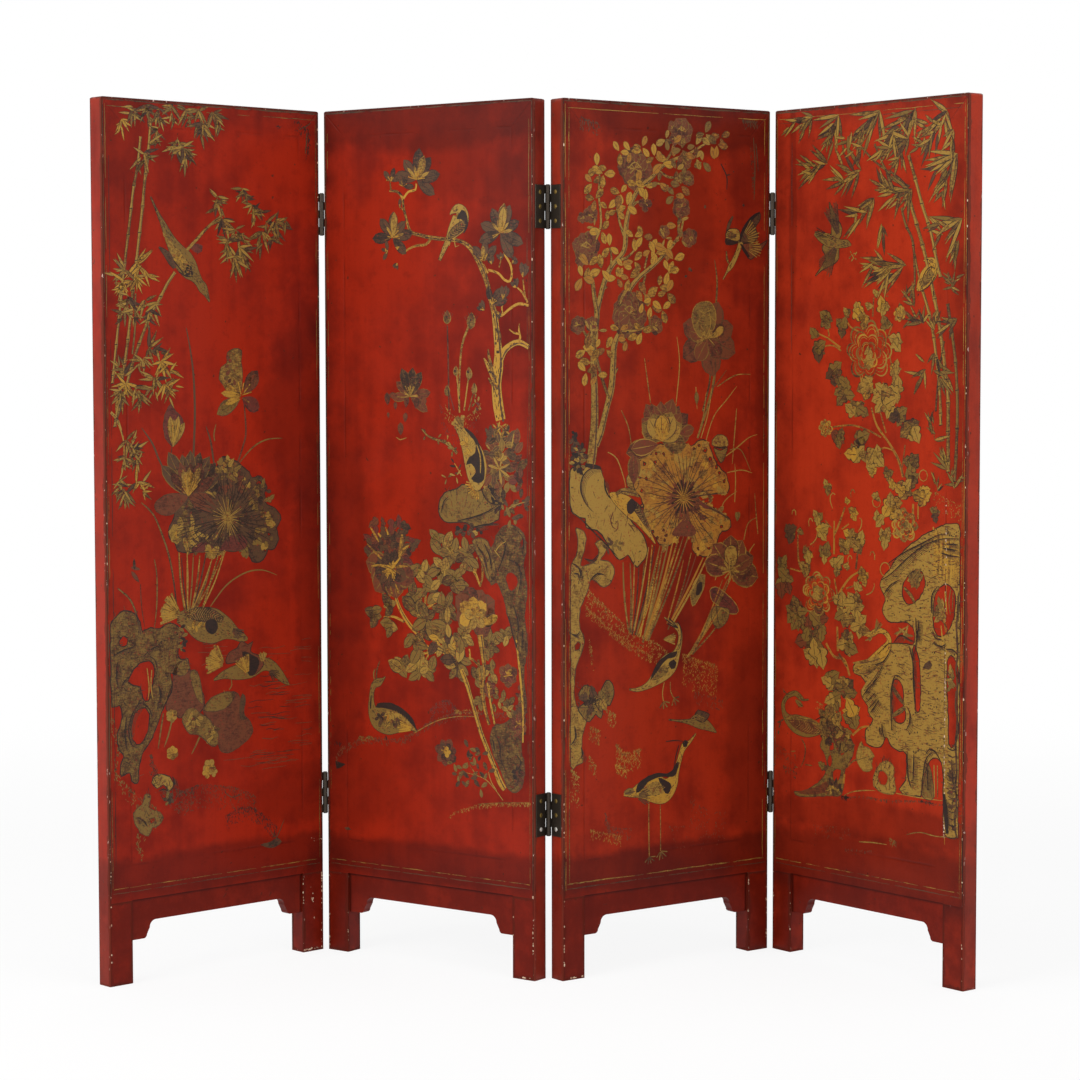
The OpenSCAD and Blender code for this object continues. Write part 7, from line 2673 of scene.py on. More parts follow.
PANEL_4 = (Motif("bamboo", (Culm(((334, 1442), (350, 1400), (368, 1352), (388, 1306), (402, 1256), (412,
            1226)), 6.5, 46), Culm(((338, 1362), (354, 1322), (368, 1286), (380, 1252), (394, 1204), (406,
            1160), (416, 1112), (424, 1066), (430, 1030), (431, 960), (432, 896)), 7.5, 50), Culm(((366,
            1214), (384, 1170), (396, 1126), (404, 1080), (411, 1030), (414, 976)), 6, 50, OCHRE),
            Culm(((428, 1184), (438, 1134), (447, 1084), (452, 1010), (450, 930), (447, 880)), 6, 56,
            OLIVE), Culm(((318, 1352), (328, 1322), (344, 1296), (350, 1250), (350, 1216)), 4.4, 40, OLIVE),
            Culm(((252, 1466), (272, 1430), (296, 1402), (336, 1388)), 3.4, 30, OLIVE), Culm(((220, 1462),
            (252, 1436), (292, 1412)), 3, 30, OLIVE), Culm(((346, 1286), (358, 1240), (370, 1206)), 3, 30,
            OCHRE), Culm(((420, 1120), (408, 1060), (402, 1000)), 3, 34, OLIVE), Tuft(98, 1524, 46, 8, -150,
            110), Tuft(163, 1522, 74, 11, -122, 120), Tuft(264, 1524, 76, 11, -132, 110), Tuft(226, 1500,
            50, 6, -120, 90), Tuft(350, 1522, 76, 10, -140, 110), Tuft(334, 1474, 64, 9, -155, 130),
            Tuft(424, 1512, 66, 10, -130, 160, 4), Tuft(448, 1438, 84, 13, -140, 110, 4), Tuft(136, 1438,
            66, 10, -170, 110), Tuft(220, 1422, 72, 11, -170, 150), Tuft(252, 1372, 76, 9, -140, 120),
            Tuft(270, 1326, 46, 4, -80, 60), Tuft(342, 1384, 74, 13, -160, 130, 3), Tuft(330, 1252, 84, 10,
            -170, 90, 4), Tuft(460, 1328, 80, 10, -160, 120), Tuft(436, 1210, 32, 7, 90, 300, 0), Tuft(372,
            1150, 52, 6, 140, 200), Tuft(398, 1140, 34, 4, 90, 120), Tuft(450, 1158, 46, 5, -150, 100),
            Tuft(378, 1072, 54, 3, -120, 140), Tuft(396, 1070, 48, 4, -30, 100), Tuft(400, 950, 44, 4, 100,
            180, 0), Tuft(432, 900, 44, 4, 130, 60, 0), Tuft(408, 862, 30, 4, 100, 120), Tuft(446, 868, 34,
            5, 90, 260), Tuft(352, 1222, 42, 2, -130, 30), Tuft(374, 1084, 40, 1, 144, 2), Tuft(452, 1292,
            44, 4, -110, 60, 0), Tuft(300, 1380, 50, 6, 150, 120), *(Tuft(u, z, r, n, t, f, 3) for u, z, r,
            n, t, f in ((196, 1490, 46, 4, -130, 150), (300, 1490, 50, 5, -110, 140), (392, 1494, 46, 4,
            -150, 150), (388, 1470, 54, 5, -140, 130), (318, 1448, 44, 4, -120, 140), (290, 1456, 50, 4,
            -160, 90), (438, 1480, 50, 4, -100, 110), (226, 1462, 40, 3, -150, 120), (60, 1520, 40, 3, -150,
            60), (424, 1396, 52, 4, -110, 90), (274, 1262, 60, 4, -170, 110), (300, 1254, 54, 4, -130, 80),
            (350, 1180, 44, 3, 130, 80), (398, 1100, 40, 3, -60, 120))),)), Motif("flying_bird",
        (Wash(((140, 1369), (151, 1352), (168, 1330), (173, 1322), (167, 1304), (146, 1300), (146, 1330)),
            OLIVE, INK), Wash(((128, 1296), (160, 1298), (165, 1268), (150, 1258), (128, 1250), (106, 1238),
            (124, 1258), (133, 1272), (124, 1284)), OLIVE, INK), Fan(168, 1300, 66, 112, 34, 14, 1.3, UMBER,
            0.2, Layer.LINE), Fan(164, 1296, 62, 232, 44, 14, 1.3, UMBER, 0.2, Layer.LINE), Fan(150, 1306,
            44, 166, 26, 5, 1.3, INK, 0.2, Layer.LINE), Bird(((104, 1315, 3), (120, 1308, 8), (140, 1300,
            10), (160, 1295, 8), (176, 1294, 6.5), (186, 1294, 6), (196, 1291, 0.8)), ((130, 1312, 2), (142,
            1309, 4), (150, 1303, 3)), (187, 1296), (), OLIVE, INK, 70), Clusters(((198, 1274), (204,
            1270)), 4, 8, 0.3, (OCHRE,)),)), Motif("perched_bird", (Bird(((356, 1208, 2), (364, 1216, 9),
            (376, 1228, 15), (389, 1240, 15), (396, 1250, 10), (390, 1258, 6), (378, 1260, 2.4), (371, 1259,
            0.6)), ((366, 1214, 3), (380, 1228, 8), (392, 1240, 7)), (388, 1257), (), GOLD, OLIVE, 46),
            Lines((((364, 1206), (382, 1214), (398, 1230), (404, 1246)), ((366, 1222), (376, 1240), (388,
            1248), (398, 1244)), ((394, 1206), (396, 1196)), ((360, 1202), (358, 1198))), 1.8, INK),)),
    Motif("peony", (*(Branch(tuple((u, z, w * 0.72) for u, z, w in p), AMBER, False, 2) for p in (((112,
            1136, 1.6), (140, 1126, 2), (170, 1110, 2.6)), ((136, 1156, 1.6), (142, 1130, 2)), ((118, 1110,
            1.6), (150, 1114, 1.8), (172, 1104, 2)), ((180, 1164, 1.6), (196, 1146, 2), (216, 1138, 2)),
            ((252, 1198, 2), (250, 1164, 2.4)), ((286, 1126, 1.6), (298, 1150, 2)), ((290, 1100, 2), (298,
            1074, 2)), ((248, 1004, 2.4), (262, 972, 2.8), (290, 944, 3), (314, 914, 4), (326, 884, 4)),
            ((152, 968, 1.8), (200, 972, 2.2), (240, 964, 2), (272, 952, 2)), ((268, 1000, 1.6), (284, 960,
            2)), ((330, 940, 1.8), (324, 900, 2)), ((262, 926, 1.6), (280, 934, 1.6), (300, 930, 1.6)),
            ((350, 838, 3), (350, 812, 3.4)), ((362, 838, 2), (362, 812, 2.4)), ((316, 828, 1.8), (336, 822,
            2), (350, 812, 2)))), Rosette(240, 1102, 58), Rosette(330, 800, 30), Rosette(116, 668, 40),
            Rosette(134, 966, 16), Rosette(316, 1168, 14), Bloom(240, 1084, 14, 7, 1, 90, 360, OCHRE, OLIVE,
            GOLD, 0.7, OCHRE), Bloom(244, 1060, 30, 1, 1, 280, 1, OCHRE, OCHRE, OCHRE, 0.3, UMBER),
            *(Foliage(u, z, w, h, max(round(n * 0.48), 2), s * 1.08, 0.92, p, Shape.LOBED) for u, z, w, h,
            n, s, p in ((134, 1162, 9, 10, 6, 26, (OCHRE, OLIVE)), (174, 1148, 11, 10, 9, 30, (OLIVE, OLIVE,
            OCHRE)), (186, 1172, 5, 5, 3, 16, (OCHRE, OCHRE, GOLD)), (214, 1176, 9, 11, 7, 24, (OCHRE,
            OCHRE, GOLD)), (228, 1160, 10, 8, 6, 24, (OCHRE, OCHRE, GOLD)), (276, 1182, 9, 8, 6, 26, (OCHRE,
            GOLD)), (240, 1182, 5, 5, 3, 16, (OCHRE,)), (282, 1150, 5, 8, 4, 24, (OCHRE, OLIVE)), (308,
            1120, 10, 9, 7, 26, (OCHRE, OCHRE, GOLD)), (105, 1134, 7, 6, 4, 20, (OLIVE, OCHRE)), (114, 1106,
            10, 10, 8, 28, (OLIVE, OLIVE, UMBER)), (304, 1070, 8, 13, 9, 26, (GOLD, GOLD, OCHRE)), (154,
            1064, 13, 17, 12, 32, (OLIVE, UMBER, OCHRE)), (308, 1036, 10, 14, 10, 26, (OCHRE, OCHRE, GOLD)),
            (180, 1034, 18, 20, 16, 30, (OLIVE, OCHRE, OLIVE)), (236, 1042, 10, 16, 10, 28, (OCHRE, GOLD)),
            (272, 1022, 18, 22, 18, 32, (OCHRE, GOLD, OCHRE)), (290, 1006, 10, 12, 8, 28, (OCHRE, OLIVE)),
            (212, 1002, 20, 10, 12, 28, (OLIVE, OLIVE, OCHRE)), (258, 1204, 5, 5, 3, 14, (OCHRE,)), (316,
            990, 14, 12, 10, 30, (OLIVE, OLIVE, UMBER)), (344, 966, 16, 16, 12, 32, (OLIVE, OLIVE, OCHRE)),
            (166, 948, 13, 11, 9, 28, (OLIVE, OLIVE, OLIVE, MAROON)), (222, 946, 14, 10, 9, 30, (OLIVE,
            OLIVE, UMBER)), (214, 922, 20, 10, 12, 28, (OCHRE, GOLD, OCHRE)), (258, 918, 14, 14, 12, 30,
            (OCHRE, OCHRE, GOLD)), (250, 892, 6, 9, 4, 20, (OCHRE, OCHRE, GOLD)), (346, 908, 14, 9, 8, 28,
            (UMBER, OLIVE, OLIVE)), (346, 882, 12, 9, 7, 26, (OLIVE, OLIVE, UMBER)), (290, 890, 10, 9, 7,
            22, (OCHRE, OLIVE)), (302, 868, 7, 9, 5, 20, (OCHRE, GOLD)), (330, 864, 14, 12, 11, 28, (OCHRE,
            OCHRE, GOLD)), (374, 854, 13, 14, 11, 28, (OCHRE, OCHRE, GOLD)), (300, 828, 16, 17, 15, 32,
            (GOLD, GOLD, OCHRE)), (268, 810, 10, 9, 6, 22, (OCHRE, GOLD)), (282, 776, 12, 12, 9, 26, (OCHRE,
            OCHRE, GOLD)), (402, 824, 8, 10, 6, 24, (OLIVE, OLIVE, UMBER)), (262, 844, 6, 8, 4, 16, (OLIVE,
            OCHRE)))), *(Lines((tuple(turned(u, z, 45 * k, r) for k in range(9)),), 1.8, OCHRE) for u, z,
            r in ((262, 838, 10), (374, 888, 10), (284, 720, 12))), Foliage(318, 1178, 6, 5, 3, 20, 0.5,
            (OLIVE,), Shape.PETAL), Foliage(340, 800, 22, 8, 7, 20, 0.4, (OCHRE, OLIVE), Shape.PETAL),
            Foliage(320, 786, 14, 8, 5, 20, 0.4, (OCHRE,), Shape.PETAL),)), Motif("flower_bush",
        (*(Branch(tuple((u, z, w * 0.72) for u, z, w in p), AMBER, False, 2) for p in (((157, 800, 2), (157,
            740, 3)), ((184, 826, 2), (170, 796, 3), (158, 776, 3)), ((194, 796, 1.6), (176, 786, 2)),
            ((134, 800, 1.6), (150, 786, 2)), ((64, 772, 2), (66, 726, 3), (76, 704, 3)), ((216, 746, 2.6),
            (212, 716, 3)), ((230, 716, 1.6), (200, 702, 2.6), (178, 680, 3), (166, 664, 2.6)), ((158, 696,
            2), (166, 668, 2.4)), ((214, 688, 1.6), (188, 680, 2.4)), ((44, 708, 1.6), (72, 704, 2)), ((166,
            610, 3), (168, 566, 3.6)), ((138, 578, 3), (158, 556, 3.6), (184, 552, 3.4), (198, 524, 3)),
            ((170, 562, 3), (190, 540, 3)), ((176, 724, 1.6), (190, 718, 1.6)), ((248, 438, 2), (228, 434,
            2.4), (206, 418, 2.6)), ((222, 376, 2), (208, 372, 2.4), (190, 358, 3)), ((186, 346, 3), (184,
            328, 3)))), *(Foliage(u, z, w, h, max(round(n * 0.48), 2), s * 1.08, 0.92, p, Shape.LOBED)
            for u, z, w, h, n, s, p in ((140, 862, 9, 9, 6, 20, (OCHRE, OCHRE, GOLD)), (190, 836, 4, 4, 3,
            13, (GOLD,)), (206, 816, 9, 8, 6, 22, (OCHRE, OCHRE, GOLD)), (115, 804, 10, 10, 7, 22, (OCHRE,
            OLIVE)), (128, 780, 11, 10, 8, 26, (OCHRE, OCHRE, GOLD)), (196, 774, 9, 11, 8, 24, (OCHRE,
            OCHRE, GOLD)), (218, 764, 12, 15, 11, 28, (OCHRE, OCHRE, GOLD)), (184, 756, 12, 8, 8, 26,
            (OCHRE, OCHRE, GOLD)), (44, 772, 11, 12, 8, 24, (OLIVE, OLIVE, UMBER)), (70, 776, 4, 3, 3, 14,
            (OCHRE,)), (90, 736, 8, 9, 6, 24, (OCHRE, OCHRE, GOLD)), (132, 740, 12, 12, 9, 28, (OCHRE,
            OLIVE)), (84, 710, 11, 8, 7, 24, (OCHRE, GOLD)), (164, 720, 12, 12, 9, 28, (OCHRE, OLIVE)),
            (232, 704, 9, 10, 7, 24, (GOLD, GOLD)), (24, 714, 11, 14, 9, 24, (OLIVE, OLIVE, UMBER)), (28,
            682, 17, 20, 18, 28, (OLIVE, OLIVE, OLIVE, MAROON)), (62, 624, 18, 24, 20, 32, (OLIVE, MAROON,
            OLIVE)), (88, 606, 10, 12, 8, 26, (OLIVE, OLIVE, MAROON)), (120, 614, 16, 26, 22, 30, (OLIVE,
            OLIVE, OLIVE, MAROON)), (172, 654, 12, 10, 8, 26, (OCHRE, OLIVE)), (208, 656, 16, 14, 13, 30,
            (OCHRE, GOLD)), (184, 632, 16, 14, 13, 30, (OLIVE, OCHRE)), (222, 616, 14, 18, 14, 30, (OCHRE,
            OCHRE, GOLD)), (192, 582, 14, 18, 14, 30, (OCHRE, OLIVE)), (92, 580, 20, 12, 14, 34, (OLIVE,
            OLIVE, OLIVE, MAROON)), (112, 556, 20, 14, 14, 34, (OLIVE, OCHRE, OLIVE)), (152, 512, 16, 14,
            12, 30, (OLIVE, OCHRE)), (188, 500, 20, 14, 15, 34, (OCHRE, OCHRE, OLIVE)), (160, 478, 14, 12,
            10, 28, (OCHRE, OLIVE)), (204, 452, 14, 18, 14, 32, (OCHRE, GOLD, OLIVE)), (150, 438, 20, 18,
            18, 32, (OLIVE, OLIVE, OCHRE)), (184, 408, 18, 18, 16, 30, (OLIVE, OLIVE, MAROON)), (216, 684,
            7, 6, 4, 20, (OCHRE, GOLD)), (114, 668, 6, 5, 4, 16, (OCHRE, OCHRE, GOLD)), (190, 718, 5, 4, 3,
            14, (OCHRE,)), (132, 352, 8, 7, 5, 20, (OLIVE, OLIVE, UMBER)), (132, 446, 8, 8, 5, 22, (OCHRE,
            OLIVE)), (250, 378, 0, 0, 1, 14, (OCHRE,)))), *(Lines((tuple(turned(u + 0.3 * r * k, z, a + 34
            * k, r) for k in range(5)),), 2.2, OCHRE) for u, z, a, r in ((196, 842, 40, 16), (148, 828, 60,
            22), (240, 732, 10, 18), (236, 684, 280, 12), (204, 792, 330, 16), (90, 786, 40, 16), (190, 724,
            40, 16), (44, 800, 20, 16), (88, 768, 300, 16))), Bloom(116, 668, 16, 6, 1, 90, 360, OCHRE,
            OCHRE, GOLD, 0.6, OLIVE), Wash(((216, 376), (220, 396), (228, 409), (234, 400), (246, 400),
            (260, 386), (252, 378), (256, 364), (242, 356), (226, 362)), OCHRE, OLIVE, (), Layer.BODY),
            Lines((((216, 374), (234, 380), (252, 386)), ((226, 376), (228, 392)), ((234, 378), (242,
            366))), 1.2, OLIVE),)), Motif("great_rock", (Rock(((272, 690), (276, 704), (296, 722), (308,
            738), (330, 756), (360, 776), (400, 796), (428, 806), (452, 808), (460, 800), (460, 760), (461,
            700), (462, 600), (462, 500), (461, 400), (461, 280), (458, 266), (430, 268), (426, 330), (424,
            384), (410, 398), (394, 392), (384, 372), (376, 348), (372, 328), (352, 326), (328, 328), (322,
            334), (332, 346), (337, 352), (337, 398), (322, 402), (302, 408), (288, 424), (276, 404), (246,
            404), (238, 414), (238, 430), (250, 442), (256, 452), (244, 464), (244, 474), (230, 486), (227,
            500), (238, 514), (226, 526), (210, 530), (206, 542), (212, 548), (250, 556), (272, 572), (292,
            588), (304, 590), (330, 592), (352, 592), (356, 606), (352, 622), (330, 630), (300, 627), (286,
            634), (277, 648), (284, 664), (280, 676)), (((326, 676), (328, 696), (344, 716), (366, 723),
            (379, 710), (378, 692), (366, 674), (350, 663), (336, 663)), ((400, 656), (404, 682), (420,
            700), (438, 700), (450, 684), (450, 656), (442, 632), (426, 614), (410, 612), (400, 630)),
            ((303, 512), (308, 526), (320, 526), (330, 508), (330, 486), (336, 468), (332, 454), (318, 450),
            (306, 458), (302, 480)), ((354, 592), (366, 570), (371, 530), (370, 484), (364, 474), (358,
            480), (358, 520), (352, 560)), ((434, 570), (442, 580), (452, 572), (460, 550), (458, 500),
            (460, 450), (450, 424), (438, 426), (436, 480), (432, 530))), (((274, 700), (300, 714), (340,
            744), (380, 768), (420, 780), (456, 782)), ((290, 730), (330, 752), (372, 770), (410, 786),
            (440, 790)), ((282, 676), (296, 692), (320, 704)), ((430, 772), (456, 772)), ((416, 756), (440,
            752), (458, 752)), ((420, 764), (456, 762)), ((358, 640), (360, 600), (354, 572)), ((366, 636),
            (362, 600)), ((306, 592), (322, 606), (344, 600), (354, 598)), ((342, 590), (352, 560), (354,
            520), (360, 470)), ((250, 548), (280, 556), (300, 580)), ((214, 540), (236, 530), (262, 546)),
            ((238, 514), (258, 520), (280, 550)), ((230, 490), (250, 510), (272, 530)), ((234, 500), (252,
            522)), ((240, 480), (262, 500)), ((246, 470), (268, 490)), ((250, 462), (270, 486)), ((278,
            446), (280, 430), (286, 420)), ((272, 440), (274, 424)), ((384, 402), (392, 412), (406, 410),
            (418, 396)), ((340, 404), (342, 360), (350, 340)), ((356, 400), (354, 350)), ((400, 598), (420,
            594), (430, 600)), ((336, 440), (344, 450), (346, 470), (338, 482)), ((302, 436), (300, 500),
            (310, 534), (330, 528)), ((376, 350), (384, 392), (400, 408)), ((434, 330), (438, 280), (434,
            270)), ((444, 400), (450, 350)), ((430, 590), (446, 590), (460, 580)), ((398, 620), (404, 608),
            (420, 606)), ((396, 650), (396, 680), (410, 698))), OCHRE, 1000, 1.8, INK, 0.35, (0, 170, 10,
            0)), Foliage(356, 708, 12, 8, 12, 26, 0.8, (OLIVE, OCHRE), Shape.PETAL), Foliage(416, 656, 10,
            16, 8, 26, 0.6, (OLIVE, OCHRE), Shape.PETAL), Branch(((330, 690, 1.6), (346, 678, 3), (356, 664,
            2)), OCHRE), Lines((((440, 694), (436, 670), (440, 650)), ((430, 690), (428, 676)), ((446, 690),
            (444, 660)), ((418, 640), (430, 630), (436, 612))), 2, OLIVE), Branch(((303, 514, 2), (316, 500,
            4), (331, 486, 2)), OLIVE), Branch(((303, 462, 2), (318, 470, 4), (334, 480, 3)), OLIVE),
            Wash(((380, 560), (392, 568), (398, 560), (390, 552), (376, 554)), UMBER, None, (),
            Layer.DETAIL), Lines(tuple(((398 + 5 * k, 800 - 3 * k), (402 + 5 * k, 770), (400 + 5 * k, 716
            - 2 * k)) for k in range(12)), 4.6, GOLD, Layer.BODY, 0.2, 0.5), Lines(tuple(((414 + 4 * k, 600
            + 30 * k), (420 + 4 * k, 560 + 30 * k)) for k in range(4)), 3.0, GOLD, Layer.BODY, 0.2, 0.4),
            Lines(tuple(((458 - 2 * (k % 3), 690 - 34 * k), (457 - 3 * (k % 2), 660 - 34 * k), (458, 640
            - 34 * k)) for k in range(12)), 5.0, UMBER, Layer.DETAIL, 0.3, 0.3), Lines(tuple(((434 + k % 4,
            420 - 12 * k), (446 + k % 3, 416 - 12 * k), (458, 420 - 12 * k)) for k in range(12)), 2.6,
            UMBER, Layer.DETAIL, 0.3, 0.3), Rock(((258, 345), (264, 362), (280, 378), (296, 380), (308,
            370), (309, 350), (313, 334), (306, 323), (276, 324), (260, 333)), (((270, 344), (272, 358),
            (282, 363), (292, 356), (292, 342), (282, 336)),), (), OCHRE, 60, 1.6, OLIVE), Rock(((376, 328),
            (382, 360), (388, 388), (398, 370), (404, 328)), (), (((388, 380), (390, 340)),), OLIVE, 14,
            1.4, UMBER), Branch(((428, 338, 3), (432, 300, 4), (436, 270, 3)), INK, False, 0, Layer.DETAIL),
            Foliage(448, 340, 8, 60, 24, 18, 0.5, (UMBER, OCHRE, OLIVE), Shape.PETAL), Foliage(442, 540, 8,
            20, 8, 18, 0.5, (OCHRE, OLIVE), Shape.PETAL), Foliage(330, 612, 16, 10, 6, 24, 0.3, (OCHRE,
            OLIVE), Shape.PETAL), Lines((((312, 604), (326, 616), (342, 624)), ((404, 386), (406, 330)),
            ((412, 386), (413, 330))), 2.4, OCHRE),)), Motif("water_birds", (Bird(((214, 540, 1), (236, 545,
            7), (262, 556, 13), (282, 574, 11), (294, 590, 6), (292, 602, 4.4), (280, 610, 4), (266, 610,
            4.6), (254, 604, 5), (240, 598, 0.8)), ((226, 540, 3), (250, 548, 8), (272, 562, 8)), (260,
            607), (), GOLD, OCHRE, 44), *(Branch(p, OCHRE, False, 0, Layer.DETAIL) for p in (((206, 548, 1),
            (236, 552, 4), (270, 562, 4)), ((206, 536, 1), (232, 532, 4), (262, 546, 5)), ((228, 500, 1),
            (246, 516, 5), (268, 540, 5)), ((242, 606, 0.8), (252, 598, 2), (246, 590, 1)), ((236, 590,
            0.6), (250, 596, 2.4)))), Fan(258, 604, 26, 60, 40, 5, 2, OLIVE, 0.2), Fan(252, 606, 22, 175,
            70, 4, 2.2, OCHRE, 0.1), Bird(((140, 424, 2), (118, 420, 10), (90, 420, 17), (62, 424, 17), (42,
            430, 10), (30, 442, 5), (28, 458, 4), (38, 472, 4), (58, 480, 4.4), (72, 474, 4.6), (82, 470,
            1.6), (94, 472, 0.6)), ((128, 416, 3), (96, 420, 11), (60, 428, 11), (40, 436, 5)), (68, 476),
            (), OLIVE, MAROON, 40), Branch(((60, 468, 1.6), (70, 462, 5), (78, 458, 2)), OLIVE),
            Lines((((60, 484), (40, 476), (26, 486)), ((30, 478), (28, 484)), ((76, 398), (86, 384), (83,
            362), (74, 346)), ((60, 374), (48, 372)), ((86, 352), (104, 352)), ((66, 344), (58, 346))), 2.2,
            OLIVE), Branch(((34, 430, 1.4), (60, 436, 3.4), (100, 434, 4), (130, 426, 1.4)), OCHRE, False,
            0, Layer.DETAIL), Wash(((57, 298), (72, 292), (110, 296), (150, 302), (176, 306), (184, 324),
            (186, 350), (196, 366), (206, 380), (209, 400), (196, 416), (170, 420), (140, 412), (124, 392),
            (136, 376), (142, 356), (132, 334), (112, 318), (84, 304)), OLIVE, UMBER, (((147, 386), (152,
            400), (158, 400), (159, 388), (152, 384)), ((170, 392), (174, 402), (186, 402), (188, 388),
            (178, 378)), ((142, 364), (150, 378), (155, 368), (150, 354)), ((156, 346), (168, 354), (178,
            352), (172, 334), (160, 330)))), Wash(((64, 299), (74, 296), (120, 302), (150, 312), (150, 330),
            (128, 320), (96, 308)), MAROON, None, (), Layer.BODY), Foliage(160, 320, 18, 12, 16, 18, 0.5,
            (UMBER, OCHRE, UMBER), Shape.PETAL), Foliage(140, 410, 14, 14, 12, 22, 0.7, (OLIVE, OLIVE,
            UMBER), Shape.PETAL), Foliage(178, 420, 22, 8, 10, 24, 0.7, (OLIVE, OCHRE), Shape.PETAL),
            Lines((((158, 424), (168, 430), (176, 424), (190, 420)), ((176, 402), (174, 384)), ((112, 436),
            (130, 444), (140, 440))), 2, INK),)), Motif("bank", (Lines((((186, 307), (206, 316), (236, 322),
            (264, 325)), ((314, 326), (372, 325), (424, 326)), ((340, 256), (372, 264), (410, 262), (450,
            266)), ((224, 228), (256, 231), (292, 232))), 2.0, OCHRE, Layer.BODY), Moss(((200, 306), (240,
            311), (300, 312), (360, 318), (420, 318)), 4, 110, UMBER, 2.6), Moss(((376, 320), (400, 320)),
            3, 18, INK, 3.4), Moss(((182, 305), (194, 305)), 5, 18, INK, 4.0), Moss(((12, 380), (60, 366)),
            30, 50, MAROON, 2.6), Moss(((30, 345), (60, 336)), 14, 24, UMBER, 3.2), Moss(((20, 425), (20,
            425)), 8, 10, UMBER, 3.0), Moss(((300, 244), (312, 240)), 12, 40, OLIVE, 2.4), Moss(((110, 244),
            (200, 250)), 24, 50, MAROON, 2.4), Moss(((190, 210), (260, 216)), 8, 30, MAROON, 2.4),
            Moss(((115, 470), (130, 466)), 16, 26, OCHRE, 2.2), Moss(((270, 1214), (286, 1210)), 12, 26,
            OLIVE, 2.4), Clusters(((20, 424), (16, 410)), 2, 7, 0.5, (UMBER,)), Moss(((80, 750), (110,
            760)), 20, 30, OLIVE, 2.2), Moss(((400, 860), (460, 840)), 30, 60, OCHRE, 2.4),), "ink"),)

def frame_lines(left: Sequence[Rule], right: Sequence[Rule]) -> tuple[Rule, ...]:
    """Joins a panel's upright rules with the dark line and the worn gold one over the apron."""
    foot = (Rule((8, LAP_Z + 1), (467, LAP_Z + 1), 2.2, UMBER, 0.92, 160), Rule((10, LAP_Z + 9), (465, LAP_Z
            + 9), 1.3, OLIVE, 0.7, 40), Rule((10, LAP_Z + 9), (465, LAP_Z + 9), 1.5, OCHRE, 0.25, 30),
            Rule((4, PANEL_H - 5), (471, PANEL_H - 5), 4.0, UMBER, 0.9, 120))
    return (*foot, *left, *right)


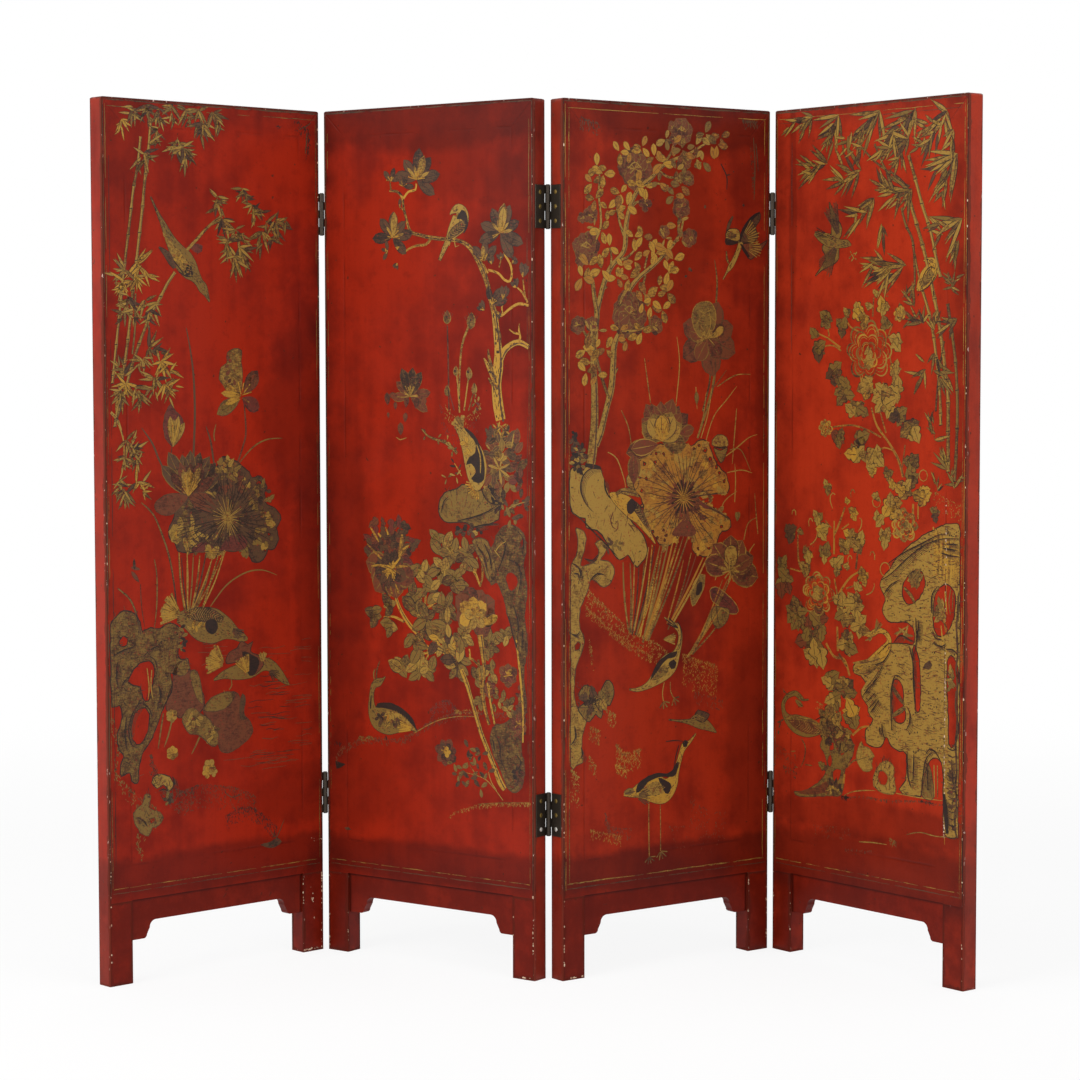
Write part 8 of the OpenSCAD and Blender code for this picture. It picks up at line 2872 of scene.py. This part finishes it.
BORDERS = {1: (Motif("border", frame_lines((Rule((8, 172), (8, 1528), 1.8, OLIVE, 0.7), Rule((15, 210), (15,
            1520), 1.6, INK, 0.6), Rule((4, 160), (4, 1534), 2.6, UMBER, 0.8)), (Rule((467, 172), (467,
            1528), 1.8, OLIVE, 0.6), Rule((472, 168), (472, 1534), 2.6, UMBER, 0.85), Rule((12, 1524), (466,
            1524), 1.6, OLIVE, 0.5)))), Motif("chips", (Chips((446, 205), (473, 205), 7, 2.2, 6),
            Chips((446, 150), (450, 60), 8, 2.2, 3), Chips((471, 3), (471, 150), 18, 3.2, 1.5), Chips((430,
            4), (470, 4), 10, 3.6, 2), Chips((427, 8), (428, 140), 9, 2.4, 1), Chips((3, 4), (3, 240), 9,
            2.6, 1), Chips((3, 700), (3, 1500), 10, 2.0, 1), Chips((472, 1200), (472, 1535), 9, 2.4, 1)))),
    2: (Motif("border", frame_lines((Rule((4, 160), (4, 1534), 2.4, UMBER, 0.8), Rule((9, 300), (9, 1500),
            1.4, OLIVE, 0.3, 60)), (Rule((465, 172), (465, 1530), 1.6, OLIVE, 0.8), Rule((461, 400), (461,
            1300), 1.4, UMBER, 0.5), Rule((471, 160), (471, 1535), 2.8, UMBER, 0.9)))), Motif("chips",
            (Chips((472, 8), (472, 150), 14, 2.8, 1), Chips((450, 3), (472, 3), 5, 3.0, 1.5), Chips((3, 6),
            (3, 150), 8, 2.6, 1), Chips((472, 300), (472, 1500), 18, 2.2, 1), Chips((48, 20), (48, 130), 5,
            2.0, 1), Chips((428, 8), (428, 120), 6, 2.2, 1)))), 3: (Motif("border", frame_lines((Rule((7,
            160), (7, 1530), 1.8, OCHRE, 0.7), Rule((15, 170), (15, 1524), 1.8, OCHRE, 0.8), Rule((3.6,
            160), (3.6, 1535), 2.6, UMBER, 0.9), Rule((11, 400), (11, 1300), 1.6, INK, 0.5)), (Rule((461,
            172), (461, 1522), 1.8, OCHRE, 0.7), Rule((471, 165), (471, 1534), 1.8, OLIVE, 0.8), Rule((466,
            300), (466, 1500), 1.6, UMBER, 0.5), Rule((12, 1523), (464, 1523), 1.8, OCHRE, 0.75), Rule((15,
            171), (460, 171), 1.6, OCHRE, 0.6)))), Motif("chips", (Chips((3, 10), (3, 160), 12, 2.6, 1),
            Chips((3, 200), (3, 1500), 22, 2.4, 1), Chips((472, 8), (472, 140), 10, 2.4, 1), Chips((428, 8),
            (428, 140), 8, 2.2, 1), Chips((10, 3), (44, 3), 5, 2.6, 1.5)))), 4: (Motif("border",
            frame_lines((Rule((7, 172), (7, 1524), 1.6, OLIVE, 0.5), Rule((3.6, 160), (3.6, 1534), 2.2,
            UMBER, 0.8), Rule((45, 1100), (45, 1480), 3.0, PLUM, 0.6)), (Rule((465, 160), (465, 1524), 1.6,
            OCHRE, 0.8), Rule((469.5, 160), (469.5, 1530), 1.6, OCHRE, 0.7), Rule((472, 160), (472, 1535),
            2.0, INK, 0.8), Rule((12, 1523), (462, 1523), 1.6, OCHRE, 0.7), Rule((14, 1516), (458, 1516),
            1.8, UMBER, 0.6), Rule((427, 262), (427, 800), 1.4, INK, 0.8), Rule((430, 250), (430, 780), 1.0,
            GOLD, 0.6)))), Motif("chips", (Chips((428.5, 262), (428.5, 560), 70, 2.8, 0.8), Chips((428.5,
            560), (428.5, 860), 36, 2.4, 0.8), Chips((472, 260), (472, 1500), 26, 2.6, 0.8), Chips((472,
            10), (472, 200), 8, 2.4, 1), Chips((3, 20), (3, 300), 8, 2.0, 1), Chips((48, 20), (48, 130), 5,
            2.0, 1)))),}


PAINTING = {n: (*motifs, *BORDERS[n]) for n, motifs in enumerate((PANEL_1, PANEL_2, PANEL_3, PANEL_4), 1)}


# ---------------------------------------------------------------- wood and metal

@dataclass
class Woodwork:
    """Gives one panel's CAD nodes their lacquer."""

    place: PanelPlace
    coat: Lacquer

    def dress(self) -> None:
        """Assigns the finishes to the panel's nodes."""
        number = self.place.number
        main = self.coat.build(self.place)
        dull = Lacquer(f"apron_lacquer_{number}", srgb(134, 32, 13), srgb(90, 18, 8), 0.016, 0.3, (),
                       True).build(self.place)
        back = PlainFinish(f"batten_coat_{number}", BACK_BROWN, srgb(28, 15, 11), BACK_WORN, 0.02).build()
        for part, material in (("stile_left", main), ("stile_right", main), ("top_rail", main),
                               ("bottom_rail", main), ("planks", main), ("apron", dull), ("battens", back)):
            paint_node(f"{part}_{number}", material)
        LOG.info("woodwork of panel %d: 7 nodes", number)


def paint_node(name: str, material: bpy.types.Material) -> None:
    """Gives a CAD node a material.

    Args:
        name: The node's name.
        material: Its finish.
    """
    mesh = frame["nodes"][name].data
    mesh.materials.clear()
    mesh.materials.append(material)


@dataclass
class Hardware:
    """Gives the hinges and their screws their metal."""

    iron: PlainFinish = PlainFinish("hinge_iron", srgb(62, 54, 46), srgb(30, 27, 24), srgb(110, 84, 50),
                                    -0.02, 0.75, 0.5)
    brass: PlainFinish = PlainFinish("screw_brass", srgb(140, 116, 62), srgb(66, 52, 28), srgb(40, 32, 24),
                                     0.0, 0.85, 0.5, srgb(226, 222, 214))

    def dress(self) -> None:
        """Assigns the metals to the hinge nodes and the screws."""
        iron, brass = self.iron.build(), self.brass.build()
        names = [n for n in frame["nodes"] if n.startswith("hinge_")]
        for name in names:
            paint_node(name, brass if name.startswith("hinge_screws") else iron)
        LOG.info("hardware: %d nodes", len(names))


COATS = {1: Lacquer("red_lacquer_1", srgb(150, 34, 13), srgb(110, 21, 9), stains=(Stain(440, 990, 130, 220,
            0.34), Stain(450, 700, 50, 300, 0.3), Stain(240, 186, 460, 46, 0.5, 0.7), Stain(60, 1440, 50,
            220, 0.25), Stain(420, 300, 140, 60, 0.3))), 2: Lacquer("red_lacquer_2", srgb(144, 33, 13),
        srgb(106, 21, 9), stains=(Stain(240, 184, 460, 44, 0.55, 0.7), Stain(40, 660, 80, 380, 0.3),
            Stain(240, 1516, 420, 70, 0.5, 0.9), Stain(60, 330, 120, 120, 0.25), Stain(440, 1300, 90, 300,
            0.35), Stain(300, 780, 120, 150, 0.3), Stain(330, 1440, 160, 90, 0.3))),
    3: Lacquer("red_lacquer_3", srgb(147, 38, 15), srgb(106, 22, 9), stains=(Stain(440, 400, 90, 230, 0.34),
            Stain(240, 184, 460, 44, 0.6, 0.7), Stain(460, 1060, 24, 200, 0.3), Stain(300, 1516, 360, 80,
            0.55, 0.9), Stain(420, 1440, 60, 120, 0.2), Stain(440, 760, 50, 120, 0.1), Stain(250, 1350, 110,
            200, 0.35), Stain(240, 700, 90, 220, 0.4))), 4: Lacquer("red_lacquer_4", srgb(163, 45, 20),
        srgb(122, 29, 13), stains=(Stain(237, 176, 460, 78, 0.58, 0.5), Stain(30, 800, 36, 200, 0.1),
            Stain(48, 1400, 12, 220, 0.35), Stain(440, 1440, 40, 160, 0.25), Stain(440, 1100, 60, 300,
            0.25), Stain(240, 270, 300, 40, 0.35, 1.2), Stain(410, 250, 120, 80, 0.22))),}


def main() -> None:
    """Builds the studio, dresses the woodwork and metal, and paints the panels."""
    logging.basicConfig(level=logging.INFO, format="%(name)s: %(message)s")
    Studio().build()
    places = {n: PanelPlace.read(n) for n in COATS}
    for number, place in places.items():
        Woodwork(place, COATS[number]).dress()
    Hardware().dress()
    stamps = StampSet()
    tree = PaintTree({pigment: finish.build() for pigment, finish in PIGMENTS.items()})
    for number, motifs in PAINTING.items():
        for index, motif in enumerate(motifs):
            brush = Brush(f"{motif.name}_{number}", places[number], 100 * number + index, motif.slot)
            for part in motif.parts:
                part.paint(brush)
            brush.finish(tree, stamps)
    stamps.clear()
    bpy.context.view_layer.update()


if __name__ == "__main__":
    main()
